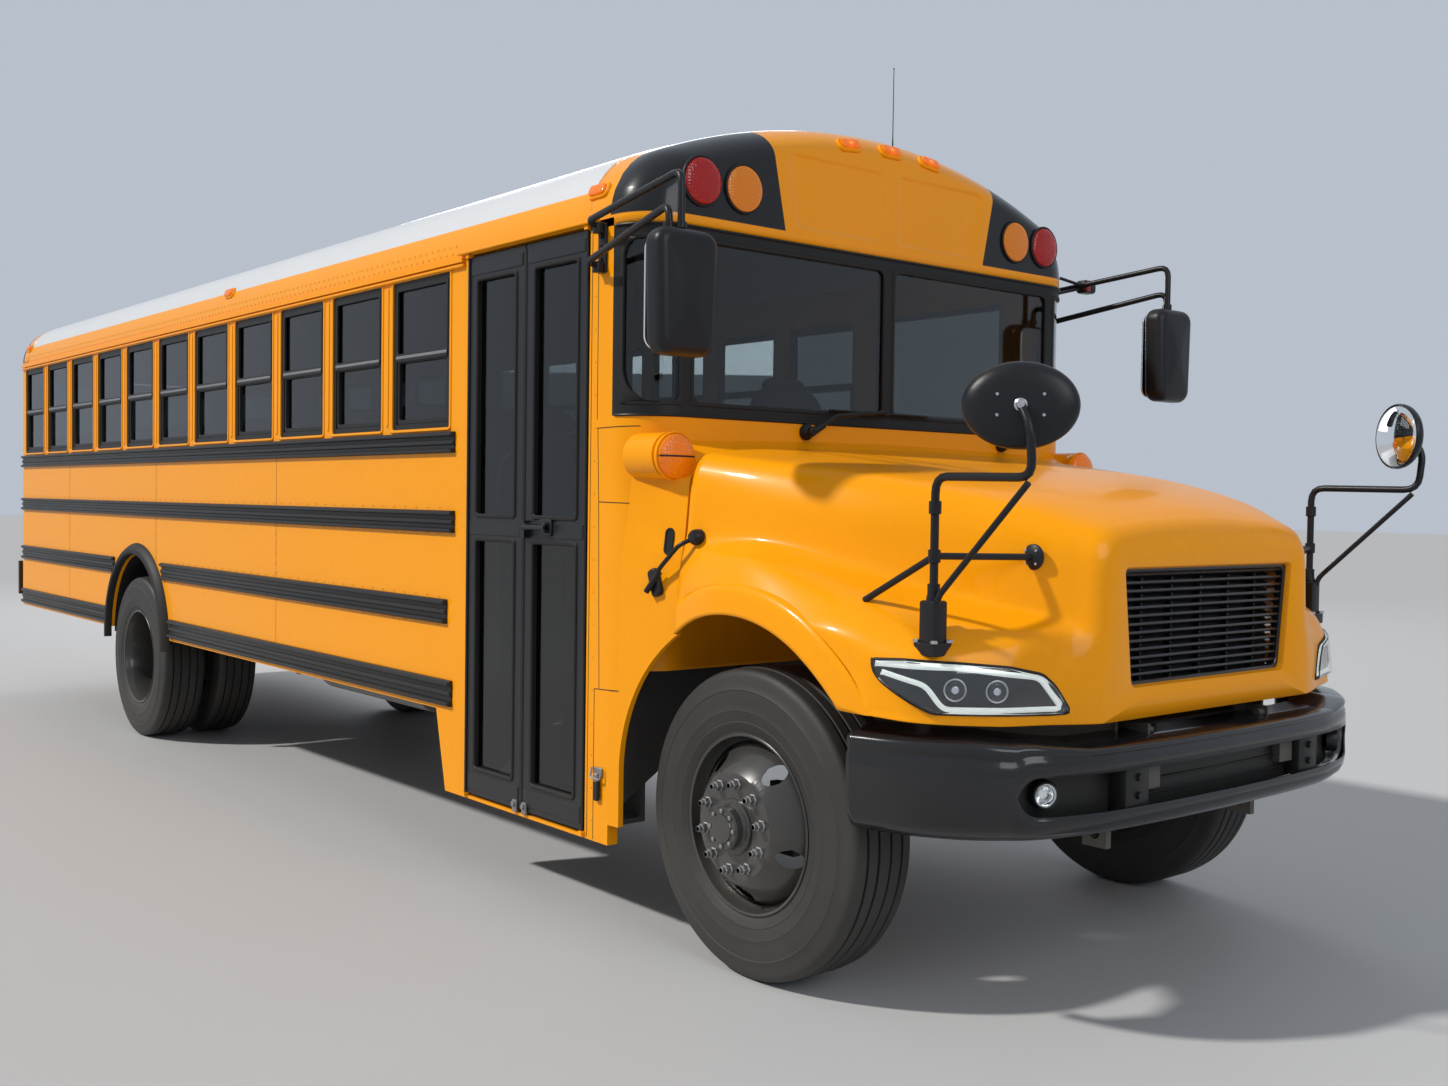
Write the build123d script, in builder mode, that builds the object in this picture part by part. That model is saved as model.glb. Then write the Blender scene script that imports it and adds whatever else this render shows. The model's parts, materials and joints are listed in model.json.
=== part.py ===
"""A conventional school bus: a long-nosed bus body on a truck chassis.

Millimetres. X is across (the bus's right is -X), Y is along (the front faces -Y), Z is up.
The origin lies on the ground, in the middle of the bus's length and width.
Places along the bus are given as distances aft of the front axle and turned into Y by y_at().
"""
from math import cos, hypot, radians, sin, sqrt
import os

from build123d import *

os.makedirs("parts", exist_ok=True)

# Overall layout
BODY_WIDTH = 2438
WHEELBASE = 5994
FRONT_REACH = 1200
REAR_OVERHANG = 3036
REAR_BUMPER_OUT = 100
REAR_FACE = WHEELBASE + REAR_OVERHANG
AXLE_Y = (FRONT_REACH - REAR_FACE - REAR_BUMPER_OUT) / 2
HALF = BODY_WIDTH / 2
WALL = 45
SEAT_GAP = 0.3
PIN_GAP = 0.1

# Body shell, heights above the ground
SKIRT_Z = 670
STEP_SKIRT_Z = 325
FLOOR_Z = 1030
FLOOR_THICK = 60
SILL_Z = 1876
HEAD_Z = 2533
EAVE_Z = 2590
ROOF_TOP = 3070
ROOF_CORNER = 300

# Body shell, places aft of the front axle
FACE = 485
CORNER_R = 190
CAP_DEPTH = 350
DOOR_FRONT = 822
DOOR_REAR = 1715
SIDE_FRONT = FACE + CORNER_R
SIDE_REAR = REAR_FACE - CORNER_R

# Windscreen
SCREEN_SILL = 1880
SCREEN_HEAD = 2560
SCREEN_BORDER = 50
SCREEN_POST = 60
GLASS = 6

# Side windows, as many as the wall has room for
WINDOW_FRONT = 1869
WINDOW_PITCH = 636
WINDOW_WIDTH = 525
WINDOW_COUNT = int((SIDE_REAR - WINDOW_FRONT + WINDOW_PITCH - WINDOW_WIDTH) / WINDOW_PITCH)
SASH = 25
SASH_DEPTH = 30
MEETING_RAIL_Z = 2196
DRIVER_WINDOW = (880, 1690)
DRIVER_SILL = 1800

# Entrance door
DOOR_HEAD = 2580
DOOR_GAP = 12
LEAF_THICK = 40
LEAF_STILE = 65
LEAF_BOTTOM = 350
LEAF_PANES = ((460, 1407), (1507, 2470))
HINGE_OUT = 3
HINGE_PIN = 6
HINGE_LUG = 14

# Rear door
REAR_DOOR_HALF = 430
REAR_DOOR_HEAD = 2500
REAR_DOOR_BOTTOM = 1036
REAR_DOOR_PANES = ((1240, 1680), (1840, 2400))
REAR_DOOR_STILE = 90
REAR_WINDOW = (560, 1010, SILL_Z, 2450)

# Roof hatches
HATCH_PLACES = (3300, 6800)
HATCH_HOLE = 290
HATCH_CURB = 25
HATCH_LIP = 20
HATCH_SEAT = ROOF_TOP + 12

# Cap lamps, the same on both caps
CAP_LAMP_Z = 2724
CAP_LAMP_R = 90
CAP_AMBER_X = 775
CAP_RED_X = 972
LAMP_POCKET = 30
LAMP_OUT = 12
CLEARANCE_X = (-230, 0, 230)
CLEARANCE_HALF = 60
CLEARANCE_Z = (2956, 3006)
CLEARANCE_DEPTH = 36
COWL_LAMP = (1160, 385, 1735)
COWL_LAMP_R = 82
COWL_LAMP_THICK = 20
# The caps by rows: how far behind the face, the crown's height and the shoulder's radius
CAP_ROWS = ((0, 2945, 200), (20, 2990, 235), (80, 3035, 270), (CORNER_R, 3062, 290),
            (CAP_DEPTH, ROOF_TOP, ROOF_CORNER))

# Wheels
TYRE_R = 516
TYRE_HALF = 140
TREAD_HALF = 112
SHOULDER_R = 488
BEAD_R = 292
RIM_HALF = 118
RIM_INNER_R = 280
WHEEL_OUTSET = 168
FRONT_TRACK_HALF = 1010
REAR_TRACK_HALF = 916.5
DISC_R = 182
DISC_THICK = 12
HAND_HOLE_R = 32
HAND_HOLE_CIRCLE = 228
HAND_HOLES = 5
HUB_R = 88
HUB_OUT = 60
SPINDLE_R = 38
KING_PIN_X = 880
KING_PIN_R = 22

# Arches
FRONT_ARCH_R = 618
FRONT_ARCH_Z = 598
REAR_ARCH_R = 545
REAR_ARCH_Z = 635
FLARE_WIDTH = 76
FLARE_OUT = 42
WHEELHOUSE_IN = 570
HOUSING = 12

# Chassis
RAIL_HALF = 432
RAIL_DEPTH = 230
RAIL_FLANGE = 80
RAIL_WEB = 12
RAIL_TOP = FLOOR_Z - FLOOR_THICK - SEAT_GAP
RAIL_FRONT = -930
RAIL_REAR = REAR_FACE - WALL - SEAT_GAP
RAIL_BOTTOM = RAIL_TOP - RAIL_DEPTH
CROSS_MEMBERS = (-780, 1560, 2600, 4300, WHEELBASE - 894, WHEELBASE + 1106, REAR_FACE - 170)
OUTRIGGERS = (2100, 2900, 3700, 4500, WHEELBASE + 1306, WHEELBASE + 2106, REAR_FACE - 230)
OUTRIGGER_DEPTH = 90
TOW_EYE_R = 20
TOW_EYE_THICK = 25
TOW_EYES = ((-860, 555), (REAR_FACE - 140, 640))
MUD_FLAP_IN = 620
MUD_FLAP_Z = 346
MUD_FLAP_THICK = 12
SPRING_X = (350, 434)
SPRING_WIDTH = 76
SPRING_THICK = 40

# Drive line and underbody: blocks as X, Y aft and Z ranges
ENGINE = ((-330, 330), (-560, 470), (700, 1380))
GEARBOX = ((-200, 200), (470, 1495), (620, 900))
ENGINE_MOUNTS = (-200, 700)
PROP_SHAFT_R = 50
GEARBOX_SHAFT_Z = 700
AXLE_TUBE_R = 75
AXLE_BOWL_R = 190
TANK = (WHEELBASE + 1256, 1300, 700, 380)
TANK_CORNER = 90
BATTERY_BOX = (760, (2200, 2860), 680)
EXHAUST_R = 50
EXHAUST_Z = 600
EXHAUST_X = -640
EXHAUST_OVER_AXLE = (-500, 900)
SILENCER = (3600, 1200, 130)

# Steering: the knuckles' yokes round the axle's ends, and the tie rod behind them
YOKE = (430, 600)
YOKE_THICK = 34
TIE_Y = 190
TIE_Z = 372
TIE_PIN_R = 11
TIE_EYE_R = 22
BEAM = (400, 470)

# Hood, by sections: place aft of the front axle and the crown's height, then (x, z) of the shoulder, the
# cheek below it, the valley beside the fender, the fender's crest, its outer edge and its lower edge
HOOD_REAR = 325
HOOD_ROWS = (
    (HOOD_REAR, 1768, (1050, 1735), (1125, 1655), (1145, 1440), (1160, 1370), (1172, 1270), (1178, 990)),
    (50, 1738, (985, 1700), (1050, 1620), (1085, 1460), (1165, 1395), (1216, 1280), (1219, 960)),
    (-350, 1690, (850, 1650), (905, 1580), (960, 1390), (1130, 1300), (1214, 1190), (1219, 960)),
    (-700, 1622, (700, 1580), (755, 1510), (800, 1300), (1020, 1195), (1130, 1110), (1150, 945)),
    (-880, 1555, (610, 1510), (650, 1450), (665, 1250), (850, 1130), (915, 1060), (925, 930)),
    (-985, 1480, (500, 1450), (545, 1410), (552, 1200), (572, 1100), (585, 1040), (590, 922)),
)
COLLAR_REAR = (FACE + CORNER_R, 1875, (1120, 1862), (HALF, 1800), (HALF, 1440), (HALF, 1370), (HALF, 1270),
               (HALF, 990))
HOOD_WALL = 20
HOOD_GAP = 12
COLLAR_BOTTOM = 400
HINGE_Y = -975
HINGE_Z = 885
HINGE_X = 330
HINGE_PIN_R = 12
HINGE_EAR = 16

# Grille opening and headlamp outline, as (x, z)
GRILLE_TOP = (492, 1402)
GRILLE_FOOT = (445, 1018)
SLATS = 12
HEADLAMP_OUTLINE = ((1182, 1122), (1010, 1105), (800, 1082), (690, 968), (960, 968), (1075, 1010),
                    (1150, 1075))
HEADLAMP_DEPTH = 70

# Bumpers
BUMPER_TOP = 872
BUMPER_SIDE_TOP = 905
BUMPER_BOTTOM = 600
BUMPER_BACK = -1040
BUMPER_PLAN = ((0, -1085), (520, -1068), (900, -985), (1100, -800), (1205, -545))
BUMPER_RECESS = (650, 690, 800)
FOG_X = 872
FOG_R = 48
REAR_BUMPER = (742, 1010)

# Rub rails: low and high edge, front end aft of the front axle
RAIL_BANDS = ((1766, 1856, 1817), (1428, 1522, 1817), (1040, 1144, 1876), (690, 801, 1828))
RUB_RAIL_OUT = 22
RUB_RAIL_BEVEL = 12

# Mirrors
TUBE_R = 13
STRUT_R = 11
SIDE_MIRROR = (1360, 100, 2245)
SIDE_MIRROR_SIZE = (240, 110, 405)
CROSS_MIRROR = (1093, 1851)
CROSS_MIRROR_TURN = 51
CROSS_MIRROR_SIZE = (317, 240, 86)
CROSS_MIRROR_RIM = 15
CROSS_FOOT = (1070, -745)
CROSS_STRUT_Z = 1429
ARM_BRACKET = ((712, 758), (2395, 2575))
UPPER_ARM_Z = (2555, 2575, 2640)
LOWER_ARM_Z = (2415, 2430, 2530)

# Stop arm: its hinge and the middle of its octagon, aft of the front axle
STOP_HINGE = 1130
STOP_MIDDLE = 1440
STOP_Z = 1640
STOP_OUT = 46
STOP_HALF = 225

# Antenna: a base on the roof and its rod
ANTENNA_X = 430
ANTENNA_Y = 900
ANTENNA_BASE_R = 28
ANTENNA_ROD_R = 5
ANTENNA_LENGTH = 450

# Cabin
COLUMN_LENGTH = 883
STEERING_WHEEL_R = 215
SEAT_ROWS = WINDOW_COUNT
SEAT_WIDTH = 970
SEAT_AFT = 150
CUSHION = (-60, 340)
CUSHION_THICK = 130
BACK_FOOT = (330, 400)
BACK_HEAD = (400, 480)
SEAT_LEG = ((60, 110), (-20, 30))
DRIVER_SEAT = ((430, 900), (1330, 1790))
DRIVER_STAND = ((520, 810), (1400, 1700))
DRIVER_SEAT_Z = (330, 450, 1150)
DASHBOARD = (-300, 980)
STEERING_WHEEL = (665, 1080, 1820)
SHEET = 20
SEAT_TOP = 460
SEAT_BACK_TOP = 990
STEP_HEIGHTS = (370, 590, 810)
STEP_DEPTH = 225


def y_at(aft):
    """The Y of a place given as a distance aft of the front axle."""
    return AXLE_Y + aft


def save(builder, label):
    """Labels a finished piece and writes it."""
    builder.part.label = label
    export_step(builder.part, f"parts/{label}.step")


def across(y):
    """A sketch plane across the bus at Y, with X to the right and Z up."""
    return Plane.XZ.offset(-y)


def block(x, y, z, mode=Mode.ADD):
    """A box from its X, Y and Z ranges, Y given aft of the front axle."""
    with Locations(((x[0] + x[1]) / 2, y_at((y[0] + y[1]) / 2), (z[0] + z[1]) / 2)):
        Box(abs(x[1] - x[0]), abs(y[1] - y[0]), abs(z[1] - z[0]), mode=mode)


def rectangle_between(low, high, mode=Mode.ADD):
    """A sketch rectangle from its low corner to its high corner."""
    with Locations(((low[0] + high[0]) / 2, (low[1] + high[1]) / 2)):
        Rectangle(abs(high[0] - low[0]), abs(high[1] - low[1]), mode=mode)


def outline(points, mode=Mode.ADD):
    """A sketch face inside straight edges."""
    with BuildLine() as edge:
        Polyline(*points, close=True)
    make_face(edge.edges(), mode=mode)


def side_outline(points, mode=Mode.ADD):
    """A sketch face in a plane along the bus, from points aft of the front axle and heights."""
    outline([(y_at(aft), z) for aft, z in points], mode)


def tube(points, radius):
    """A round tube along straight runs with mitred bends, its points given aft of the front axle."""
    with BuildLine() as route:
        Polyline(*[(x, y_at(y), z) for x, y, z in points])
    path = route.wires()[0]
    with BuildSketch(Plane(path @ 0, z_dir=path % 0)) as section:
        Circle(radius)
    sweep(section.sketch, path=path, transition=Transition.RIGHT)


def roof_outline(half, top, corner, bottom, mode=Mode.ADD):
    """The body's section: flat bottom, upright sides, round shoulders and a crowned roof."""
    centre_x, rise = half - corner, top - EAVE_Z
    crown = (centre_x**2 + rise**2 - corner**2) / (2 * (rise - corner))
    lean_x, lean_z = centre_x / (crown - corner), (EAVE_Z - top + crown) / (crown - corner)
    touch = (crown * lean_x, top - crown + crown * lean_z)
    bisector = hypot(1 + lean_x, lean_z)
    middle = (centre_x + corner * (1 + lean_x) / bisector, EAVE_Z + corner * lean_z / bisector)
    with BuildLine() as edge:
        Line((-half, bottom), (half, bottom))
        if bottom < EAVE_Z:
            Line((half, bottom), (half, EAVE_Z))
            Line((-half, EAVE_Z), (-half, bottom))
        ThreePointArc((half, EAVE_Z), middle, touch)
        ThreePointArc(touch, (0, top), (-touch[0], touch[1]))
        ThreePointArc((-touch[0], touch[1]), (-middle[0], middle[1]), (-half, EAVE_Z))
    make_face(edge.edges(), mode=mode)


def end_plan(inset, face, way, mode=Mode.ADD):
    """The body's rounded end seen from above, back to where the corners end."""
    half, front, radius = HALF - inset, y_at(face) + way * inset, CORNER_R - inset
    rear, lean = y_at(face) + way * CORNER_R, radius * (1 - cos(radians(45)))
    with BuildLine() as edge:
        ThreePointArc((-half, rear), (-half + lean, front + way * lean), (-half + radius, front))
        Line((-half + radius, front), (half - radius, front))
        ThreePointArc((half - radius, front), (half - lean, front + way * lean), (half, rear))
        Line((half, rear), (-half, rear))
    make_face(edge.edges(), mode=mode)


def end_wall(low, high, face, way, inset=0, thick=WALL):
    """A wall that follows the rounded end of the body, between two heights."""
    with BuildSketch(Plane.XY.offset(low)) as plan:
        end_plan(inset, face, way)
        end_plan(inset + thick, face, way, Mode.SUBTRACT)
    extrude(plan.sketch, amount=high - low)


def cap_half(back):
    """The cap's half width at a distance behind its face, round the corner."""
    reach = min(back, CORNER_R)
    return HALF - CORNER_R + sqrt(CORNER_R**2 - (CORNER_R - reach) ** 2)


def cap_shell(face, way):
    """The domed end of the roof, from its flat face back to the roof's full section."""
    for inset, bottom, mode in ((0, EAVE_Z, Mode.ADD), (WALL, EAVE_Z - WALL, Mode.SUBTRACT)):
        rows = []
        for back, top, corner in CAP_ROWS:
            reach = min(back + inset, CAP_DEPTH)
            with BuildSketch(across(y_at(face + way * reach))) as row:
                roof_outline(cap_half(back) - inset, top - inset, corner - inset / 2, bottom)
            rows.append(row.sketch)
        loft(rows, ruled=True, mode=mode)


def cap_lamp_pockets(face, way):
    """Round pockets for the warning lamps in a cap."""
    with BuildSketch(across(y_at(face + way * LAMP_POCKET))) as holes:
        with Locations(*[(side * x, CAP_LAMP_Z) for x in (CAP_AMBER_X, CAP_RED_X) for side in (-1, 1)]):
            Circle(CAP_LAMP_R + SEAT_GAP)
    extrude(holes.sketch, amount=way * 2 * LAMP_POCKET, mode=Mode.SUBTRACT)


def make_caps_and_roof():
    with BuildPart() as front_cap:
        cap_shell(FACE, 1)
        end_wall(SCREEN_HEAD, EAVE_Z, FACE, 1)
        cap_lamp_pockets(FACE, 1)
        clearance_lamps(FACE, 1, SEAT_GAP, Mode.SUBTRACT)
    save(front_cap, "front_cap")
    with BuildPart() as rear_cap:
        cap_shell(REAR_FACE, -1)
        cap_lamp_pockets(REAR_FACE, -1)
        clearance_lamps(REAR_FACE, -1, SEAT_GAP, Mode.SUBTRACT)
    save(rear_cap, "rear_cap")
    with BuildPart() as roof_shell:
        for inset, bottom, mode in ((0, EAVE_Z, Mode.ADD), (WALL, EAVE_Z - WALL, Mode.SUBTRACT)):
            with BuildSketch(across(y_at(FACE + CAP_DEPTH))):
                roof_outline(HALF - inset, ROOF_TOP - inset, ROOF_CORNER - inset / 2, bottom)
            extrude(amount=-(REAR_FACE - FACE - 2 * CAP_DEPTH), mode=mode)
        for hatch in HATCH_PLACES:
            edge = HATCH_HOLE + HATCH_CURB
            block((-edge, edge), (hatch - edge, hatch + edge), (ROOF_TOP - WALL, HATCH_SEAT))
        for hatch in HATCH_PLACES:
            block((-HATCH_HOLE, HATCH_HOLE), (hatch - HATCH_HOLE, hatch + HATCH_HOLE),
                  (ROOF_TOP - 3 * WALL, HATCH_SEAT + WALL), Mode.SUBTRACT)
    save(roof_shell, "roof_shell")
    for name, hatch in zip(("roof_hatch_front", "roof_hatch_rear"), HATCH_PLACES):
        edge = HATCH_HOLE + HATCH_CURB + HATCH_LIP
        with BuildPart() as lid:
            with BuildSketch(Plane.XY.offset(HATCH_SEAT + SEAT_GAP)):
                with Locations((0, y_at(hatch))):
                    RectangleRounded(2 * edge, 2 * edge, 60)
            extrude(amount=34, taper=20)
        save(lid, name)


def side_openings(side):
    """Window openings of one side wall: front edge, rear edge, sill and head."""
    rows = [(WINDOW_FRONT + k * WINDOW_PITCH, WINDOW_FRONT + k * WINDOW_PITCH + WINDOW_WIDTH, SILL_Z, HEAD_Z)
            for k in range(WINDOW_COUNT)]
    return rows + ([(*DRIVER_WINDOW, DRIVER_SILL, HEAD_Z)] if side > 0 else [])


def make_side_wall(side, name):
    skirt = ([(1968, SKIRT_Z), (1883, STEP_SKIRT_Z), (SIDE_FRONT, STEP_SKIRT_Z)] if side < 0 else
             [(DOOR_FRONT + 100, SKIRT_Z), (DOOR_FRONT - 10, COLLAR_BOTTOM), (SIDE_FRONT, COLLAR_BOTTOM)])
    with BuildPart() as wall:
        with BuildSketch(Plane.YZ.offset(-HALF if side < 0 else HALF - WALL)):
            side_outline([(SIDE_FRONT, EAVE_Z), (SIDE_REAR, EAVE_Z), (SIDE_REAR, SKIRT_Z), *skirt])
            with Locations((y_at(WHEELBASE), REAR_ARCH_Z)):
                Circle(REAR_ARCH_R, mode=Mode.SUBTRACT)
            for front, rear, sill, head in side_openings(side):
                rectangle_between((y_at(front), sill), (y_at(rear), head), Mode.SUBTRACT)
            if side < 0:
                rectangle_between((y_at(DOOR_FRONT), STEP_SKIRT_Z + DOOR_GAP), (y_at(DOOR_REAR), DOOR_HEAD),
                                  Mode.SUBTRACT)
        extrude(amount=WALL)
        block((side * HALF, side * (HALF + 18)), (DOOR_REAR + 30, SIDE_REAR), (2556, 2572))
        if side < 0:
            for jamb, way in ((DOOR_FRONT, 1), (DOOR_REAR, -1)):
                for z in (LEAF_BOTTOM - HINGE_LUG, leaf_top() + SEAT_GAP):
                    block((-HALF + 10, -HALF - HINGE_OUT - 12), (jamb - way, jamb + way * (DOOR_GAP + 10)),
                          (z, z + HINGE_LUG - SEAT_GAP))
                middle = (STEP_SKIRT_Z + DOOR_HEAD) / 2
                with Locations((-HALF - HINGE_OUT, y_at(jamb + way * DOOR_GAP), middle)):
                    Cylinder(HINGE_PIN + PIN_GAP, DOOR_HEAD, mode=Mode.SUBTRACT)
    save(wall, name)


def leaf_top():
    """Height of the entrance leaves' top edge, under the upper hinge lugs."""
    return DOOR_HEAD - HINGE_LUG - 2 * SEAT_GAP


def make_door_leaves():
    middle = (DOOR_FRONT + DOOR_REAR) / 2
    for name, jamb, way in (("front", DOOR_FRONT, 1), ("rear", DOOR_REAR, -1)):
        hinge, meeting = jamb + way * DOOR_GAP, middle - way * 5
        inner, outer = hinge + way * LEAF_STILE, meeting - way * LEAF_STILE
        with BuildPart() as leaf:
            with BuildSketch(Plane.YZ.offset(-HALF)):
                rectangle_between((y_at(hinge), LEAF_BOTTOM), (y_at(meeting), leaf_top()))
                for low, high in LEAF_PANES:
                    rectangle_between((y_at(inner), low), (y_at(outer), high), Mode.SUBTRACT)
            extrude(amount=LEAF_THICK)
            with Locations((-HALF - HINGE_OUT, y_at(hinge), (LEAF_BOTTOM + leaf_top()) / 2)):
                Cylinder(HINGE_PIN, leaf_top() - LEAF_BOTTOM + 2 * (HINGE_LUG - 2))
            if way > 0:
                block((-HALF, -HALF - 26), (meeting - 40, meeting - 12), (1425, 1492))
        save(leaf, f"door_leaf_{name}")
        with BuildPart() as glass:
            for low, high in LEAF_PANES:
                block((-HALF + 17, -HALF + 17 + GLASS), (inner + way * SEAT_GAP, outer - way * SEAT_GAP),
                      (low + SEAT_GAP, high - SEAT_GAP))
        save(glass, f"door_glass_{name}")


def make_windows():
    """Black window frames with meeting rails, and the panes in them."""
    rail = 14
    with BuildPart() as sashes:
        for side in (-1, 1):
            for front, rear, sill, head in side_openings(side):
                with BuildSketch(Plane.YZ.offset(side * (HALF - 4) - (SASH_DEPTH if side > 0 else 0))):
                    rectangle_between((y_at(front + SEAT_GAP), sill + SEAT_GAP),
                                      (y_at(rear - SEAT_GAP), head - SEAT_GAP))
                    rectangle_between((y_at(front + SASH), sill + SASH), (y_at(rear - SASH), head - SASH),
                                      Mode.SUBTRACT)
                    if sill == SILL_Z:
                        rectangle_between((y_at(front + SASH), MEETING_RAIL_Z - rail),
                                          (y_at(rear - SASH), MEETING_RAIL_Z + rail))
                extrude(amount=SASH_DEPTH)
    save(sashes, "window_sashes")
    with BuildPart() as panes:
        for side in (-1, 1):
            for front, rear, sill, head in side_openings(side):
                rows = [(sill + SASH, head - SASH, 12)]
                if sill == SILL_Z:
                    rows = [(sill + SASH, MEETING_RAIL_Z - rail, 20),
                            (MEETING_RAIL_Z + rail, head - SASH, 12)]
                for low, high, depth in rows:
                    x = side * (HALF - 4 - depth)
                    block((x, x - side * GLASS), (front + SASH + SEAT_GAP, rear - SASH - SEAT_GAP),
                          (low + SEAT_GAP, high - SEAT_GAP))
        near, far, low, high = REAR_WINDOW
        for side in (-1, 1):
            block((side * (near + SEAT_GAP), side * (far - SEAT_GAP)),
                  (REAR_FACE - 24, REAR_FACE - 24 + GLASS),
                  (low + SEAT_GAP, high - SEAT_GAP))
    save(panes, "window_glass")


def screen_panes():
    """X and Y ranges that hold the windscreen's panes, in pairs: a flat one and one round the corner."""
    half_post, turn = SCREEN_POST / 2, HALF - CORNER_R
    return (((half_post, turn - half_post), (FACE - WALL, FACE + CORNER_R)),
            ((turn + half_post, HALF + WALL), (FACE - WALL, FACE + CORNER_R - SCREEN_BORDER)))


def make_windscreen():
    low, high = SCREEN_SILL + SCREEN_BORDER, SCREEN_HEAD - SCREEN_BORDER
    with BuildPart() as frame:
        end_wall(SCREEN_SILL, SCREEN_HEAD, FACE, 1)
        for x, y in screen_panes():
            for side in (-1, 1):
                block((side * x[0], side * x[1]), y, (low, high), Mode.SUBTRACT)
    save(frame, "windscreen_frame")
    with BuildPart(mode=Mode.PRIVATE) as zones:
        for x, y in screen_panes():
            for side in (-1, 1):
                block((side * (x[0] + SEAT_GAP), side * (x[1] - SEAT_GAP)), (y[0], y[1] - SEAT_GAP),
                      (low, high))
    with BuildPart() as glass:
        end_wall(low + SEAT_GAP, high - SEAT_GAP, FACE, 1, inset=8, thick=GLASS)
        add(zones.part, mode=Mode.INTERSECT)
    save(glass, "windscreen_glass")


def hood_section(row, inset, foot_z):
    """One cross-section of the hood, drawn in by inset, down to a height."""
    crown, shoulder, cheek, valley, crest, outer, foot = row[1:]
    points = [(x - inset, z - inset) for x, z in (shoulder, cheek, valley, crest, outer)]
    points.append((foot[0] - inset, foot_z))
    left = [(-x, z) for x, z in reversed(points)]
    with BuildLine() as edge:
        ThreePointArc(left[-1], (0, crown - inset), points[0])
        Polyline(*points)
        Line(points[-1], left[0])
        Polyline(*left)
    make_face(edge.edges())


def hood_form(inset=0):
    """The hood's outer form or, with an inset, the open space inside it."""
    last = len(HOOD_ROWS) - 1
    rows = []
    for k, row in enumerate(HOOD_ROWS):
        shift = {0: 10 * inset, last: inset}.get(k, 0)
        foot_z = row[-1][1] - (COLLAR_BOTTOM if inset else 0)
        with BuildSketch(across(y_at(row[0] + shift))) as section:
            hood_section(row, inset, foot_z)
        rows.append(section.sketch)
    loft(rows, ruled=True)


def arch_space(radius, centre_z, aft, half_width):
    """The space that a wheel arch leaves free, open downwards."""
    with BuildSketch(Plane.YZ.offset(-half_width)) as profile:
        with Locations((y_at(aft), centre_z)):
            Circle(radius)
        rectangle_between((y_at(aft) - radius, 0), (y_at(aft) + radius, centre_z))
    extrude(profile.sketch, amount=2 * half_width)


def headlamp_prism(side, gap):
    """The headlamp's outline carried back through the fender's front corner."""
    with BuildSketch(across(y_at(-570))) as profile:
        outline([(side * x, z) for x, z in HEADLAMP_OUTLINE])
        if gap:
            offset(amount=-gap, kind=Kind.INTERSECTION, mode=Mode.REPLACE)
    extrude(profile.sketch, amount=FRONT_REACH - 570)


def grille_outline(edge, mode=Mode.ADD):
    """The grille's trapezoid, drawn in by edge."""
    top, foot = (GRILLE_TOP[0] - edge, GRILLE_TOP[1] - edge), (GRILLE_FOOT[0] - edge, GRILLE_FOOT[1] + edge)
    outline([(-top[0], top[1]), top, foot, (-foot[0], foot[1])], mode)


def hood_ear(side):
    """A lug inside the nose that turns on the chassis's hinge pin."""
    with BuildSketch(Plane.YZ.offset(side * HINGE_X - HINGE_EAR / 2)) as profile:
        side_outline([(HINGE_Y + 20, HINGE_Z), (HINGE_Y + 20, 985), (HINGE_Y + 5, 985), (HINGE_Y + 5, 930),
                      (HINGE_Y - 20, HINGE_Z)])
        with Locations((y_at(HINGE_Y), HINGE_Z)):
            Circle(20)
            Circle(HINGE_PIN_R + PIN_GAP, mode=Mode.SUBTRACT)
    extrude(profile.sketch, amount=HINGE_EAR)


def make_hood():
    with BuildPart(mode=Mode.PRIVATE) as arch:
        arch_space(FRONT_ARCH_R, FRONT_ARCH_Z, 0, HALF + WALL)
    with BuildPart(mode=Mode.PRIVATE) as inside:
        hood_form(HOOD_WALL)
    with BuildPart(mode=Mode.PRIVATE) as lamp_holes:
        for side in (-1, 1):
            headlamp_prism(side, 0)
    with BuildPart(mode=Mode.PRIVATE) as skin:
        hood_form()
    with BuildPart(mode=Mode.PRIVATE) as core:
        hood_form(HEADLAMP_DEPTH)
    with BuildPart() as hood:
        add(skin.part)
        add(inside.part, mode=Mode.SUBTRACT)
        add(arch.part, mode=Mode.SUBTRACT)
        add(lamp_holes.part, mode=Mode.SUBTRACT)
        with BuildSketch(across(y_at(HINGE_Y + 2 * HOOD_WALL))):
            grille_outline(0)
        extrude(amount=4 * HOOD_WALL, mode=Mode.SUBTRACT)
        for side in (-1, 1):
            hood_ear(side)
    save(hood, "hood")
    with BuildPart() as lamps:
        for side in (-1, 1):
            headlamp_prism(side, SEAT_GAP)
        add(skin.part, mode=Mode.INTERSECT)
        add(core.part, mode=Mode.SUBTRACT)
        add(arch.part, mode=Mode.SUBTRACT)
    save(lamps, "headlamps")


def make_grille():
    """A trapezoid frame with slats across it and three uprights behind them."""
    front, back, edge, thick = HINGE_Y, HINGE_Y + 36, 16, 10
    with BuildPart() as grille:
        with BuildSketch(across(y_at(back))):
            grille_outline(SEAT_GAP)
            grille_outline(edge, Mode.SUBTRACT)
        extrude(amount=back - front)
        (top_x, top_z), (foot_x, foot_z) = GRILLE_TOP, GRILLE_FOOT
        step = (top_z - foot_z - 2 * edge) / (SLATS + 1)
        for k in range(1, SLATS + 1):
            z = foot_z + edge + k * step
            half = foot_x + (top_x - foot_x) * (z - foot_z) / (top_z - foot_z) - edge / 2
            block((-half, half), (front + 5, back - 5), (z - thick / 2, z + thick / 2))
        for x in (-foot_x / 2, 0, foot_x / 2):
            block((x - 5, x + 5), (back - 8, back), (foot_z + edge / 2, top_z - edge / 2))
    save(grille, "grille")


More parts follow.
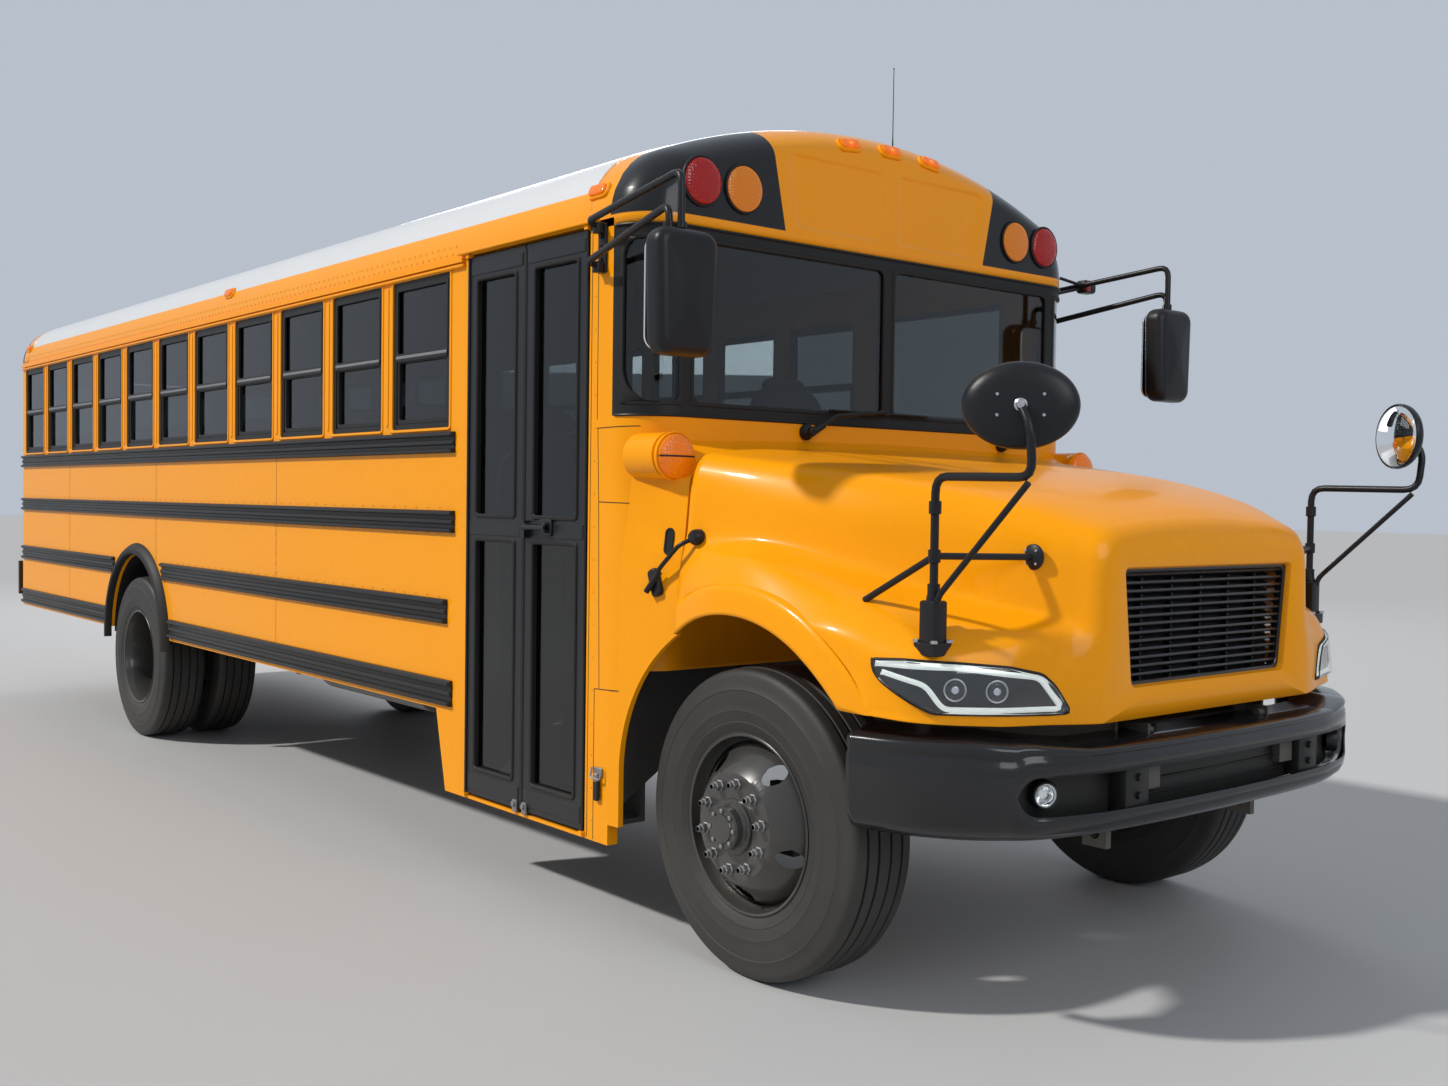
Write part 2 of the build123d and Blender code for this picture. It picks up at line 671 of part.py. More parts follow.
def collar_form(inset):
    """The flared collar between the hood's rear edge and the body, or the space inside it."""
    front = HOOD_REAR + HOOD_GAP
    with BuildSketch(across(y_at(front - inset))) as near:
        hood_section(HOOD_ROWS[0], inset, COLLAR_BOTTOM - inset)
    with BuildSketch(across(y_at(COLLAR_REAR[0] + inset))) as far:
        hood_section(COLLAR_REAR, inset, COLLAR_BOTTOM - inset)
    loft([near.sketch, far.sketch], ruled=True)


def make_cowl():
    """The body's front below the windscreen, with the collar that the hood closes on."""
    with BuildPart(mode=Mode.PRIVATE) as arch:
        arch_space(FRONT_ARCH_R, FRONT_ARCH_Z, 0, HALF + WALL)
    with BuildPart(mode=Mode.PRIVATE) as collar_core:
        collar_form(HOOD_WALL)
    with BuildPart(mode=Mode.PRIVATE) as cabin:
        with BuildSketch(Plane.XY.offset(FLOOR_Z - FLOOR_THICK)):
            end_plan(WALL, FACE, 1)
        extrude(amount=SCREEN_SILL - FLOOR_Z + FLOOR_THICK + WALL)
    with BuildPart() as cowl:
        collar_form(0)
        add(collar_core.part, mode=Mode.SUBTRACT)
        end_wall(FLOOR_Z - FLOOR_THICK, SCREEN_SILL, FACE, 1)
        for side in (-1, 1):
            x, front, z = side * COWL_LAMP[0], COWL_LAMP[1] + COWL_LAMP_THICK + SEAT_GAP, COWL_LAMP[2]
            puck(x, front, z, COWL_LAMP_R, 170, 1)
            puck(x, HOOD_REAR, z, COWL_LAMP_R, front - HOOD_REAR, 1, Mode.SUBTRACT)
        add(cabin.part, mode=Mode.SUBTRACT)
        add(arch.part, mode=Mode.SUBTRACT)
    save(cowl, "cowl")


def make_rear_wall():
    near, far, low, high = REAR_WINDOW
    with BuildPart() as wall:
        end_wall(SKIRT_Z, EAVE_Z, REAR_FACE, -1)
        depth = (REAR_FACE - CORNER_R, REAR_FACE + WALL)
        block((-REAR_DOOR_HALF, REAR_DOOR_HALF), depth, (REAR_DOOR_BOTTOM - 16, REAR_DOOR_HEAD),
              Mode.SUBTRACT)
        for side in (-1, 1):
            block((side * near, side * far), depth, (low, high), Mode.SUBTRACT)
        for z in (REAR_DOOR_BOTTOM - HINGE_LUG, rear_door_top() + SEAT_GAP):
            block((-REAR_DOOR_HALF - 1, -REAR_DOOR_HALF + DOOR_GAP + 10),
                  (REAR_FACE - 10, REAR_FACE + HINGE_OUT + 12), (z, z + HINGE_LUG - SEAT_GAP))
        with Locations((-REAR_DOOR_HALF + DOOR_GAP, y_at(REAR_FACE + HINGE_OUT), EAVE_Z / 2)):
            Cylinder(HINGE_PIN + PIN_GAP, EAVE_Z, mode=Mode.SUBTRACT)
    save(wall, "rear_wall")


def rear_door_top():
    """Height of the rear door's top edge, under its upper hinge lug."""
    return REAR_DOOR_HEAD - HINGE_LUG - 2 * SEAT_GAP


def make_rear_door():
    hinge, latch = -REAR_DOOR_HALF + DOOR_GAP, REAR_DOOR_HALF - 8
    with BuildPart() as door:
        with BuildSketch(across(y_at(REAR_FACE))):
            rectangle_between((hinge, REAR_DOOR_BOTTOM), (latch, rear_door_top()))
            for low, high in REAR_DOOR_PANES:
                rectangle_between((hinge + REAR_DOOR_STILE, low), (latch - REAR_DOOR_STILE, high),
                                  Mode.SUBTRACT)
        extrude(amount=LEAF_THICK)
        with Locations((hinge, y_at(REAR_FACE + HINGE_OUT), (REAR_DOOR_BOTTOM + rear_door_top()) / 2)):
            Cylinder(HINGE_PIN, rear_door_top() - REAR_DOOR_BOTTOM + 2 * (HINGE_LUG - 2))
        block((latch - 70, latch - 45), (REAR_FACE, REAR_FACE + 35), (1690, 1830))
    save(door, "rear_door")
    with BuildPart() as glass:
        for low, high in REAR_DOOR_PANES:
            block((hinge + REAR_DOOR_STILE + SEAT_GAP, latch - REAR_DOOR_STILE - SEAT_GAP),
                  (REAR_FACE - 24, REAR_FACE - 24 + GLASS), (low + SEAT_GAP, high - SEAT_GAP))
    save(glass, "rear_door_glass")


def make_floor():
    """The deck with the rear wheel housings, and the entrance steps."""
    inside = HALF - WALL - SEAT_GAP
    with BuildPart(mode=Mode.PRIVATE) as wheel_space:
        arch_space(REAR_ARCH_R, REAR_ARCH_Z, WHEELBASE, inside + WALL)
        block((-WHEELHOUSE_IN, WHEELHOUSE_IN), (WHEELBASE - 800, WHEELBASE + 800), (0, 2000), Mode.SUBTRACT)
    with BuildPart() as deck:
        block((-inside, inside), (SIDE_FRONT, SIDE_REAR), (FLOOR_Z - FLOOR_THICK, FLOOR_Z))
        narrow = HALF - CORNER_R
        for rows in ((FACE + WALL + SEAT_GAP, SIDE_FRONT), (SIDE_REAR, REAR_FACE - WALL - SEAT_GAP)):
            block((-narrow, narrow), rows, (FLOOR_Z - FLOOR_THICK, FLOOR_Z))
        with BuildSketch(Plane.YZ.offset(-inside)):
            with Locations((y_at(WHEELBASE), REAR_ARCH_Z)):
                Circle(REAR_ARCH_R + HOUSING)
            rectangle_between((y_at(WHEELBASE - 700), 0), (y_at(WHEELBASE + 700), FLOOR_Z - FLOOR_THICK),
                              Mode.SUBTRACT)
        extrude(amount=2 * inside)
        block((-WHEELHOUSE_IN + 12, WHEELHOUSE_IN - 12), (WHEELBASE - 700, WHEELBASE + 700), (FLOOR_Z, 2000),
              Mode.SUBTRACT)
        add(wheel_space.part, mode=Mode.SUBTRACT)
        block((-inside - 1, stair_inner()), (DOOR_FRONT, DOOR_REAR), (0, FLOOR_Z + 1), Mode.SUBTRACT)
    save(deck, "floor_deck")
    outer = -HALF + WALL + 8
    with BuildPart() as steps:
        with BuildSketch(across(y_at(DOOR_FRONT + SEAT_GAP))):
            outline(stair_profile(outer))
        extrude(amount=-(DOOR_REAR - DOOR_FRONT - 2 * SEAT_GAP))
        for y in (DOOR_FRONT + SEAT_GAP, DOOR_REAR - SEAT_GAP - 10):
            with BuildSketch(across(y_at(y))):
                outline([(outer, STEP_HEIGHTS[0] - 20), (outer, FLOOR_Z), (stair_inner() - SEAT_GAP, FLOOR_Z),
                         (stair_inner() - SEAT_GAP, STEP_HEIGHTS[-1] - 20)])
            extrude(amount=-10)
    save(steps, "entrance_steps")


def stair_inner():
    """X of the step well's inner side."""
    return -HALF + WALL + 8 + len(STEP_HEIGHTS) * STEP_DEPTH


def stair_profile(outer):
    """The stairs in section: treads and risers of sheet."""
    top = [(outer, STEP_HEIGHTS[0])]
    under = [(outer, STEP_HEIGHTS[0] - SHEET)]
    levels = (*STEP_HEIGHTS, FLOOR_Z)
    last = len(STEP_HEIGHTS) - 1
    for k in range(last):
        x = outer + (k + 1) * STEP_DEPTH - SHEET
        top += [(x, levels[k]), (x, levels[k + 1])]
        under += [(x + SHEET, levels[k] - SHEET), (x + SHEET, levels[k + 1] - SHEET)]
    x = stair_inner() - SEAT_GAP
    top += [(x - SHEET, levels[last]), (x - SHEET, FLOOR_Z), (x, FLOOR_Z)]
    under.append((x, levels[last] - SHEET))
    return top + list(reversed(under))


def make_rub_rails():
    with BuildPart() as rails:
        for side in (-1, 1):
            for low, high, front in RAIL_BANDS:
                back, out = side * (HALF + SEAT_GAP), side * (HALF + RUB_RAIL_OUT)
                with BuildSketch(across(y_at(front))):
                    outline([(back, low), (back, high), (out, high - RUB_RAIL_BEVEL),
                             (out, low + RUB_RAIL_BEVEL)])
                extrude(amount=-(SIDE_REAR - front))
        with BuildSketch(Plane.YZ.offset(-HALF - WALL)):
            with Locations((y_at(WHEELBASE), REAR_ARCH_Z)):
                Circle(REAR_ARCH_R + FLARE_WIDTH + 2)
        extrude(amount=2 * (HALF + WALL), mode=Mode.SUBTRACT)
    save(rails, "rub_rails")


def make_rear_fenders():
    """Rubber flares round the rear arches, with a mud flap behind each pair of wheels."""
    reach = sqrt((REAR_ARCH_R + FLARE_WIDTH) ** 2 - (REAR_ARCH_Z - SKIRT_Z) ** 2)
    with BuildPart() as fenders:
        for side in (-1, 1):
            with BuildSketch(Plane.YZ.offset(HALF + SEAT_GAP if side > 0 else -HALF - FLARE_OUT)):
                with Locations((y_at(WHEELBASE), REAR_ARCH_Z)):
                    Circle(REAR_ARCH_R + FLARE_WIDTH)
                    Circle(REAR_ARCH_R, mode=Mode.SUBTRACT)
                rectangle_between((y_at(WHEELBASE) - reach - 50, 0), (y_at(WHEELBASE) + reach + 50, SKIRT_Z),
                                  Mode.SUBTRACT)
            extrude(amount=FLARE_OUT - SEAT_GAP)
        for side in (-1, 1):
            y = WHEELBASE + REAR_ARCH_R + 45
            block((side * MUD_FLAP_IN, side * (HALF - WALL - 2)), (y, y + MUD_FLAP_THICK),
                  (MUD_FLAP_Z, RAIL_TOP))
    save(fenders, "rear_fenders")


def make_chassis():
    """Two channel rails with their tow plates, hinge brackets and bumper arms, the cross members between
    their webs, and the outriggers that carry the body's sides."""
    with BuildPart() as rails:
        for side in (-1, 1):
            web = side * RAIL_HALF
            inner = side * (RAIL_HALF - RAIL_FLANGE)
            block((web, web - side * RAIL_WEB), (RAIL_FRONT, RAIL_REAR), (RAIL_BOTTOM, RAIL_TOP))
            for z in (RAIL_TOP - RAIL_WEB, RAIL_BOTTOM):
                block((web, inner), (RAIL_FRONT, RAIL_REAR), (z, z + RAIL_WEB))
            block((side * 343, side * 355), (HINGE_Y - 20, RAIL_FRONT + 60), (HINGE_Z - 45, HINGE_Z + 22))
            with Locations(Pos(side * 333, y_at(HINGE_Y), HINGE_Z) * Rot(0, 90, 0)):
                Cylinder(HINGE_PIN_R, 44)
            block((web, inner), (BUMPER_BACK + SEAT_GAP, RAIL_FRONT + 10), (720, 850))
            for eye_y, z in TOW_EYES:
                block((web, web - side * TOW_EYE_THICK), (eye_y - 45, eye_y + 45), (z - 45, RAIL_BOTTOM))
                with Locations(Pos(web, y_at(eye_y), z) * Rot(0, 90, 0)):
                    Cylinder(TOW_EYE_R, 4 * TOW_EYE_THICK, mode=Mode.SUBTRACT)
    save(rails, "frame_rails")
    between = RAIL_HALF - RAIL_WEB - SEAT_GAP
    with BuildPart() as members:
        for y in CROSS_MEMBERS:
            block((-between, between), (y - 45, y + 45), (RAIL_BOTTOM + 20, RAIL_TOP - 100))
    save(members, "cross_members")
    with BuildPart() as outriggers:
        for y in OUTRIGGERS:
            for side in (-1, 1):
                block((side * (RAIL_HALF + SEAT_GAP), side * (HALF - WALL - 2)), (y - 25, y + 25),
                      (RAIL_TOP - OUTRIGGER_DEPTH, RAIL_TOP))
    save(outriggers, "outriggers")


def make_bumpers():
    inner = [(0, BUMPER_BACK), (510, BUMPER_BACK), (885, -955), (1074, -780), (1174, -545)]
    with BuildPart() as bumper:
        with BuildSketch(Plane.XY.offset(BUMPER_BOTTOM)):
            ring = list(BUMPER_PLAN) + list(reversed(inner))
            outline([(x, y_at(y)) for x, y in ring])
            mirror(about=Plane.YZ)
        extrude(amount=BUMPER_SIDE_TOP - BUMPER_BOTTOM)
        block((-HALF, HALF), (-FRONT_REACH, -800), (BUMPER_TOP, BUMPER_SIDE_TOP + 5), Mode.SUBTRACT)
        half, low, high = BUMPER_RECESS
        block((-half, half), (-FRONT_REACH, -1000), (low, high), Mode.SUBTRACT)
        for side in (-1, 1):
            with Locations(Pos(side * FOG_X, y_at(-980), 740) * Rot(90, 0, 0)):
                Cylinder(FOG_R + 20, 160, mode=Mode.SUBTRACT)
    save(bumper, "front_bumper")
    low, high = REAR_BUMPER
    with BuildPart() as rear:
        with BuildSketch(Plane.XY.offset(low)):
            with Locations((0, y_at(REAR_FACE + REAR_BUMPER_OUT - 60))):
                Rectangle(BODY_WIDTH - 20, 120)
            vertices_out = [v for v in vertices() if v.Y > y_at(REAR_FACE + REAR_BUMPER_OUT - 10)]
            fillet(vertices_out, 80)
            with Locations((0, y_at(REAR_FACE + SEAT_GAP - 75))):
                Rectangle(BODY_WIDTH + 100, 150, mode=Mode.SUBTRACT)
            with Locations((0, y_at(REAR_FACE + SEAT_GAP + 35))):
                Rectangle(BODY_WIDTH - 260, 70, mode=Mode.SUBTRACT)
        extrude(amount=high - low)
        for side in (-1, 1):
            block((side * 352, side * 432), (REAR_FACE + SEAT_GAP, REAR_FACE + 75), (760, 950))
    save(rear, "rear_bumper")


def wheel_axis(aft):
    """Axle line at a place aft of the front axle."""
    return Axis((0, y_at(aft), TYRE_R), (1, 0, 0))


def turned(points, centre, side, aft):
    """A solid of revolution about an axle, from (outward distance from centre, radius)."""
    with BuildSketch(Plane.XY.offset(TYRE_R)) as section:
        outline([(centre + side * a, y_at(aft) + r) for a, r in points])
    revolve(section.sketch, axis=wheel_axis(aft))


def tyre_section(shoulders):
    """A tyre in section, as (outward distance, radius), with cut shoulders on the sides that show."""
    cut = [(TYRE_HALF, BEAD_R), (TYRE_HALF, SHOULDER_R), (TREAD_HALF, TYRE_R)]
    plain = [(TYRE_HALF - 6, BEAD_R), (TYRE_HALF - 6, TYRE_R)]
    outer, inner = [cut if shown else plain for shown in shoulders]
    return outer + [(-a, r) for a, r in reversed(inner)]


def hand_holes(x, aft, reach):
    """Round holes through a wheel disc, along the axle."""
    with BuildSketch(Plane.YZ.offset(x)) as holes:
        with Locations((y_at(aft), TYRE_R)):
            with PolarLocations(HAND_HOLE_CIRCLE, HAND_HOLES, start_angle=90):
                Circle(HAND_HOLE_R)
    extrude(holes.sketch, amount=reach, both=True, mode=Mode.SUBTRACT)


def make_wheels():
    rim_r = BEAD_R - SEAT_GAP
    for side, name in ((-1, "right"), (1, "left")):
        with BuildPart() as front_tyre:
            turned(tyre_section((True, True)), side * FRONT_TRACK_HALF, side, 0)
        save(front_tyre, f"tyre_front_{name}")
        disc = WHEEL_OUTSET
        with BuildPart() as front_rim:
            turned([(-RIM_HALF, rim_r), (RIM_HALF, rim_r), (RIM_HALF, RIM_INNER_R), (70, RIM_INNER_R),
                    (disc + DISC_THICK, DISC_R), (disc + DISC_THICK, HUB_R), (disc + HUB_OUT, HUB_R),
                    (disc + HUB_OUT + 6, 0), (disc - 10, 0), (disc - 10, SPINDLE_R + PIN_GAP),
                    (0, SPINDLE_R + PIN_GAP), (0, HUB_R), (disc, HUB_R), (disc, DISC_R - 6),
                    (56, RIM_INNER_R - 1), (-RIM_HALF, RIM_INNER_R - 1)], side * FRONT_TRACK_HALF, side, 0)
            hand_holes(side * (FRONT_TRACK_HALF + 320), 0, 200)
        save(front_rim, f"rim_front_{name}")
        with BuildPart() as rear_tyres:
            turned(tyre_section((True, False)), side * (REAR_TRACK_HALF + WHEEL_OUTSET), side, WHEELBASE)
            turned(tyre_section((False, False)), side * (REAR_TRACK_HALF - WHEEL_OUTSET), side, WHEELBASE)
        save(rear_tyres, f"tyres_rear_{name}")
        reach = WHEEL_OUTSET + RIM_HALF
        with BuildPart() as rear_rims:
            turned([(-reach, rim_r), (reach, rim_r), (reach, RIM_INNER_R), (DISC_THICK, RIM_INNER_R),
                    (DISC_THICK, 120), (130, 105), (150, 60), (150, 0), (60, 0), (60, SPINDLE_R + PIN_GAP),
                    (-90, SPINDLE_R + PIN_GAP), (-90, 120), (-DISC_THICK, 120), (-DISC_THICK, RIM_INNER_R),
                    (-reach, RIM_INNER_R)], side * REAR_TRACK_HALF, side, WHEELBASE)
            hand_holes(side * REAR_TRACK_HALF, WHEELBASE, 3 * DISC_THICK)
        save(rear_rims, f"rims_rear_{name}")


def king_pin(side, radius, low, high, mode=Mode.ADD):
    """An upright cylinder on the king pin's line."""
    with Locations((side * KING_PIN_X, y_at(0), (low + high) / 2)):
        Cylinder(radius, high - low, mode=mode)


def make_steering():
    low, high = YOKE
    foot = low - YOKE_THICK
    for side, name in ((-1, "right"), (1, "left")):
        pin = side * KING_PIN_X
        web = (side * (KING_PIN_X + 66), side * (KING_PIN_X + 100))
        with BuildPart() as knuckle:
            king_pin(side, KING_PIN_R, foot, high + YOKE_THICK)
            for z in (foot, high):
                block((side * (KING_PIN_X - 38), web[1]), (-42, 42), (z, z + YOKE_THICK))
            block(web, (-60, 60), (foot, high + YOKE_THICK))
            with Locations(Pos(side * (KING_PIN_X + 180), y_at(0), TYRE_R) * Rot(0, 90, 0)):
                Cylinder(SPINDLE_R, 210)
            block((pin - 20, pin + 20), (20, TIE_Y + 25), (foot, low - 12))
            with Locations((pin, y_at(TIE_Y), TIE_Z + 18)):
                Cylinder(TIE_PIN_R, 60)
        save(knuckle, f"knuckle_{name}")
    with BuildPart() as rod:
        for side in (-1, 1):
            with Locations((side * KING_PIN_X, y_at(TIE_Y), TIE_Z)):
                Cylinder(TIE_EYE_R, 24)
                Cylinder(TIE_PIN_R + (PIN_GAP if side > 0 else 3), 24, mode=Mode.SUBTRACT)
        with Locations(Pos(0, y_at(TIE_Y), TIE_Z) * Rot(0, 90, 0)):
            Cylinder(TIE_EYE_R / 2, 2 * (KING_PIN_X - 18))
    save(rod, "tie_rod")
    under, over = BEAM
    with BuildPart() as axle:
        for side in (-1, 1):
            with BuildSketch(across(y_at(40))):
                outline([(0, under), (0, over), (side * 470, over), (side * 620, high - 0.5),
                         (side * 840, high - 0.5), (side * 840, low + 0.5), (side * 660, low + 0.5),
                         (side * 520, under)])
            extrude(amount=80)
            king_pin(side, 45, low + 0.5, high - 0.5)
        for side in (-1, 1):
            king_pin(side, KING_PIN_R + PIN_GAP, low, high, Mode.SUBTRACT)
        for side in (-1, 1):
            leaf_spring(side, 0, over + 55, 560)
    save(axle, "front_axle")


def leaf_spring(side, aft, middle_z, half_length):
    """A leaf spring under a rail, seated on the axle."""
    end_z = RAIL_BOTTOM - 10
    ends = (y_at(aft - half_length), y_at(aft + half_length))
    x = (side * SPRING_X[0], side * SPRING_X[1])
    with BuildSketch(Plane.YZ.offset(sum(x) / 2 - SPRING_WIDTH / 2)) as leaves:
        with BuildLine():
            ThreePointArc((ends[0], end_z), (y_at(aft), middle_z), (ends[1], end_z))
            Line((ends[1], end_z), (ends[1], end_z - SPRING_THICK))
            ThreePointArc((ends[1], end_z - SPRING_THICK), (y_at(aft), middle_z - 56),
                          (ends[0], end_z - SPRING_THICK))
            Line((ends[0], end_z - SPRING_THICK), (ends[0], end_z))
        make_face()
    extrude(leaves.sketch, amount=SPRING_WIDTH)
    block(x, (aft - 60, aft + 60), (middle_z - 60, middle_z + 20))
    for end in (-1, 1):
        block(x, (aft + end * (half_length - 10), aft + end * (half_length + 50)),
              (end_z - SPRING_THICK, RAIL_BOTTOM - SEAT_GAP))


def make_rear_axle():
    with BuildPart() as axle:
        with Locations(Pos(0, y_at(WHEELBASE), TYRE_R) * Rot(0, 90, 0)):
            Cylinder(AXLE_TUBE_R, 2 * (REAR_TRACK_HALF - 95))
            Cylinder(SPINDLE_R, 2 * (REAR_TRACK_HALF + 50))
            Cylinder(AXLE_BOWL_R, 260)
        with Locations(Pos(0, y_at(WHEELBASE - 200), TYRE_R) * Rot(90, 0, 0)):
            Cone(150, 60, 300)
        for side in (-1, 1):
            leaf_spring(side, WHEELBASE, TYRE_R + AXLE_TUBE_R + 55, 720)
    save(axle, "rear_axle")
    with BuildPart() as shaft:
        with BuildSketch(across(y_at(GEARBOX[1][1] + SEAT_GAP))):
            with Locations((0, GEARBOX_SHAFT_Z)):
                Circle(PROP_SHAFT_R)
        with BuildSketch(across(y_at(WHEELBASE - 350 - SEAT_GAP))):
            with Locations((0, TYRE_R)):
                Circle(PROP_SHAFT_R)
        loft(ruled=True)
    save(shaft, "prop_shaft")


def make_underbody():
    with BuildPart() as engine:
        block(*ENGINE)
        block(*GEARBOX)
        for y in ENGINE_MOUNTS:
            block((-RAIL_HALF + 30, RAIL_HALF - 30), (y, y + 100), (RAIL_BOTTOM + RAIL_WEB + SEAT_GAP, 800))
    save(engine, "engine_block")
    front, length, middle, height = TANK
    with BuildPart() as tank:
        with BuildSketch(across(y_at(front))):
            with Locations((0, middle)):
                RectangleRounded(2 * (RAIL_HALF - RAIL_FLANGE - SEAT_GAP), height, TANK_CORNER)
        extrude(amount=-length)
    save(tank, "fuel_tank")
    inner, rows, low = BATTERY_BOX
    with BuildPart() as box:
        block((inner, HALF - WALL - SEAT_GAP), rows, (low, RAIL_TOP))
    save(box, "battery_box")
    make_exhaust()


def make_exhaust():
    """The pipe from the engine's foot, up over the rear axle and out behind, hung from the outriggers."""
    over_x, over_z = EXHAUST_OVER_AXLE
    silencer_y, silencer_length, silencer_r = SILENCER
    with BuildPart() as pipe:
        tube(((-270, 250, ENGINE[2][0] - SEAT_GAP), (-270, 250, EXHAUST_Z), (-270, 1650, EXHAUST_Z),
              (EXHAUST_X, 2000, EXHAUST_Z), (EXHAUST_X, WHEELBASE - 794, EXHAUST_Z),
              (over_x, WHEELBASE - 494, over_z), (over_x, WHEELBASE + 506, over_z),
              (EXHAUST_X, WHEELBASE + 806, EXHAUST_Z), (EXHAUST_X, REAR_FACE + 10, EXHAUST_Z)), EXHAUST_R)
        for y in (OUTRIGGERS[0], OUTRIGGERS[3], OUTRIGGERS[4], OUTRIGGERS[6]):
            block((EXHAUST_X - 6, EXHAUST_X + 6), (y - 15, y + 15),
                  (EXHAUST_Z, RAIL_TOP - OUTRIGGER_DEPTH - SEAT_GAP))
        with Locations(Pos(EXHAUST_X, y_at(silencer_y), EXHAUST_Z) * Rot(90, 0, 0)):
            Cylinder(silencer_r, silencer_length)
    save(pipe, "exhaust_pipe")


def bench_seat(side, y):
    """One bench: a leaning back that stands on the floor, a cushion and its leg."""
    outer = side * (HALF - WALL - 8)
    inner = outer - side * SEAT_WIDTH
    with BuildSketch(Plane.YZ.offset(min(inner, outer))) as back:
        side_outline([(y + BACK_FOOT[0], FLOOR_Z + SEAT_GAP), (y + BACK_FOOT[1], FLOOR_Z + SEAT_GAP),
                      (y + BACK_HEAD[1], FLOOR_Z + SEAT_BACK_TOP),
                      (y + BACK_HEAD[0], FLOOR_Z + SEAT_BACK_TOP)])
    extrude(back.sketch, amount=SEAT_WIDTH)
    block((inner, outer), (y + CUSHION[0], y + CUSHION[1]),
          (FLOOR_Z + SEAT_TOP - CUSHION_THICK, FLOOR_Z + SEAT_TOP))
    near, far = [inner + side * x for x in SEAT_LEG[0]]
    block((near, far), (y + SEAT_LEG[1][0], y + SEAT_LEG[1][1]),
          (FLOOR_Z + SEAT_GAP, FLOOR_Z + SEAT_TOP - CUSHION_THICK + 10))


def make_seats():
    """Bench seats in two columns, cut out over the wheel housings, and the driver's seat."""
    near = WHEELHOUSE_IN - HOUSING - SEAT_GAP
    with BuildPart(mode=Mode.PRIVATE) as housings:
        arch_space(REAR_ARCH_R + HOUSING + SEAT_GAP, REAR_ARCH_Z, WHEELBASE, HALF)
        block((-near, near), (WHEELBASE - 800, WHEELBASE + 800), (0, 2000), Mode.SUBTRACT)
    with BuildPart() as seats:
        for k in range(SEAT_ROWS):
            for side in (-1, 1):
                bench_seat(side, WINDOW_FRONT + k * WINDOW_PITCH + SEAT_AFT)
        add(housings.part, mode=Mode.SUBTRACT)
    save(seats, "bench_seats")
    x, y = DRIVER_SEAT
    under, top, head = [FLOOR_Z + z for z in DRIVER_SEAT_Z]
    with BuildPart() as seat:
        block(*DRIVER_STAND, (FLOOR_Z + SEAT_GAP, under))
        block(x, y, (under, top))
        with BuildSketch(Plane.YZ.offset(x[0])):
            side_outline([(y[1] - 90, top - 10), (y[1], top - 10), (y[1] + 110, head), (y[1] + 30, head)])
        extrude(amount=x[1] - x[0])
    save(seat, "driver_seat")


def make_controls():
    """The dashboard, and the steering wheel on its column."""
    front = FACE + WALL + SEAT_GAP
    with BuildPart() as dash:
        with BuildSketch(Plane.YZ.offset(DASHBOARD[0])):
            side_outline([(front, 1500), (front, 1880), (front + 180, 1860), (front + 300, 1760),
                          (front + 280, 1500)])
        extrude(amount=DASHBOARD[1] - DASHBOARD[0])
    save(dash, "dashboard")
    x, y, z = STEERING_WHEEL
    lean = Plane(origin=(x, y_at(y), z), z_dir=(0, 0.5, 0.87))
    foot = Plane(origin=lean.from_local_coords((0, 0, -15 - COLUMN_LENGTH / 2)), z_dir=lean.z_dir)
    with BuildPart() as wheel:
        with BuildSketch(Plane(origin=lean.origin, x_dir=lean.x_dir, z_dir=lean.y_dir)) as rim:
            with Locations((STEERING_WHEEL_R, 0)):
                RegularPolygon(16, 6)
        revolve(rim.sketch, axis=Axis(lean.origin, lean.z_dir))
        with Locations(lean):
            Cylinder(40, 30)
            Box(420, 24, 14)
        with Locations(foot):
            Cylinder(22, COLUMN_LENGTH)
    save(wheel, "steering_wheel")


def puck(x, aft, z, radius, depth, way, mode=Mode.ADD):
    """A round lamp whose back lies depth behind the point, facing forwards or backwards."""
    with BuildSketch(across(y_at(aft))) as face:
        with Locations((x, z)):
            Circle(radius)
    extrude(face.sketch, amount=-way * depth, mode=mode)


def clearance_lamps(face, way, gap, mode=Mode.ADD):
    """The three small lamps at the top of a cap, or with a gap the pockets that they sit in."""
    for x in CLEARANCE_X:
        half, (low, high) = CLEARANCE_HALF + gap, CLEARANCE_Z
        out = -way * (FRONT_REACH if gap else 3)
        block((x - half, x + half), (face + out, face + way * (CLEARANCE_DEPTH + gap)),
              (low - gap, high + gap), mode)


def make_lamps():
    low = LAMP_POCKET + LAMP_OUT - SEAT_GAP
    with BuildPart() as red:
        for side in (-1, 1):
            puck(side * CAP_RED_X, FACE - LAMP_OUT, CAP_LAMP_Z, CAP_LAMP_R, low, 1)
            puck(side * CAP_RED_X, REAR_FACE + LAMP_OUT, CAP_LAMP_Z, CAP_LAMP_R, low, -1)
            puck(side * 800, REAR_FACE + 30, 1560, 88, 30 - SEAT_GAP, -1)
        clearance_lamps(REAR_FACE, -1, 0)
    save(red, "lamps_red")
    with BuildPart() as amber:
        for side in (-1, 1):
            puck(side * CAP_AMBER_X, FACE - LAMP_OUT, CAP_LAMP_Z, CAP_LAMP_R, low, 1)
            puck(side * CAP_AMBER_X, REAR_FACE + LAMP_OUT, CAP_LAMP_Z, CAP_LAMP_R, low, -1)
            puck(side * 1000, REAR_FACE + 30, 1560, 88, 30 - SEAT_GAP, -1)
            puck(side * COWL_LAMP[0], COWL_LAMP[1], COWL_LAMP[2], COWL_LAMP_R - 4, COWL_LAMP_THICK, 1)
        clearance_lamps(FACE, 1, 0)
    save(amber, "lamps_amber")


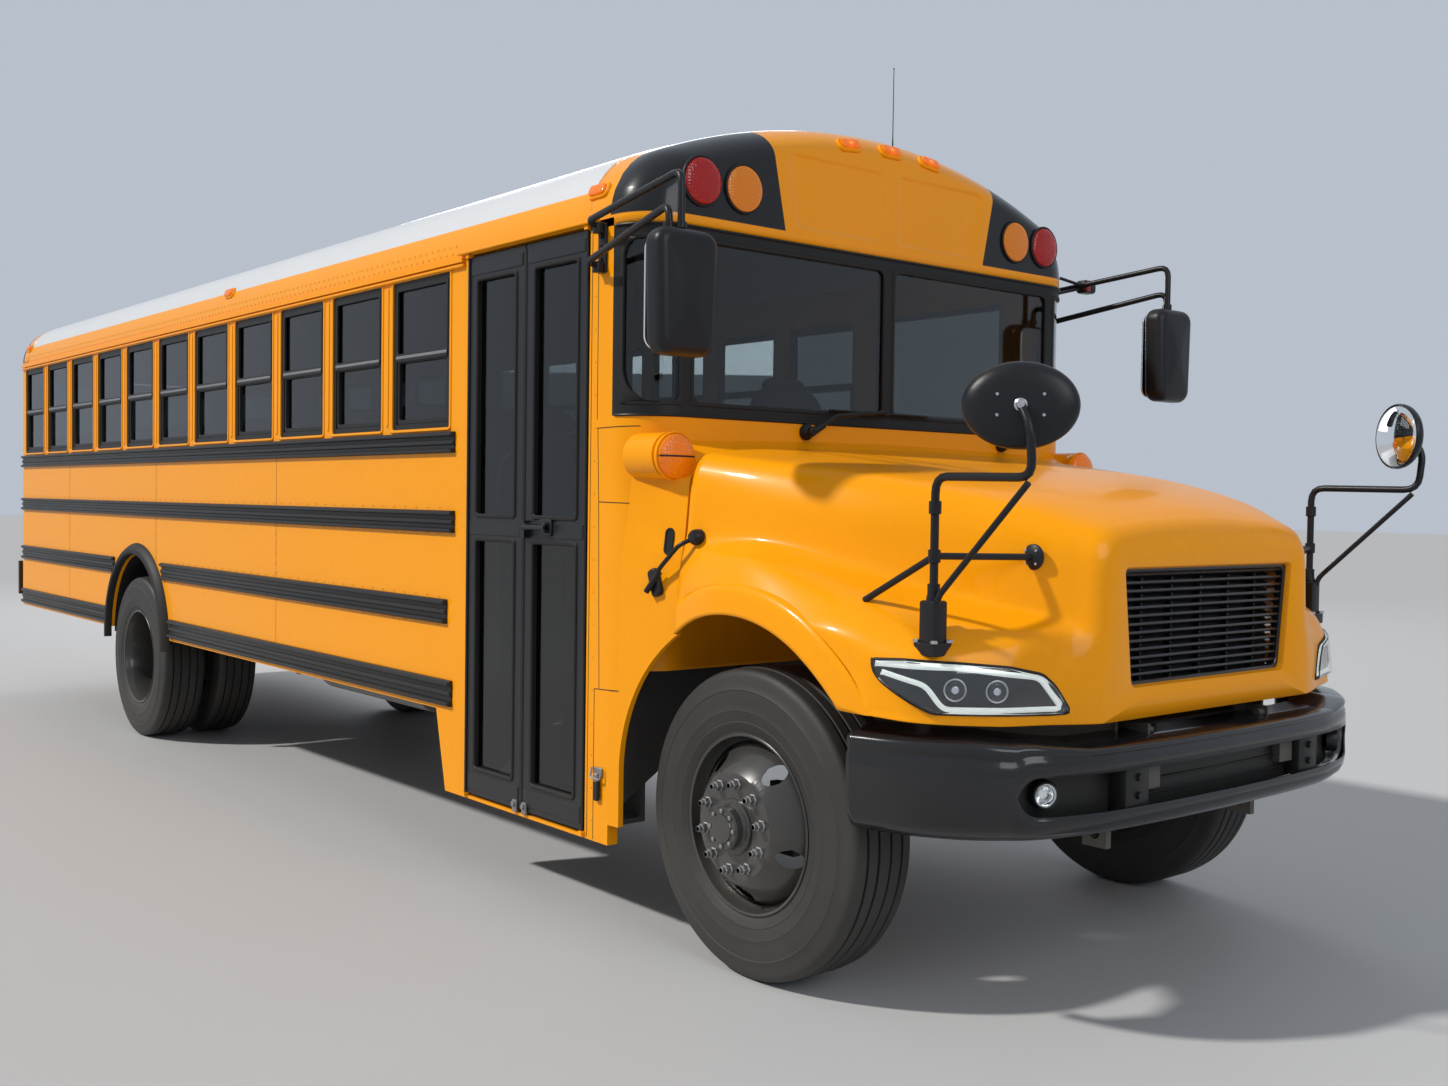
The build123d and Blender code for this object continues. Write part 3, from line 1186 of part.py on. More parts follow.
def make_stop_arm():
    """An octagonal sign on two fingers and a hinge pin, folded against the wall by the driver's window."""
    x = HALF + STOP_OUT
    with BuildPart() as arm:
        with BuildSketch(Plane.YZ.offset(x)):
            with Locations((y_at(STOP_MIDDLE), STOP_Z)):
                RegularPolygon(STOP_HALF, 8, major_radius=False, rotation=22.5)
            for z in (STOP_Z - 80, STOP_Z + 40):
                rectangle_between((y_at(STOP_HINGE), z), (y_at(STOP_HINGE + 130), z + 40))
        extrude(amount=12)
        with Locations((x + 6, y_at(STOP_HINGE), STOP_Z)):
            Cylinder(12, 200)
    save(arm, "stop_arm")
    ears = (HALF + SEAT_GAP, HALF + STOP_OUT + 20)
    with BuildPart() as mount:
        block(ears, (STOP_HINGE - 40, STOP_HINGE + 30), (STOP_Z - 140, STOP_Z - 100 - SEAT_GAP))
        block(ears, (STOP_HINGE - 40, STOP_HINGE + 30), (STOP_Z + 100 + SEAT_GAP, STOP_Z + 140))
        block((HALF + SEAT_GAP, HALF + 20), (STOP_HINGE - 70, STOP_HINGE + 30), (STOP_Z - 140, STOP_Z + 140))
    save(mount, "stop_arm_mount")


def make_antenna():
    """A rod on a round base that stands square to the roof's crown."""
    centre_x, rise = HALF - ROOF_CORNER, ROOF_TOP - EAVE_Z
    crown = (centre_x**2 + rise**2 - ROOF_CORNER**2) / (2 * (rise - ROOF_CORNER))
    normal = (ANTENNA_X / crown, 0, sqrt(1 - (ANTENNA_X / crown) ** 2))
    out = crown + SEAT_GAP
    foot = (out * normal[0], y_at(ANTENNA_Y), ROOF_TOP - crown + out * normal[2])
    with BuildPart() as antenna:
        with Locations(Plane(origin=foot, z_dir=normal)):
            with Locations((0, 0, ANTENNA_BASE_R / 2)):
                Cylinder(ANTENNA_BASE_R, ANTENNA_BASE_R)
        with Locations((foot[0], foot[1], foot[2] + 10 + ANTENNA_LENGTH / 2)):
            Cylinder(ANTENNA_ROD_R, ANTENNA_LENGTH)
    save(antenna, "antenna")


def make_mirrors():
    x, aft, z = SIDE_MIRROR
    width, depth, height = SIDE_MIRROR_SIZE
    arm_foot, arm_knee = HALF + 10, HALF + 70
    arm_y = sum(ARM_BRACKET[0]) / 2
    neck = z + height / 2 - 10
    with BuildPart() as side_mirrors:
        for side in (-1, 1):
            with BuildSketch(Plane.XY.offset(z - height / 2)):
                with Locations((side * x, y_at(aft))):
                    RectangleRounded(width, depth, 40)
            extrude(amount=height)
            block((side * (HALF + SEAT_GAP), side * (HALF + 12)), *ARM_BRACKET)
            for (foot_z, knee_z, head_z), shift in ((UPPER_ARM_Z, 0), (LOWER_ARM_Z, 1)):
                head = (side * (x + 30 * shift), aft + 25 * shift)
                tube(((side * arm_foot, arm_y, foot_z), (side * arm_knee, arm_y, knee_z), (*head, head_z),
                      (*head, neck)), TUBE_R)
    save(side_mirrors, "side_mirrors")
    make_crossover_mirrors()


def make_crossover_mirrors():
    foot_x, foot_y = CROSS_FOOT
    head_x, head_z = CROSS_MIRROR
    wide, tall, deep = [size / 2 for size in CROSS_MIRROR_SIZE]
    rim = CROSS_MIRROR_RIM
    turn_x, turn_y = sin(radians(CROSS_MIRROR_TURN)), cos(radians(CROSS_MIRROR_TURN))
    head_y = -FRONT_REACH + wide * turn_x + rim * turn_y
    stud_x, stud_y = head_x + turn_x * (deep - 5), head_y - turn_y * (deep - 5)
    with BuildPart() as skin:
        hood_form()
    with BuildPart() as cross:
        for side in (-1, 1):
            block((side * (foot_x - 50), side * (foot_x + 50)), (foot_y - 45, foot_y + 45), (1150, 1178))
            block((side * (foot_x - 36), side * (foot_x + 36)), (foot_y - 36, foot_y + 36), (1170, 1300))
            tube(((side * foot_x, foot_y, CROSS_STRUT_Z), (side * 650, -810, CROSS_STRUT_Z)), STRUT_R)
        add(skin.part, mode=Mode.SUBTRACT)
        for side in (-1, 1):
            back = Plane(origin=(side * head_x, y_at(head_y), head_z), x_dir=(side * turn_y, turn_x, 0),
                         z_dir=(side * turn_x, -turn_y, 0))
            for low, high, share in ((-rim, rim, 1), (rim, deep, 0.75), (-rim, -deep, 0.75)):
                rows = []
                for offset_out, scale in ((low, 1), (high, share)):
                    with BuildSketch(back.offset(offset_out)) as oval:
                        Ellipse(wide * scale, tall * scale)
                    rows.append(oval.sketch)
                loft(rows, ruled=True)
            tube(((side * foot_x, foot_y, 1290), (side * foot_x, foot_y, 1660), (side * 1115, -1130, 1655),
                  (side * 1135, -1135, 1790), (side * stud_x, stud_y, head_z)), TUBE_R)
            tube(((side * foot_x, foot_y, 1285), (side * 1108, -1110, 1652)), STRUT_R)
            with Locations((side * foot_x, y_at(foot_y), CROSS_STRUT_Z)):
                Cylinder(TUBE_R + 6, 40)
    save(cross, "crossover_mirrors")


make_caps_and_roof()
for side, name in ((-1, "side_wall_right"), (1, "side_wall_left")):
    make_side_wall(side, name)
make_windows()
make_windscreen()
make_door_leaves()
make_hood()
make_grille()
make_cowl()
make_rear_wall()
make_rear_door()
make_floor()
make_rub_rails()
make_rear_fenders()
make_chassis()
make_bumpers()
make_wheels()
make_steering()
make_rear_axle()
make_underbody()
make_seats()
make_controls()
make_lamps()
make_stop_arm()
make_antenna()
make_mirrors()
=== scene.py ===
# %% [markdown]
# A conventional school bus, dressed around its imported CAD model.
# The frame comes first: each CAD node is already in its place, in metres, and each new piece is worked out from
# the same sizes. The front of the bus faces -Y, its right side is -X and Z is up.
# %% Load the frame
import json
from functools import partial
from math import radians

import bmesh
import bpy
import numpy as np
from mathutils import Euler, Matrix, Vector


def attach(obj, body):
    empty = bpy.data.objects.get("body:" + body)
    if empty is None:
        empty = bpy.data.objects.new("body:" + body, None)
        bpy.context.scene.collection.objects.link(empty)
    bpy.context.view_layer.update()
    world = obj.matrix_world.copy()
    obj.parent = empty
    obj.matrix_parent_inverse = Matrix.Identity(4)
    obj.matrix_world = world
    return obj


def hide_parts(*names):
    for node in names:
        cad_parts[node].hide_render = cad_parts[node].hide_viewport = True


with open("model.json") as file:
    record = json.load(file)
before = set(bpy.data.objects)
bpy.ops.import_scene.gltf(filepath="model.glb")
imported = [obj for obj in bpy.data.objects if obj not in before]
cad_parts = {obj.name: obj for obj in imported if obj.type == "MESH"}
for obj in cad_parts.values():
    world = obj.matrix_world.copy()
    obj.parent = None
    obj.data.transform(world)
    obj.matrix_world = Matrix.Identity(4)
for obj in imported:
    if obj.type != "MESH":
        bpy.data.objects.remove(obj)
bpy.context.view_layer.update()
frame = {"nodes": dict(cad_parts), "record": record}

# %% [markdown]
# Every place along the bus is measured aft from the front axle, as a body builder does. These few sizes are the
# ones that the pieces share.
# %% Sizes shared by the pieces, in metres
AXLE = -3.965
WHEELBASE = 5.994
HALF = 1.219
FACE = 0.485
CORNER = 0.19
EAVE = 2.59
CAP_REAR = 9.03
TYRE_R = 0.516
WINDOW_FRONT, WINDOW_PITCH, WINDOW_WIDTH, WINDOWS = 1.869, 0.636, 0.525, 11
SILL, HEAD = 1.876, 2.533
RIGHT, LEFT = -1, 1


def aft(y):
    """The Y of a place given as metres aft of the front axle."""
    return AXLE + np.asarray(y, float)


# %% [markdown]
# A surface is a grid of points: rows along one parameter and columns along the other. The faces of such a grid are
# worked out once, as whole arrays, and a shape is a pair: its points, and a list of arrays of faces.
# %% Grids of points and their faces
def grid_faces(rows, columns, wrap_rows=False, wrap_columns=False):
    """Each quad joins a point to the next in its row and in its column; wrapping joins the last back to the first."""
    i, j = np.meshgrid(np.arange(rows if wrap_rows else rows - 1),
                       np.arange(columns if wrap_columns else columns - 1), indexing="ij")
    k, m = (i + 1) % rows, (j + 1) % columns
    return np.stack([i * columns + j, k * columns + j, k * columns + m, i * columns + m], -1).reshape(-1, 4)


def patch(points, wrap_rows=False, wrap_columns=False, flip=False):
    """A shape from a grid of points with shape (rows, columns, 3)."""
    rows, columns = points.shape[:2]
    faces = grid_faces(rows, columns, wrap_rows, wrap_columns)
    return points.reshape(-1, 3), [faces[:, ::-1] if flip else faces]


def grid(x, y, z):
    """Points from three arrays of coordinates, each stretched to the shape that they share."""
    return np.stack(np.broadcast_arrays(x, y, z), -1)


def unit(vectors):
    """Each vector at length one."""
    return vectors / np.linalg.norm(vectors, axis=-1, keepdims=True)


def to_right(ways):
    """Flat directions turned a quarter to the right."""
    return np.stack([ways[..., 1], -ways[..., 0]], -1)


def merge(*shapes):
    """Several shapes as one, each one's faces counted on from the points before it."""
    points, faces, count = [], [], 0
    for verts, groups in shapes:
        points.append(verts)
        faces += [g + count for g in groups]
        count += len(verts)
    return np.concatenate(points), faces


def mirrored(shape):
    """The shape on the other side of the bus: x changes sign and each face runs the other way round."""
    verts, groups = shape
    return verts * np.array([-1.0, 1.0, 1.0]), [g[:, ::-1] for g in groups]


def both(shape):
    """A shape and its mirror image."""
    return merge(shape, mirrored(shape))


def distances(route):
    """How far along a route each of its points is."""
    return np.concatenate([[0], np.cumsum(np.linalg.norm(np.diff(route, axis=0), axis=1))])


def placed(shape, origin, u=(1, 0, 0), v=(0, 1, 0), w=(0, 0, 1)):
    """A shape drawn on its own axes, carried to an origin with its axes laid along u, v and w."""
    verts, groups = shape
    axes = np.array([u, v, w], float)
    moved = verts @ axes + np.asarray(origin, float)
    return moved, groups if np.linalg.det(axes) > 0 else [g[:, ::-1] for g in groups]


def repeated(shape, offsets):
    """One copy of the shape at each offset, all worked out at once by adding every offset to every point."""
    verts, groups = shape
    offsets = np.asarray(offsets, float)
    points = (verts[None] + offsets[:, None]).reshape(-1, 3)
    steps = (np.arange(len(offsets)) * len(verts))[:, None, None]
    return points, [(g[None] + steps).reshape(-1, g.shape[1]) for g in groups]


def copies(shape, places, **axes):
    """The shape at several places, laid along the same axes at each."""
    return merge(*[placed(shape, at, **axes) for at in places])


# A shape is often drawn flat, as (across, up, outwards). These are its axes for each side that it may face.
OUT_FRONT = dict(u=(1, 0, 0), v=(0, 0, 1), w=(0, -1, 0))
OUT_REAR = dict(u=(-1, 0, 0), v=(0, 0, 1), w=(0, 1, 0))
OUT_LEFT = dict(u=(0, 1, 0), v=(0, 0, 1), w=(1, 0, 0))
OUT_RIGHT = dict(u=(0, 1, 0), v=(0, 0, 1), w=(-1, 0, 0))

# %% [markdown]
# Most parts of a vehicle are one of four forms: a profile turned about an axis, a round bar bent along a route, a
# flat outline given a thickness with broken edges, or a free surface that flows through a few sections.
# %% Turned, bent, cut and flowing forms
def turned(profile, segments=48, closed=False):
    """A profile of (radius, height) points turned about Z: x = r cos a, y = r sin a, z = height."""
    r, h = np.asarray(profile, float).T
    a = np.linspace(0, 2 * np.pi, segments, endpoint=False)
    return patch(grid(np.outer(np.cos(a), r), np.outer(np.sin(a), r), h), wrap_rows=True, wrap_columns=closed)


def eased(points, reach=0.05, steps=5):
    """A route whose corners are replaced by parabolas from reach before each corner to reach after it."""
    p = np.asarray(points, float)
    if len(p) < 3:
        return p
    before, corner, after = p[:-2], p[1:-1], p[2:]
    way_in = corner - before
    way_out = after - corner
    long_in = np.linalg.norm(way_in, axis=1, keepdims=True)
    long_out = np.linalg.norm(way_out, axis=1, keepdims=True)
    size = np.minimum(np.minimum(long_in, long_out) * 0.45, reach)
    start = corner - way_in / long_in * size
    end = corner + way_out / long_out * size
    t = np.linspace(0, 1, steps)[:, None, None]
    arcs = (1 - t) ** 2 * start + 2 * t * (1 - t) * corner + t ** 2 * end
    return np.concatenate([p[:1], arcs.transpose(1, 0, 2).reshape(-1, p.shape[1]), p[-1:]])


def bar(points, radius, reach=0.05, sides=14):
    """A round bar along an eased route: at each point a circle across the route, and its ends drawn to a point.
    The circles are turned about the direction in which the route spreads least, so they never flip."""
    route = eased(points, reach)
    along = unit(np.gradient(route, axis=0))
    side = unit(np.cross(along, np.linalg.svd(route - route.mean(0))[2][-1]))
    other = np.cross(side, along)
    a = np.linspace(0, 2 * np.pi, sides, endpoint=False)
    ring = np.cos(a)[None, :, None] * side[:, None] + np.sin(a)[None, :, None] * other[:, None]
    tube = route[:, None] + ring * radius
    ends = [np.broadcast_to(route[k], (1, sides, 3)) for k in (0, -1)]
    return patch(np.concatenate([ends[0], tube, ends[1]]), wrap_columns=True, flip=True)


def inset(loop, amount):
    """A closed loop of (u, v) points moved inwards by amount, each along the middle of its two edges' normals."""
    edge = np.roll(loop, -1, axis=0) - loop
    edge /= np.maximum(np.linalg.norm(edge, axis=1, keepdims=True), 1e-9)
    normal = np.stack([-edge[:, 1], edge[:, 0]], 1)
    mean = normal + np.roll(normal, 1, axis=0)
    mean /= np.maximum(np.sum(mean * np.roll(normal, 1, axis=0), axis=1, keepdims=True), 0.35)
    return loop + mean * amount


def at_heights(rows):
    """A grid of points from flat outlines, each given with its height."""
    return np.stack([np.column_stack([loop, np.full(len(loop), height)]) for loop, height in rows])


def plate(loop, low, high, edge=0.002):
    """A closed anticlockwise outline given a thickness from low to high, its edges broken by a small chamfer."""
    loop = np.asarray(loop, float)
    small = inset(loop, edge)
    middle = np.broadcast_to(loop.mean(0), loop.shape)
    rows = [(middle, low), (small, low), (loop, low + edge), (loop, high - edge), (small, high), (middle, high)]
    return patch(at_heights(rows), wrap_columns=True, flip=True)


def frame_plate(outer, inner, low, high, edge=0.002):
    """A flat ring between two outlines with as many points each, its four edges chamfered."""
    rows = [(inset(outer, edge), low), (outer, low + edge), (outer, high - edge), (inset(outer, edge), high),
            (inset(inner, -edge), high), (inner, high - edge), (inner, low + edge), (inset(inner, -edge), low)]
    return patch(at_heights(rows), wrap_rows=True, wrap_columns=True, flip=True)


def oblong(width, height, corner, steps=5, centre=(0, 0)):
    """A rectangle's outline with quarter-circle corners, anticlockwise."""
    corner = min(corner, width / 2 - 1e-5, height / 2 - 1e-5)
    a = np.linspace(0, np.pi / 2, steps)
    turns = np.concatenate([a + k * np.pi / 2 for k in range(4)])
    x_sign = np.repeat([1, -1, -1, 1], steps)
    z_sign = np.repeat([1, 1, -1, -1], steps)
    x = x_sign * (width / 2 - corner) + corner * np.cos(turns)
    z = z_sign * (height / 2 - corner) + corner * np.sin(turns)
    return np.stack([x + centre[0], z + centre[1]], 1)


def block(x, y, z, edge=0.003):
    """A box between two places on each axis, y aft of the front axle, with broken edges."""
    low, high = sorted(z)
    loop = oblong(abs(x[1] - x[0]), abs(y[1] - y[0]), edge * 1.5, 3, ((x[0] + x[1]) / 2, aft((y[0] + y[1]) / 2)))
    return plate(loop, low, high, edge)


def flow(knots, rows, at):
    """Values at new places on smooth curves through the rows, with no overshoot: a cubic on each span whose end
    slopes are the harmonic mean of the slopes beside them, and level where the values turn back."""
    knots, rows, at = np.asarray(knots, float), np.asarray(rows, float), np.asarray(at, float)
    shape = (-1,) + (1,) * (rows.ndim - 1)
    step = np.diff(knots).reshape(shape)
    rise = np.diff(rows, axis=0) / step
    product = rise[:-1] * rise[1:]
    total = rise[:-1] + rise[1:]
    inner = np.where(product > 0, 2 * product / np.where(total == 0, 1, total), 0)
    slope = np.concatenate([rise[:1], inner, rise[-1:]])
    k = np.clip(np.searchsorted(knots, at, side="right") - 1, 0, len(knots) - 2)
    t = ((at - knots[k]) / np.diff(knots)[k]).reshape(shape)
    h = step[k]
    return (rows[k] * (1 + 2 * t) * (1 - t) ** 2 + slope[k] * h * t * (1 - t) ** 2
            + rows[k + 1] * t ** 2 * (3 - 2 * t) + slope[k + 1] * h * t ** 2 * (t - 1))


# %% [markdown]
# A finished piece is one mesh. Points that lie together are joined, so that poles and seams are closed, its edges
# sharper than an angle stay crisp, and it rides on the body that carries it.
# %% From a shape to a piece of the bus
PIECES = []


def make_mesh(name, shape):
    """A Blender mesh from a shape, its arrays handed over whole."""
    verts, groups = shape
    mesh = bpy.data.meshes.new(name)
    mesh.vertices.add(len(verts))
    mesh.vertices.foreach_set("co", np.ascontiguousarray(verts, np.float32).ravel())
    corners = np.concatenate([g.ravel() for g in groups])
    sizes = np.concatenate([np.full(len(g), g.shape[1]) for g in groups])
    mesh.loops.add(len(corners))
    mesh.loops.foreach_set("vertex_index", corners.astype(np.int32))
    mesh.polygons.add(len(sizes))
    mesh.polygons.foreach_set("loop_start", (np.cumsum(sizes) - sizes).astype(np.int32))
    mesh.update(calc_edges=True)
    mesh.validate()
    weld = bmesh.new()
    weld.from_mesh(mesh)
    bmesh.ops.remove_doubles(weld, verts=weld.verts, dist=0.00002)
    weld.to_mesh(mesh)
    weld.free()
    return mesh


def piece(name, shape, material, body="bus_body", replaces=(), crisp=35):
    """A piece of the bus: its mesh, its finish, the body it rides on and the CAD nodes that it stands for. Most
    pieces are black fittings on the body itself, so a call names a body only where it is another."""
    mesh = make_mesh(name, shape)
    mesh.materials.append(material)
    mesh.polygons.foreach_set("use_smooth", np.ones(len(mesh.polygons), bool))
    mesh.set_sharp_from_angle(angle=radians(crisp))
    obj = bpy.data.objects.new(name, mesh)
    bpy.context.scene.collection.objects.link(obj)
    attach(obj, body)
    if replaces:
        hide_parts(*replaces)
    PIECES.append((name, len(mesh.polygons)))
    return obj


def walled(obj, thickness, offset=-1, even=False):
    """Gives an open surface a wall with a Solidify modifier: inwards at offset -1, outwards at 1."""
    wall = obj.modifiers.new("wall", "SOLIDIFY")
    wall.thickness = thickness
    wall.offset = offset
    wall.use_even_offset = even
    return obj


# %% [markdown]
# The camera stands ahead of the right front wheel, at eye level. Its place and its turn were solved from known
# points of the body, so that the same points fall on the same pixels.
# %% Camera
CAMERA_AT = (-4.1786, -7.512, 1.5843)
HEADING, PITCH, ROLL = 39.578, -1.738, 0.79
LENS = 35.49
camera_data = bpy.data.cameras.new("camera")
camera_data.lens = LENS
camera_data.sensor_width = 36
camera_data.clip_end = 200
camera = bpy.data.objects.new("camera", camera_data)
bpy.context.scene.collection.objects.link(camera)
turn = Euler((radians(90 + PITCH), 0, radians(-HEADING))).to_matrix() @ Matrix.Rotation(radians(ROLL), 3, "Z")
camera.matrix_world = Matrix.Translation(CAMERA_AT) @ turn.to_4x4()
bpy.context.scene.camera = camera
bpy.context.scene.view_settings.view_transform = "Standard"

# %% [markdown]
# Light comes as in the photograph, from high on the right and a little behind, with weaker fills. The surroundings
# are pale to the eye, in reflections and through glass, and dim as light: the Light Path node tells which kind of
# ray asks.
# %% Floor, surroundings and lamps
def feed(tree, node, sockets):
    """Gives each socket of a node its value, or joins it to another node's output."""
    for socket, value in sockets.items():
        if isinstance(value, bpy.types.NodeSocket):
            tree.links.new(value, node.inputs[socket])
        elif value is not None:
            node.inputs[socket].default_value = value
    return node


def new_node(tree, kind, sockets=None, **settings):
    """A shader node of a kind, with its settings and with what goes into its sockets."""
    node = tree.nodes.new("ShaderNode" + kind)
    for label, value in settings.items():
        setattr(node, label, value)
    return feed(tree, node, sockets or {})


def math_node(tree, operation, first, second=None, clamp=False):
    """A Math node fed by sockets or plain numbers; returns its output."""
    return new_node(tree, "Math", {0: first, 1: second}, operation=operation, use_clamp=clamp).outputs[0]


world = bpy.data.worlds.new("studio")
bpy.context.scene.world = world
world.use_nodes = True
sky = world.node_tree
sky.nodes.clear()
ray = new_node(sky, "LightPath")
in_sight = math_node(sky, "MAXIMUM", ray.outputs["Is Camera Ray"], ray.outputs["Is Glossy Ray"])
in_sight = math_node(sky, "MAXIMUM", in_sight, ray.outputs["Is Transmission Ray"])
as_light = new_node(sky, "Background", {"Color": (0.86, 0.93, 1.0, 1), "Strength": 0.3})
as_seen = new_node(sky, "Background", {"Color": (0.8, 0.88, 1.0, 1), "Strength": 0.6})
either = new_node(sky, "MixShader", {0: in_sight, 1: as_light.outputs[0], 2: as_seen.outputs[0]})
new_node(sky, "OutputWorld", {"Surface": either.outputs[0]})


def lamp(name, kind, place, target, size, energy, colour):
    """A light that faces a point of the bus: a square area light, or a sun with a size in radians."""
    data = bpy.data.lights.new(name, kind)
    data.energy = energy
    data.color = colour
    if kind == "SUN":
        data.angle = size
    else:
        data.shape = "SQUARE"
        data.size = size
    obj = bpy.data.objects.new(name, data)
    obj.location = place
    obj.rotation_euler = (Vector(target) - Vector(place)).to_track_quat("-Z", "Y").to_euler()
    bpy.context.scene.collection.objects.link(obj)


lamp("key", "SUN", (-10.0, 2.6, 11.5), (0, -3.0, 1.2), radians(3), 3.0, (1.0, 0.96, 0.9))
lamp("front_fill", "AREA", (-2.0, -16.0, 8.0), (0, -3.0, 1.4), 7.0, 540, (0.93, 0.96, 1.0))
lamp("rear_fill", "AREA", (9.0, 12.0, 7.0), (0, 1.0, 1.5), 7.0, 700, (0.95, 0.97, 1.0))

FLOOR_REACH = np.array([-90.0, 90.0])
floor_mesh = make_mesh("floor", patch(grid(FLOOR_REACH, FLOOR_REACH[:, None], 0.0), flip=True))
floor = bpy.data.objects.new("floor", floor_mesh)
bpy.context.scene.collection.objects.link(floor)

# %% [markdown]
# Finishes on a bus differ in colour and gloss, but share two things: a film of dust, thicker low down, and a fine
# grain in the surface. Each is a node group with named sockets, placed in every finish with its own values.
# %% Shader groups: dust and surface grain
def new_group(name, inputs, outputs):
    """An empty shader group with sockets of (name, type, default)."""
    group = bpy.data.node_groups.new(name, "ShaderNodeTree")
    for label, kind, value in inputs:
        socket = group.interface.new_socket(label, in_out="INPUT", socket_type="NodeSocket" + kind)
        if value is not None:
            socket.default_value = value
    for label, kind in outputs:
        group.interface.new_socket(label, in_out="OUTPUT", socket_type="NodeSocket" + kind)
    return group, group.nodes.new("NodeGroupInput"), group.nodes.new("NodeGroupOutput")


def mix_colours(tree, factor, first, second):
    """A colour between two colours; each argument is a socket or a value."""
    return new_node(tree, "Mix", {0: factor, 6: first, 7: second}, data_type="RGBA").outputs[2]


def noise(tree, vector, scale, detail=3, roughness=0.5):
    """Soft noise between 0 and 1 on the given coordinates."""
    return new_node(tree, "TexNoise", {"Vector": vector, "Scale": scale, "Detail": detail,
                                       "Roughness": roughness}).outputs["Fac"]


DUST_COLOUR = (0.33, 0.29, 0.23, 1)
DUST_TOP, DUST_LEAST = 1.25, 0.35


def make_dust_group():
    """Dust lies in soft patches, and more of it low down: its share is a noise times a fall with height."""
    group, given, out = new_group(
        "road dust", [("Place", "Vector", None), ("Colour", "Color", (0.5, 0.5, 0.5, 1)),
                      ("Dust", "Float", 0.1), ("Gloss", "Float", 0.3), ("Shade", "Float", 0.06)],
        [("Colour", "Color"), ("Roughness", "Float")])
    place, dust, shade = (given.outputs[label] for label in ("Place", "Dust", "Shade"))
    sums = partial(math_node, group)
    height = new_node(group, "SeparateXYZ", {0: place}).outputs["Z"]
    amount = sums("ADD", DUST_LEAST, sums("SUBTRACT", DUST_TOP, height, clamp=True))
    patches = noise(group, place, 2.3, 6, 0.6)
    fine = noise(group, place, 38, 2)
    share = sums("MULTIPLY", sums("MULTIPLY", patches, dust), amount, clamp=True)
    tone = sums("MULTIPLY", sums("SUBTRACT", fine, 0.5), shade)
    wide = sums("MULTIPLY", sums("SUBTRACT", patches, 0.5), shade)
    toned = new_node(group, "HueSaturation", {"Color": given.outputs["Colour"],
                                              "Value": sums("ADD", 1.0, sums("ADD", tone, wide))})
    dull = sums("MULTIPLY", share, 0.6)
    streak = sums("MULTIPLY", sums("SUBTRACT", patches, 0.5), 0.1)
    rough = sums("ADD", given.outputs["Gloss"], sums("ADD", dull, streak), clamp=True)
    feed(group, out, {"Colour": mix_colours(group, share, toned.outputs[0], DUST_COLOUR), "Roughness": rough})
    return group


def make_grain_group():
    """Grain is fine noise over a slower ripple, so that a surface is neither smooth nor evenly rough."""
    group, given, out = new_group("surface grain", [("Place", "Vector", None), ("Scale", "Float", 300.0),
                                                    ("Ripple", "Float", 0.3)], [("Height", "Float")])
    fine = noise(group, given.outputs["Place"], given.outputs["Scale"], 2)
    slow = noise(group, given.outputs["Place"], 9, 1)
    ripple = math_node(group, "MULTIPLY", slow, given.outputs["Ripple"])
    feed(group, out, {"Height": math_node(group, "ADD", fine, ripple)})
    return group


DUST = make_dust_group()
GRAIN = make_grain_group()

# %% [markdown]
# One function lays out every opaque finish: colour through the dust group, grain through a Bump node, and what is
# the same all over, such as the clear coat, set on the shader itself.
# %% Opaque finishes
def new_material(name):
    """A material with nodes, its tree and the socket of its Object coordinates."""
    material = bpy.data.materials.new(name)
    material.use_nodes = True
    tree = material.node_tree
    return material, tree, new_node(tree, "TexCoord").outputs["Object"]


def finish(name, colour, gloss=0.4, dust=0.15, grain=300.0, bump=0.05, ripple=0.3, metal=0.0, coat=0.0, shade=0.06,
           mask=None, under=None, shine=0.5):
    """A material; mask is a function that gives a socket, and under the colour that shows where the mask is 1."""
    material, tree, place = new_material(name)
    base = (*colour, 1)
    if mask:
        base = mix_colours(tree, mask(tree, place), base, (*under, 1))
    dusty = new_node(tree, "Group", {"Place": place, "Colour": base, "Dust": dust, "Gloss": gloss, "Shade": shade},
                     node_tree=DUST)
    rough = new_node(tree, "Group", {"Place": place, "Scale": grain, "Ripple": ripple}, node_tree=GRAIN)
    bumped = new_node(tree, "Bump", {"Strength": bump, "Distance": 0.002, "Height": rough.outputs["Height"]})
    feed(tree, tree.nodes["Principled BSDF"], {
        "Base Color": dusty.outputs["Colour"], "Roughness": dusty.outputs["Roughness"], "Normal": bumped.outputs[0],
        "Metallic": metal, "Specular IOR Level": shine, "Coat Weight": coat, "Coat Roughness": 0.06})
    return material


def above(height, softness=0.004):
    """A mask that is 0 below a height and 1 above it."""
    def mask(tree, place):
        z = new_node(tree, "SeparateXYZ", {0: place}).outputs["Z"]
        return math_node(tree, "DIVIDE", math_node(tree, "SUBTRACT", z, height), softness, clamp=True)
    return mask


BLACK_PANEL_SILL, BLACK_PANEL_FOOT, BLACK_PANEL_LEAN, BLACK_PANEL_REAR = 2.598, 0.563, 0.214, 0.215


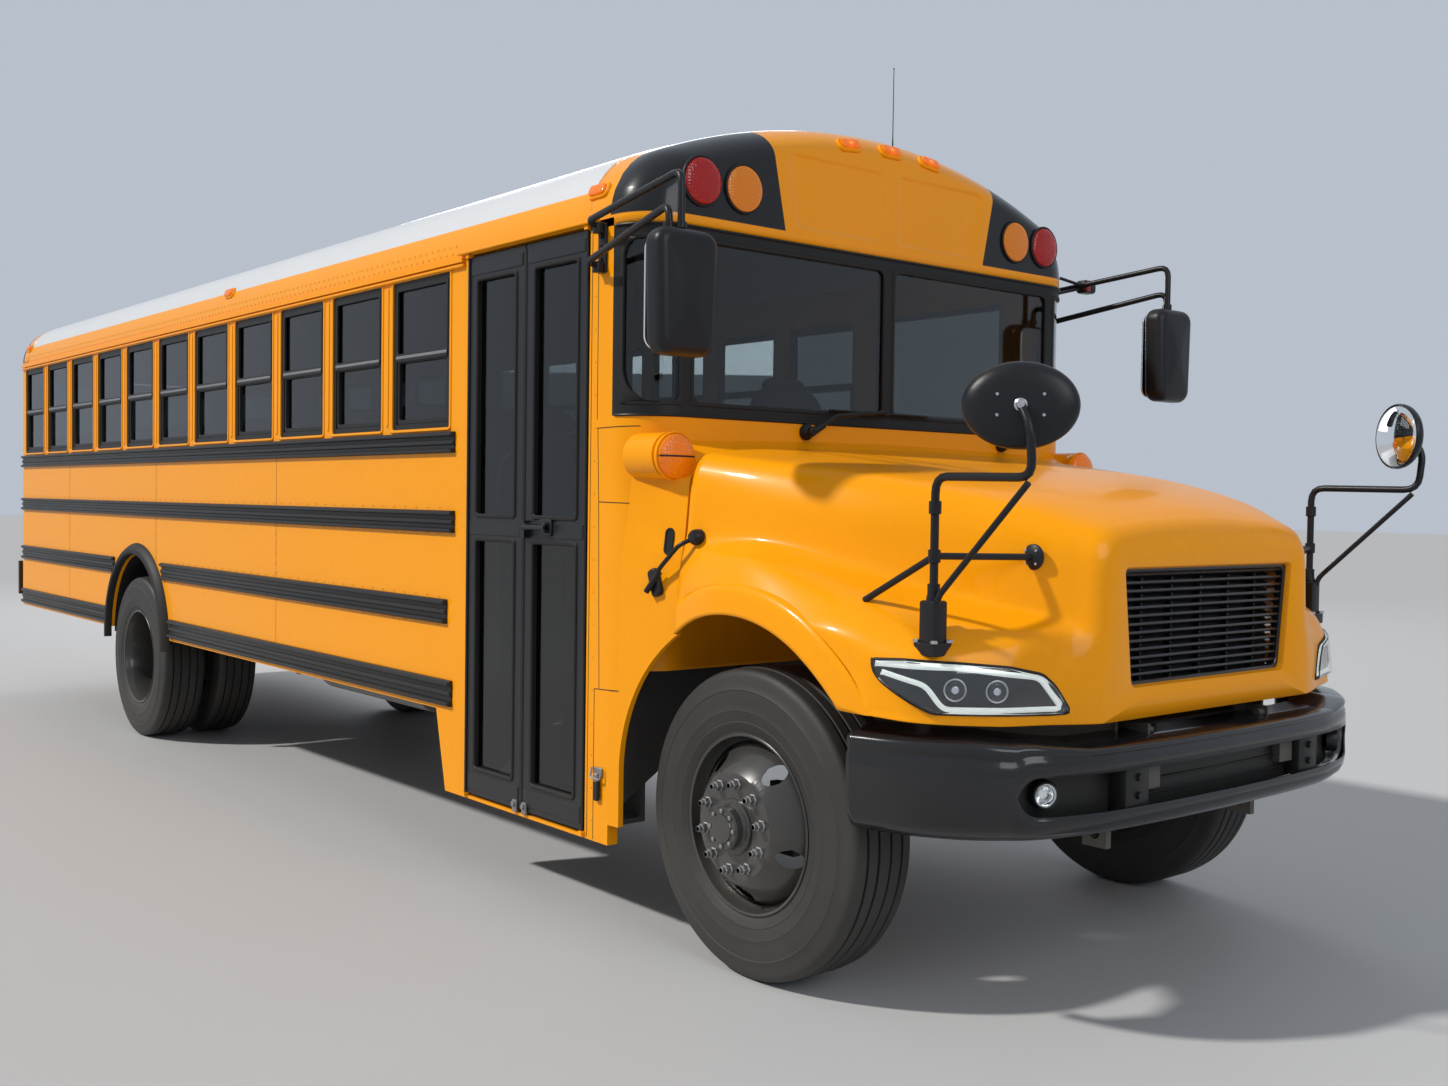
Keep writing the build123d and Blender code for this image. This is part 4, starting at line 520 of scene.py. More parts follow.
def cap_corners(sign):
    """A mask for the black corner panels of a cap: outside a leaning line, above the lip and near the face.
    sign is +1 where the bus's rear is behind the face, and -1 on the rear cap."""
    face = aft(FACE if sign > 0 else CAP_REAR)

    def mask(tree, place):
        sums = partial(math_node, tree)
        x, y, z = new_node(tree, "SeparateXYZ", {0: place}).outputs
        rise = sums("SUBTRACT", z, BLACK_PANEL_SILL)
        edge = sums("ADD", sums("MULTIPLY", rise, BLACK_PANEL_LEAN), BLACK_PANEL_FOOT)
        across = sums("SUBTRACT", sums("ABSOLUTE", x), edge)
        near = sums("SUBTRACT", BLACK_PANEL_REAR, sums("MULTIPLY", sums("SUBTRACT", y, face), sign))
        soft = [sums("DIVIDE", value, 0.003, clamp=True) for value in (across, rise, near)]
        return sums("MULTIPLY", sums("MULTIPLY", soft[0], soft[1]), soft[2])
    return mask


YELLOW = (0.93, 0.345, 0.002)
BLACK = (0.011, 0.012, 0.015)
WHITE = (0.66, 0.68, 0.71)
yellow_paint = finish("yellow_paint", YELLOW, 0.3, 0.015, 420, 0.02, 0.9, coat=0.2, shade=0.05, shine=0.08)
front_cap_paint, rear_cap_paint = (
    finish(name, YELLOW, 0.26, 0.03, 420, 0.02, 0.9, coat=0.35, shade=0.05, mask=cap_corners(sign), under=BLACK,
           shine=0.16) for name, sign in (("front_cap_paint", 1), ("rear_cap_paint", -1)))
ROOF_WHITE_FROM = 2.705
roof_paint = finish("roof_paint", YELLOW, 0.36, 0.05, 420, 0.03, 0.9, coat=0.25, mask=above(ROOF_WHITE_FROM),
                    under=WHITE, shine=0.2)
white_paint = finish("white_paint", WHITE, 0.4, 0.15, 300, 0.05)
gloss_black = finish("gloss_black", BLACK, 0.18, 0.04, 300, 0.02, coat=0.4, shine=0.2)
satin_black = finish("satin_black", (0.008, 0.009, 0.01), 0.42, 0.06, 260, 0.1, shine=0.25)
door_black = finish("door_black", (0.009, 0.011, 0.015), 0.36, 0.05, 260, 0.05, shine=0.35)
rail_black = finish("rail_black", (0.008, 0.0085, 0.01), 0.38, 0.07, 220, 0.1, shine=0.3)
mould_black = finish("moulded_black", (0.009, 0.01, 0.013), 0.34, 0.05, 500, 0.16, shine=0.25)
rubber = finish("black_rubber", (0.009, 0.009, 0.01), 0.55, 0.08, 160, 0.15, shine=0.25)
tyre_rubber = finish("tyre_rubber", (0.016, 0.016, 0.017), 0.56, 0.1, 130, 0.25, shade=0.25, shine=0.4)
wheel_black = finish("wheel_black", (0.014, 0.015, 0.017), 0.27, 0.16, 240, 0.06, coat=0.4)
frame_steel = finish("frame_steel", (0.028, 0.029, 0.031), 0.52, 0.45, 120, 0.25, shade=0.2)
bright_steel = finish("bright_steel", (0.52, 0.53, 0.54), 0.32, 0.2, 300, 0.1, metal=1.0)
dull_zinc = finish("dull_zinc", (0.3, 0.3, 0.31), 0.42, 0.25, 240, 0.15, metal=0.9)
tank_steel = finish("tank_steel", (0.19, 0.2, 0.21), 0.45, 0.4, 110, 0.2, metal=0.6, shade=0.15)
engine_iron = finish("engine_iron", (0.09, 0.09, 0.095), 0.6, 0.5, 80, 0.4, metal=0.4, shade=0.25)
floor_rubber = finish("floor_rubber", (0.05, 0.052, 0.055), 0.6, 0.2, 200, 0.3)
seat_vinyl = finish("seat_vinyl", (0.035, 0.055, 0.085), 0.45, 0.04, 420, 0.35)
dash_plastic = finish("dash_plastic", (0.05, 0.05, 0.055), 0.55, 0.05, 500, 0.3)
stop_red = finish("stop_red", (0.62, 0.015, 0.012), 0.4, 0.1, 300, 0.05)
chrome = finish("mirror_chrome", (0.9, 0.91, 0.92), 0.04, 0.0, 300, 0.0, metal=1.0, shade=0.0)
reflector = finish("lamp_reflector", (0.75, 0.76, 0.78), 0.12, 0.0, 60, 0.1, metal=1.0, shade=0.0)
seam_dark = finish("seam_dark", (0.03, 0.014, 0.002), 0.8, 0.1, 300, 0.0)

# %% [markdown]
# Glass and lenses let light through, so they have no dust map: their tint, gloss and index are set on the shader
# itself. The lamp lenses have a pattern of small prisms, which is bump on a slightly rough coloured glass.
# %% Glass, lenses and lights
def clear_finish(name, tint, gloss=0.02, index=1.45, prisms=0.0, scale=90.0, through=1.0, glow=0.0):
    """A see-through material; prisms is the strength of a moulded pattern of small cells."""
    material, tree, place = new_material(name)
    light, dark = (*tint, 1), (*(c * 0.8 for c in tint), 1)
    streaks = math_node(tree, "MULTIPLY", noise(tree, place, 3.0, 4), 0.12)
    sockets = {"Base Color": mix_colours(tree, streaks, light, dark), "Roughness": gloss, "IOR": index,
               "Transmission Weight": through}
    if glow:
        sockets |= {"Emission Color": light, "Emission Strength": glow}
    if prisms:
        cells = new_node(tree, "TexVoronoi", {"Vector": place, "Scale": scale, "Randomness": 0.15})
        bumped = new_node(tree, "Bump", {"Strength": prisms, "Distance": 0.003, "Height": cells.outputs["Distance"]})
        sockets["Normal"] = bumped.outputs[0]
    feed(tree, tree.nodes["Principled BSDF"], sockets)
    return material


# The side glass's deep tint is partly its own tint and partly painted shade, which keeps the lit cabin behind it
# dark.
side_glass = clear_finish("side_glass", (0.13, 0.15, 0.16), 0.015)
screen_glass = clear_finish("screen_glass", (0.42, 0.46, 0.46), 0.01)
red_lens = clear_finish("red_lens", (0.62, 0.006, 0.003), 0.12, 1.48, 0.6, 95, through=0.5, glow=0.06)
amber_lens = clear_finish("amber_lens", (1.0, 0.29, 0.003), 0.14, 1.48, 0.6, 95, through=0.45, glow=0.12)
clear_lens = clear_finish("clear_lens", (0.97, 0.98, 0.98), 0.01, 1.48)
light_bar = clear_finish("light_bar", (0.86, 0.92, 0.88), 0.3, 1.48, through=0.0, glow=0.34)
bulb_light = clear_finish("bulb_light", (1.0, 0.55, 0.15), 0.3, 1.48, through=0.0, glow=1.5)
print("finishes", len(bpy.data.materials))

# %% [markdown]
# The CAD nodes whose shapes are right stay as they are and take a finish. What the record calls each node's slot
# says which; the roof and the caps have two colours each, divided by their place on the body.
# %% Finishes on the CAD nodes
BY_SLOT = {"body_yellow": yellow_paint, "roof_white": roof_paint, "floor_rubber": floor_rubber,
           "window_glass": side_glass, "black_trim": door_black, "black_rubber": rubber, "black_steel": frame_steel,
           "engine_iron": engine_iron, "tank_metal": tank_steel, "seat_vinyl": seat_vinyl, "lamp_red": red_lens,
           "lamp_amber": amber_lens, "lamp_clear": clear_lens, "stop_red": stop_red, "tyre_rubber": tyre_rubber,
           "wheel_black": wheel_black}
BY_NODE = {"front_cap": front_cap_paint, "rear_cap": rear_cap_paint, "roof_shell": roof_paint,
           "roof_hatch_front": white_paint, "roof_hatch_rear": white_paint, "windscreen_glass": screen_glass,
           "dashboard": dash_plastic, "steering_wheel": dash_plastic, "window_sashes": satin_black,
           "windscreen_frame": satin_black, "rear_bumper": gloss_black}
SLOT_OF = {part["node"]: part["material_slot"] for part in frame["record"]["subparts"]}
for node_name, node in frame["nodes"].items():
    node.data.materials.clear()
    node.data.materials.append(BY_NODE.get(node_name, BY_SLOT[SLOT_OF[node_name]]))
BODY_OF = {part: body for body, parts in frame["record"]["behaviour"]["bodies"].items() for part in parts}
FLOOR_COLOUR = (0.5, 0.505, 0.515)
floor_mesh.materials.append(finish("studio_floor", FLOOR_COLOUR, 0.6, 0.0, 60, 0.02, shade=0.02))
print("CAD nodes dressed", len(frame["nodes"]))

# %% [markdown]
# The hood and both front fenders are one moulded shell that tilts forward. It is drawn as sections across the bus:
# crown, shoulder, cheek, the valley beside the fender, the fender's crest and its outer edge. Curves flow through
# the sections both ways, so the shell has no facets, and its foot follows the circle of the wheel arch.
# %% Hood and front fenders
HOOD_AT = (-0.985, -0.93, -0.88, -0.7, -0.35, 0.05, 0.325)
HOOD_SECTIONS = (
    ((0, 1.512), (0.29, 1.505), (0.53, 1.477), (0.584, 1.41), (0.6, 1.215), (0.618, 1.1), (0.625, 1.05)),
    ((0, 1.545), (0.31, 1.535), (0.565, 1.5), (0.615, 1.43), (0.632, 1.235), (0.72, 1.137), (0.765, 1.06)),
    ((0, 1.57), (0.33, 1.557), (0.6, 1.515), (0.65, 1.44), (0.67, 1.25), (0.86, 1.165), (0.925, 1.075)),
    ((0, 1.625), (0.38, 1.615), (0.7, 1.575), (0.757, 1.49), (0.8, 1.29), (1.04, 1.205), (1.135, 1.105)),
    ((0, 1.69), (0.45, 1.682), (0.85, 1.648), (0.92, 1.56), (0.965, 1.375), (1.12, 1.3), (1.2, 1.205)),
    ((0, 1.738), (0.53, 1.73), (0.985, 1.7), (1.05, 1.61), (1.085, 1.45), (1.16, 1.385), (1.206, 1.3)),
    ((0, 1.768), (0.58, 1.76), (1.05, 1.733), (1.112, 1.65), (1.132, 1.46), (1.152, 1.37), (1.165, 1.27)))
HOOD_FEET = (0.628, 0.777, 0.945, 1.152, 1.219, 1.221, 1.18)
LIP_WIDTH, LIP_FRONT = 0.082, -0.7
ARCH_R, ARCH_Z, ARCH_END = 0.632, 0.578, 0.505
NOSE_ROUND, NOSE_START = 0.04, -0.945
SECTION_STEPS, SECTION_END = 96, 6.2
FOOT_AHEAD, FOOT_RISE, FOOT_RUN = 0.932, 0.03, 0.48
GROOVE_DEPTH, GROOVE_ABOVE, BROW_OUT, BROW_BELOW = 0.004, 0.012, 0.007, 0.004


def foot_height(y):
    """The shell's lower edge: on the arch's circle beside the wheel, and nearly level ahead of it."""
    arch = ARCH_Z + np.sqrt(np.maximum(ARCH_R ** 2 - y ** 2, 0))
    ahead = FOOT_AHEAD + FOOT_RISE * np.clip((y - HOOD_AT[0]) / FOOT_RUN, 0, 1)
    return np.where(y > -ARCH_END, arch, ahead)


def hood_points(y, steps=SECTION_STEPS):
    """The right half of the shell at each y, (rows, steps, 2): first along the bus, then round each section."""
    control = flow(HOOD_AT, HOOD_SECTIONS, y)
    foot = np.stack([flow(HOOD_AT, HOOD_FEET, y), foot_height(y)], -1)
    ring = ARCH_Z + np.sqrt(np.maximum((ARCH_R + LIP_WIDTH) ** 2 - y ** 2, 0))
    lip = np.clip((ring - foot[:, 1]) / LIP_WIDTH, 0, 1) * (y > LIP_FRONT)
    top = np.where(lip > 0, np.maximum(ring, foot[:, 1] + 0.004), foot[:, 1] + 0.03)
    fender = control[:, -1]
    share = np.clip((top - foot[:, 1]) / np.maximum(fender[:, 1] - foot[:, 1], 0.01), 0, 1)
    rest = foot[:, 0] + (fender[:, 0] - foot[:, 0]) * share
    groove = np.stack([rest - GROOVE_DEPTH * lip, top + GROOVE_ABOVE], -1)
    brow = np.stack([rest + BROW_OUT * lip, top - BROW_BELOW], -1)
    over = np.array([-1.0, 1.0]) * control[:, 1]
    control = np.concatenate([over[:, None], control, groove[:, None], brow[:, None], foot[:, None]], 1)
    knots = np.array([-1, 0, 1, 2, 2.6, 3.6, 4.5, 5.2, 5.55, 5.75, SECTION_END])
    at = np.linspace(0, SECTION_END, steps)
    return flow(knots, control.transpose(1, 0, 2), at).transpose(1, 0, 2)


def drawn_in(section, amount):
    """Each open section moved inwards by an amount of its own, across its own direction; its crown stays level."""
    inward = to_right(unit(np.gradient(section, axis=1)))
    return section + inward * np.asarray(amount)[:, None, None]


body_rows = np.concatenate([np.linspace(HOOD_AT[-1], -0.50, 44), np.linspace(-0.51, NOSE_START, 44)])
turn_in = np.linspace(0, np.pi / 2, 9)[1:]
hood_y = np.concatenate([body_rows, NOSE_START - NOSE_ROUND * np.sin(turn_in)])
hood_inset = np.concatenate([body_rows * 0, NOSE_ROUND * (1 - np.cos(turn_in))])
outer_skin = drawn_in(hood_points(hood_y), hood_inset)
outer_skin = grid(outer_skin[..., 0], aft(hood_y)[:, None], outer_skin[..., 1])
outer_skin[:, 0, 0] = 0

# %% [markdown]
# The nose closes from the last section to the grille's opening: each point of the section, carried on along the
# foot of the nose, has its partner on the opening's rounded trapezoid, and the opening's edge turns inwards.
# %% The nose round the grille
GRILLE_FOOT, GRILLE_MIDDLE, GRILLE_HEAD, GRILLE_HEIGHT = 1.018, 1.21, 1.402, 0.384
OPENING_HALF_WIDTH, OPENING_HALF_HEIGHT = 0.47, 0.19
PATH_END, WALL = 7.2, 0.014
GRILLE_PATH = ((0, 0, 1.402), (1.75, 0.462, 1.402), (1.9, 0.483, 1.396), (2.05, 0.492, 1.38), (5.5, 0.452, 1.045),
               (5.7, 0.442, 1.026), (5.9, 0.424, 1.018), (7.2, 0, 1.018))


def grille_edge(at, spread=0.0):
    """The opening's edge at places along its path, moved outwards by spread."""
    where, x, z = np.array(GRILLE_PATH).T
    px, pz = np.interp(at, where, x), np.interp(at, where, z)
    rise = (pz - GRILLE_MIDDLE) * (1 + spread / OPENING_HALF_HEIGHT)
    return px * (1 + spread / OPENING_HALF_WIDTH), GRILLE_MIDDLE + rise


last = outer_skin[-1]
FOOT_STEPS = 16
foot_line = grid(np.linspace(last[-1, 0], 0, FOOT_STEPS), last[-1, 1], last[-1, 2])[1:]
rim_at = np.concatenate([np.linspace(0, SECTION_END, SECTION_STEPS),
                         np.linspace(SECTION_END, PATH_END, FOOT_STEPS)[1:]])
nose_rings = [np.concatenate([last, foot_line])]
for spread, depth in ((0.01, 0.0), (0.003, 0.003), (0.0, 0.01), (0.0, 0.045)):
    edge_x, edge_z = grille_edge(rim_at, spread)
    nose_rings.append(grid(edge_x, aft(HOOD_AT[0] + depth), edge_z))
hood_half = merge(patch(outer_skin, flip=True), patch(np.stack(nose_rings), flip=True))
hood = walled(piece("hood_shell", both(hood_half), yellow_paint, "hood", ["hood"], crisp=40), WALL)
print("hood", len(hood.data.polygons))

# %% [markdown]
# A headlamp is a dark bowl behind a clear lens, with a white light bar bent like a C and two round projectors, each
# a glass disc over a small bright disc in a black cup; that disc is partly reflector and partly a painted highlight,
# standing in for the glint of a domed lens. The parts are drawn flat, as seen from the corner of the bus, and
# cast onto the shell along that diagonal. The right lamp is drawn and the left one is its mirror image.
# %% Headlamps
LAMP_OUTLINE = ((0.404, 1.123), (0.31, 1.127), (0.152, 1.12), (0.006, 1.108), (-0.095, 1.084), (-0.132, 1.05),
                (-0.165, 0.999), (-0.181, 0.971), (-0.118, 0.969), (0.035, 0.975), (0.231, 0.979), (0.288, 1.006),
                (0.337, 1.034), (0.38, 1.064), (0.4, 1.092))
BAR_ROUTE = ((0.39, 1.113), (0.152, 1.108), (-0.084, 1.077), (-0.155, 0.983), (0.2, 0.99), (0.252, 1.058),
             (0.376, 1.09))
PROJECTORS = ((0.166, 1.046), (0.044, 1.041))
DIAGONAL = np.sqrt(0.5)
STAND_OFF = 1.2


def sampled(route, count, closed=False):
    """Places evenly spread along a route of flat points."""
    p = np.asarray(route, float)
    if closed:
        p = np.concatenate([p, p[:1]])
    far = distances(p)
    at = np.linspace(0, far[-1], count, endpoint=not closed)
    return np.stack([np.interp(at, far, p[:, 0]), np.interp(at, far, p[:, 1])], 1)


def cornerwise(points):
    """Flat (u, z) points stood up off the right front corner, u running outwards and back along the diagonal."""
    u, z = points[..., 0] * DIAGONAL, points[..., 1]
    return np.stack([-(u + STAND_OFF), aft(u - STAND_OFF), z], -1)


def filled(loop, centre, rows=14):
    """A flat patch that fills a loop, in rings shrinking to its middle."""
    share = np.linspace(1, 0, rows)[:, None, None]
    return patch(cornerwise(np.asarray(centre) + (loop[None] - np.asarray(centre)) * share), wrap_columns=True,
                 flip=True)


def ribbon(route, width, closed=False):
    """A flat band along a route, three points wide."""
    ahead = np.roll(route, -1, 0) - np.roll(route, 1, 0) if closed else np.gradient(route, axis=0)
    rows = np.stack([route + to_right(unit(ahead)) * width * s for s in (0.5, 0, -0.5)])
    return patch(cornerwise(rows), wrap_columns=closed, flip=True)


def laid_on(name, shape, material, lift, thickness, replaces=()):
    """A flat shape cast onto the hood along the diagonal, mirrored to the other side and given a thickness."""
    obj = piece(name, shape, material, "hood", replaces)
    cast = obj.modifiers.new("cast", "SHRINKWRAP")
    cast.wrap_method = "PROJECT"
    cast.use_project_x = True
    cast.use_project_y = True
    cast.use_positive_direction = True
    cast.use_negative_direction = False
    cast.target = hood
    cast.offset = lift
    obj.modifiers.new("other side", "MIRROR").merge_threshold = 0
    walled(obj, thickness, 1)


lamp_loop = sampled(eased(np.array(LAMP_OUTLINE + LAMP_OUTLINE[:1]), 0.012, 4), 120, closed=True)
lamp_middle = (0.09, 1.045)
round_off = np.linspace(0, 2 * np.pi, 28, endpoint=False)


def circles(radius):
    """A flat circle round the middle of each projector."""
    ring = radius * np.stack([np.cos(round_off), np.sin(round_off)], 1)
    return [ring + np.array(middle) for middle in PROJECTORS]


def discs(radius):
    """A filled circle on each projector."""
    return merge(*[filled(circle, middle, 5) for circle, middle in zip(circles(radius), PROJECTORS)])


light_route = sampled(eased(np.array(BAR_ROUTE), 0.02, 4), 110)
rims = merge(*[ribbon(circle, 0.005, closed=True) for circle in circles(0.031)])
laid_on("headlamp_bowls", filled(lamp_loop, lamp_middle), gloss_black, 0.0015, 0.002, replaces=["headlamps"])
# The small bright discs under the projector lenses are partly reflector and partly a painted highlight, standing in
# for the glint of a domed lens.
for name, shape, material, lift, thickness in (
        ("light_bars", ribbon(light_route, 0.0155), light_bar, 0.004, 0.006),
        ("cups", discs(0.034), gloss_black, 0.003, 0.003), ("highlight_eyes", discs(0.012), reflector, 0.0055, 0.001),
        ("rims", rims, bright_steel, 0.0055, 0.004), ("projectors", discs(0.026), clear_lens, 0.0065, 0.004),
        ("lenses", filled(lamp_loop, lamp_middle), clear_lens, 0.014, 0.002)):
    laid_on("headlamp_" + name, shape, material, lift, thickness)
laid_on("headlamp_gaskets", ribbon(lamp_loop, 0.011, closed=True), rubber, 0.003, 0.0155)
print("headlamps", len(PIECES))

# %% [markdown]
# The grille is a frame set into the nose, with level slats that lean like a blind and a dark core behind. One slat
# is drawn one metre wide, copied up the opening, and each copy is narrowed to the trapezoid.
# %% Grille
FOOT_HALF_WIDTH, HEAD_WIDER, SLAT_COUNT = 0.445, 0.047, 13


def grille_half_width(z):
    """The opening's half width at a height: its sides lean outwards."""
    return FOOT_HALF_WIDTH + HEAD_WIDER * (z - GRILLE_FOOT) / GRILLE_HEIGHT


def opening_loop(edge, steps=5):
    """The grille's outline, drawn in by edge and with round corners, anticlockwise seen from ahead."""
    x, z = oblong(2, GRILLE_HEIGHT - 2 * edge, 0.024, steps, (0, GRILLE_MIDDLE)).T
    return np.stack([np.sign(x) * (grille_half_width(z) - edge - (1 - np.abs(x))), z], 1)


grille_frame = placed(frame_plate(opening_loop(0.002), opening_loop(0.024), 0, 0.03, 0.003),
                      (0, aft(NOSE_START), 0), **OUT_FRONT)
slat_profile = np.array([(-0.968, 0.006), (-0.972, 0.0), (-0.969, -0.004), (-0.963, -0.006), (-0.938, -0.016),
                         (-0.936, -0.012), (-0.95, 0.0)])
slat = patch(grid(np.array([[-1.0], [1.0]]), aft(slat_profile[:, 0]), slat_profile[:, 1]), wrap_columns=True)
slats = repeated(slat, [(0, 0, z) for z in np.linspace(GRILLE_FOOT + 0.042, GRILLE_HEAD - 0.032, SLAT_COUNT)])
slats[0][:, 0] *= grille_half_width(slats[0][:, 2]) - 0.02
uprights = merge(*[block((x - 0.005, x + 0.005), (NOSE_START, -0.925), (1.03, 1.39), 0.001)
                   for x in (-0.33, -0.165, 0, 0.165, 0.33)])
core = block((-0.45, 0.45), (-0.925, -0.915), (1.02, 1.4))
piece("grille_frame", merge(grille_frame, slats, uprights), gloss_black, "hood", replaces=["grille"])
piece("grille_core", core, satin_black, "hood")
print("grille", PIECES[-2][1])

# %% [markdown]
# The front bumper is one formed beam with a wide slot for the fog lamps and the air intake. Its skin is a grid: one
# upright profile carried along the plan of the beam. The slot is a gap left between two rows, whose edges close
# to a half circle at each end.
# %% Front bumper
BUMPER_PLAN = ((0, -1.088), (0.3, -1.083), (0.6, -1.066), (0.82, -1.02), (0.97, -0.945), (1.08, -0.84),
               (1.16, -0.705), (1.212, -0.54))
SLOT_MIDDLE, SLOT_HALF_HEIGHT, SLOT_END = 0.742, 0.058, 0.938
TOP_DROP, DROP_START, DROP_RUN = -0.033, 1.05, 0.35
BUMPER_UPPER = ((-0.17, 0.918), (-0.075, 0.909), (-0.014, 0.905), (-0.003, 0.9), (0, 0.891), (-0.002, 0.882),
                (-0.006, 0.877), (-0.006, 0.872), (0.0, 0.864), (0.003, 0.84), (0.004, 0.8))
BUMPER_LOWER = ((0.004, 0.7), (0.0, 0.668), (-0.012, 0.64), (-0.034, 0.617), (-0.07, 0.603), (-0.1, 0.6))


def along_plan(plan, count):
    """Points and outward directions evenly spread along a smooth plan of (x, y aft)."""
    far = distances(plan)
    fine = flow(far, plan, np.linspace(0, far[-1], count))
    return fine, to_right(unit(np.gradient(fine, axis=0)))


plan, outward = along_plan(BUMPER_PLAN, 110)
outward[0] = (0, -1)
close = np.clip((np.abs(plan[:, 0]) - (SLOT_END - SLOT_HALF_HEIGHT)) / SLOT_HALF_HEIGHT, 0, 1)
gap = SLOT_HALF_HEIGHT * np.sqrt(np.maximum(1 - close ** 2, 0))
top_drop = TOP_DROP * np.clip((DROP_START - np.abs(plan[:, 0])) / DROP_RUN, 0, 1)


def bumper_band(profile, last_z, end_first):
    """Part of the skin above or below the slot: heights are stretched so that its last row meets the slot's edge."""
    out, z = np.asarray(profile, float).T
    fixed, moved = (z[-1], z[0]) if end_first else (z[0], z[-1])
    heights = fixed + ((z - fixed) / (moved - fixed))[:, None] * (last_z - fixed)
    return np.broadcast_to(out[:, None], heights.shape), heights


upper_out, upper_z = bumper_band(BUMPER_UPPER, SLOT_MIDDLE + gap, False)
upper_z = upper_z + top_drop * np.clip((upper_z - 0.8) / 0.1, 0, 1)
lower_out, lower_z = bumper_band(BUMPER_LOWER, SLOT_MIDDLE - gap, True)


def bumper_skin(out, z):
    """The band's surface: each point of the plan moved outwards, at its height."""
    where = plan + outward * out[..., None]
    return patch(grid(where[..., 0], aft(where[..., 1]), z))


walled(piece("front_bumper_skin", both(merge(bumper_skin(upper_out, upper_z), bumper_skin(lower_out, lower_z))),
             gloss_black, replaces=["front_bumper"], crisp=50), 0.008)
# A black sheet behind the slot is painted shade: it stands in for the dark depth of the opening round the fog lamps.
shade_sheet_plan = along_plan([(x, y + 0.07) for x, y in BUMPER_PLAN[:6]], 50)[0]
slot_shade_sheet = patch(grid(shade_sheet_plan[:, 0], aft(shade_sheet_plan[:, 1]), np.array([[0.66], [0.83]])), flip=True)
piece("front_bumper_slot_shade", both(slot_shade_sheet), satin_black)
print("bumper", PIECES[-2][1])

# %% [markdown]
# Behind the slot stand the fog lamps, each a bright bowl with a clear lens in a black ring, the brackets that carry
# the beam, and the dark fins of the intake between them.
# %% Fog lamps, brackets and intake
FOG, FOG_SIZE = (0.835, -0.975, 0.742), 0.74
fog_away = np.array([0.5, -0.866, 0])
fog_side = np.array([0.866, 0.5, 0])
fog_axes = dict(u=fog_side * FOG_SIZE, v=(0, 0, FOG_SIZE), w=fog_away * FOG_SIZE)
fog_at = (FOG[0], aft(FOG[1]), FOG[2])
for name, material, slot, closed, profile in (
        ("bowls", reflector, "lamp_clear", False, [(0, -0.02), (0.02, -0.018), (0.036, -0.004), (0.043, 0.014),
                                                   (0.046, 0.014), (0.046, -0.03), (0, -0.03)]),
        ("lenses", clear_lens, "lamp_clear", False, [(0, 0.022), (0.02, 0.02), (0.036, 0.014), (0.043, 0.008),
                                                     (0.036, 0.01), (0.02, 0.016), (0, 0.018)]),
        ("rings", mould_black, "black_trim", True, [(0.044, 0.01), (0.046, 0.02), (0.052, 0.02), (0.058, 0.004),
                                                    (0.058, -0.03), (0.046, -0.03)])):
    piece("fog_lamp_" + name, both(placed(turned(profile, 40, closed), fog_at, **fog_axes)), material)
hook_bolt = turned([(0, 0.01), (0.011, 0.01), (0.013, 0), (0.013, -0.004), (0, -0.004)], 6)
hook_plate = merge(block((0.44, 0.56), (-1.062, -0.99), (0.668, 0.815), 0.004),
                   copies(hook_bolt, [(0.5, aft(-1.063), z) for z in (0.77, 0.715)], **OUT_FRONT))
fins = repeated(block((-0.4, 0.4), (-1.02, -0.99), (-0.004, 0.004), 0.002),
                [(0, 0, z) for z in (0.70, SLOT_MIDDLE, 0.784)])
piece("bumper_brackets", merge(both(hook_plate), fins), satin_black)
print("fog lamps and brackets")

# %% [markdown]
# A truck tyre is turned from one profile. The steer tyres have a tread of five straight ribs between four grooves;
# their flanks swell between bead and shoulder and carry moulded rings. The rims are turned too, except for the
# disc, whose hand holes are gaps in its grid closed to circles in the same way as the bumper's slot.
# %% Tyres
TYRE_HALF, TREAD_HALF = 0.14, 0.108


def tyre_profile(half=TYRE_HALF):
    """(radius, height) from the inner bead over the tread to the outer bead."""
    flank = [(0.292, 0.118), (0.3, 0.123), (0.306, 0.1235), (0.312, 0.127), (0.33, 0.1335), (0.336, 0.136),
             (0.34, 0.1348), (0.356, 0.138), (0.37, 0.1396), (0.376, 0.1412), (0.38, 0.1398), (0.4, 0.14),
             (0.42, 0.139), (0.44, 0.1368), (0.444, 0.1385), (0.448, 0.1362), (0.466, 0.1325), (0.48, 0.1285),
             (0.49, 0.1265), (0.499, 0.1225), (0.507, 0.116), (0.5115, TREAD_HALF)]
    flank = [(r, h * half / TYRE_HALF) for r, h in flank]
    ribs = []
    for groove in (0.074, 0.026):
        ribs += [(0.5145, groove + 0.0065), (0.5125, groove + 0.005), (0.5, groove + 0.0035),
                 (0.5, groove - 0.0035), (0.5135, groove - 0.005), (0.5155, groove - 0.0065)]
    outer = flank + ribs
    return [(r, -h) for r, h in outer] + [(r, h) for r, h in reversed(outer)]


def on_wheel(shape, side, track, y):
    """A shape turned about its own Z, stood up on a wheel's axle with its height pointing outboard."""
    return placed(shape, (side * track, aft(y), TYRE_R), (0, 1, 0), (0, 0, side), (side, 0, 0))


def shifted(shape, height):
    """The shape moved along its own Z."""
    return shape[0] + np.array([0, 0, height]), shape[1]


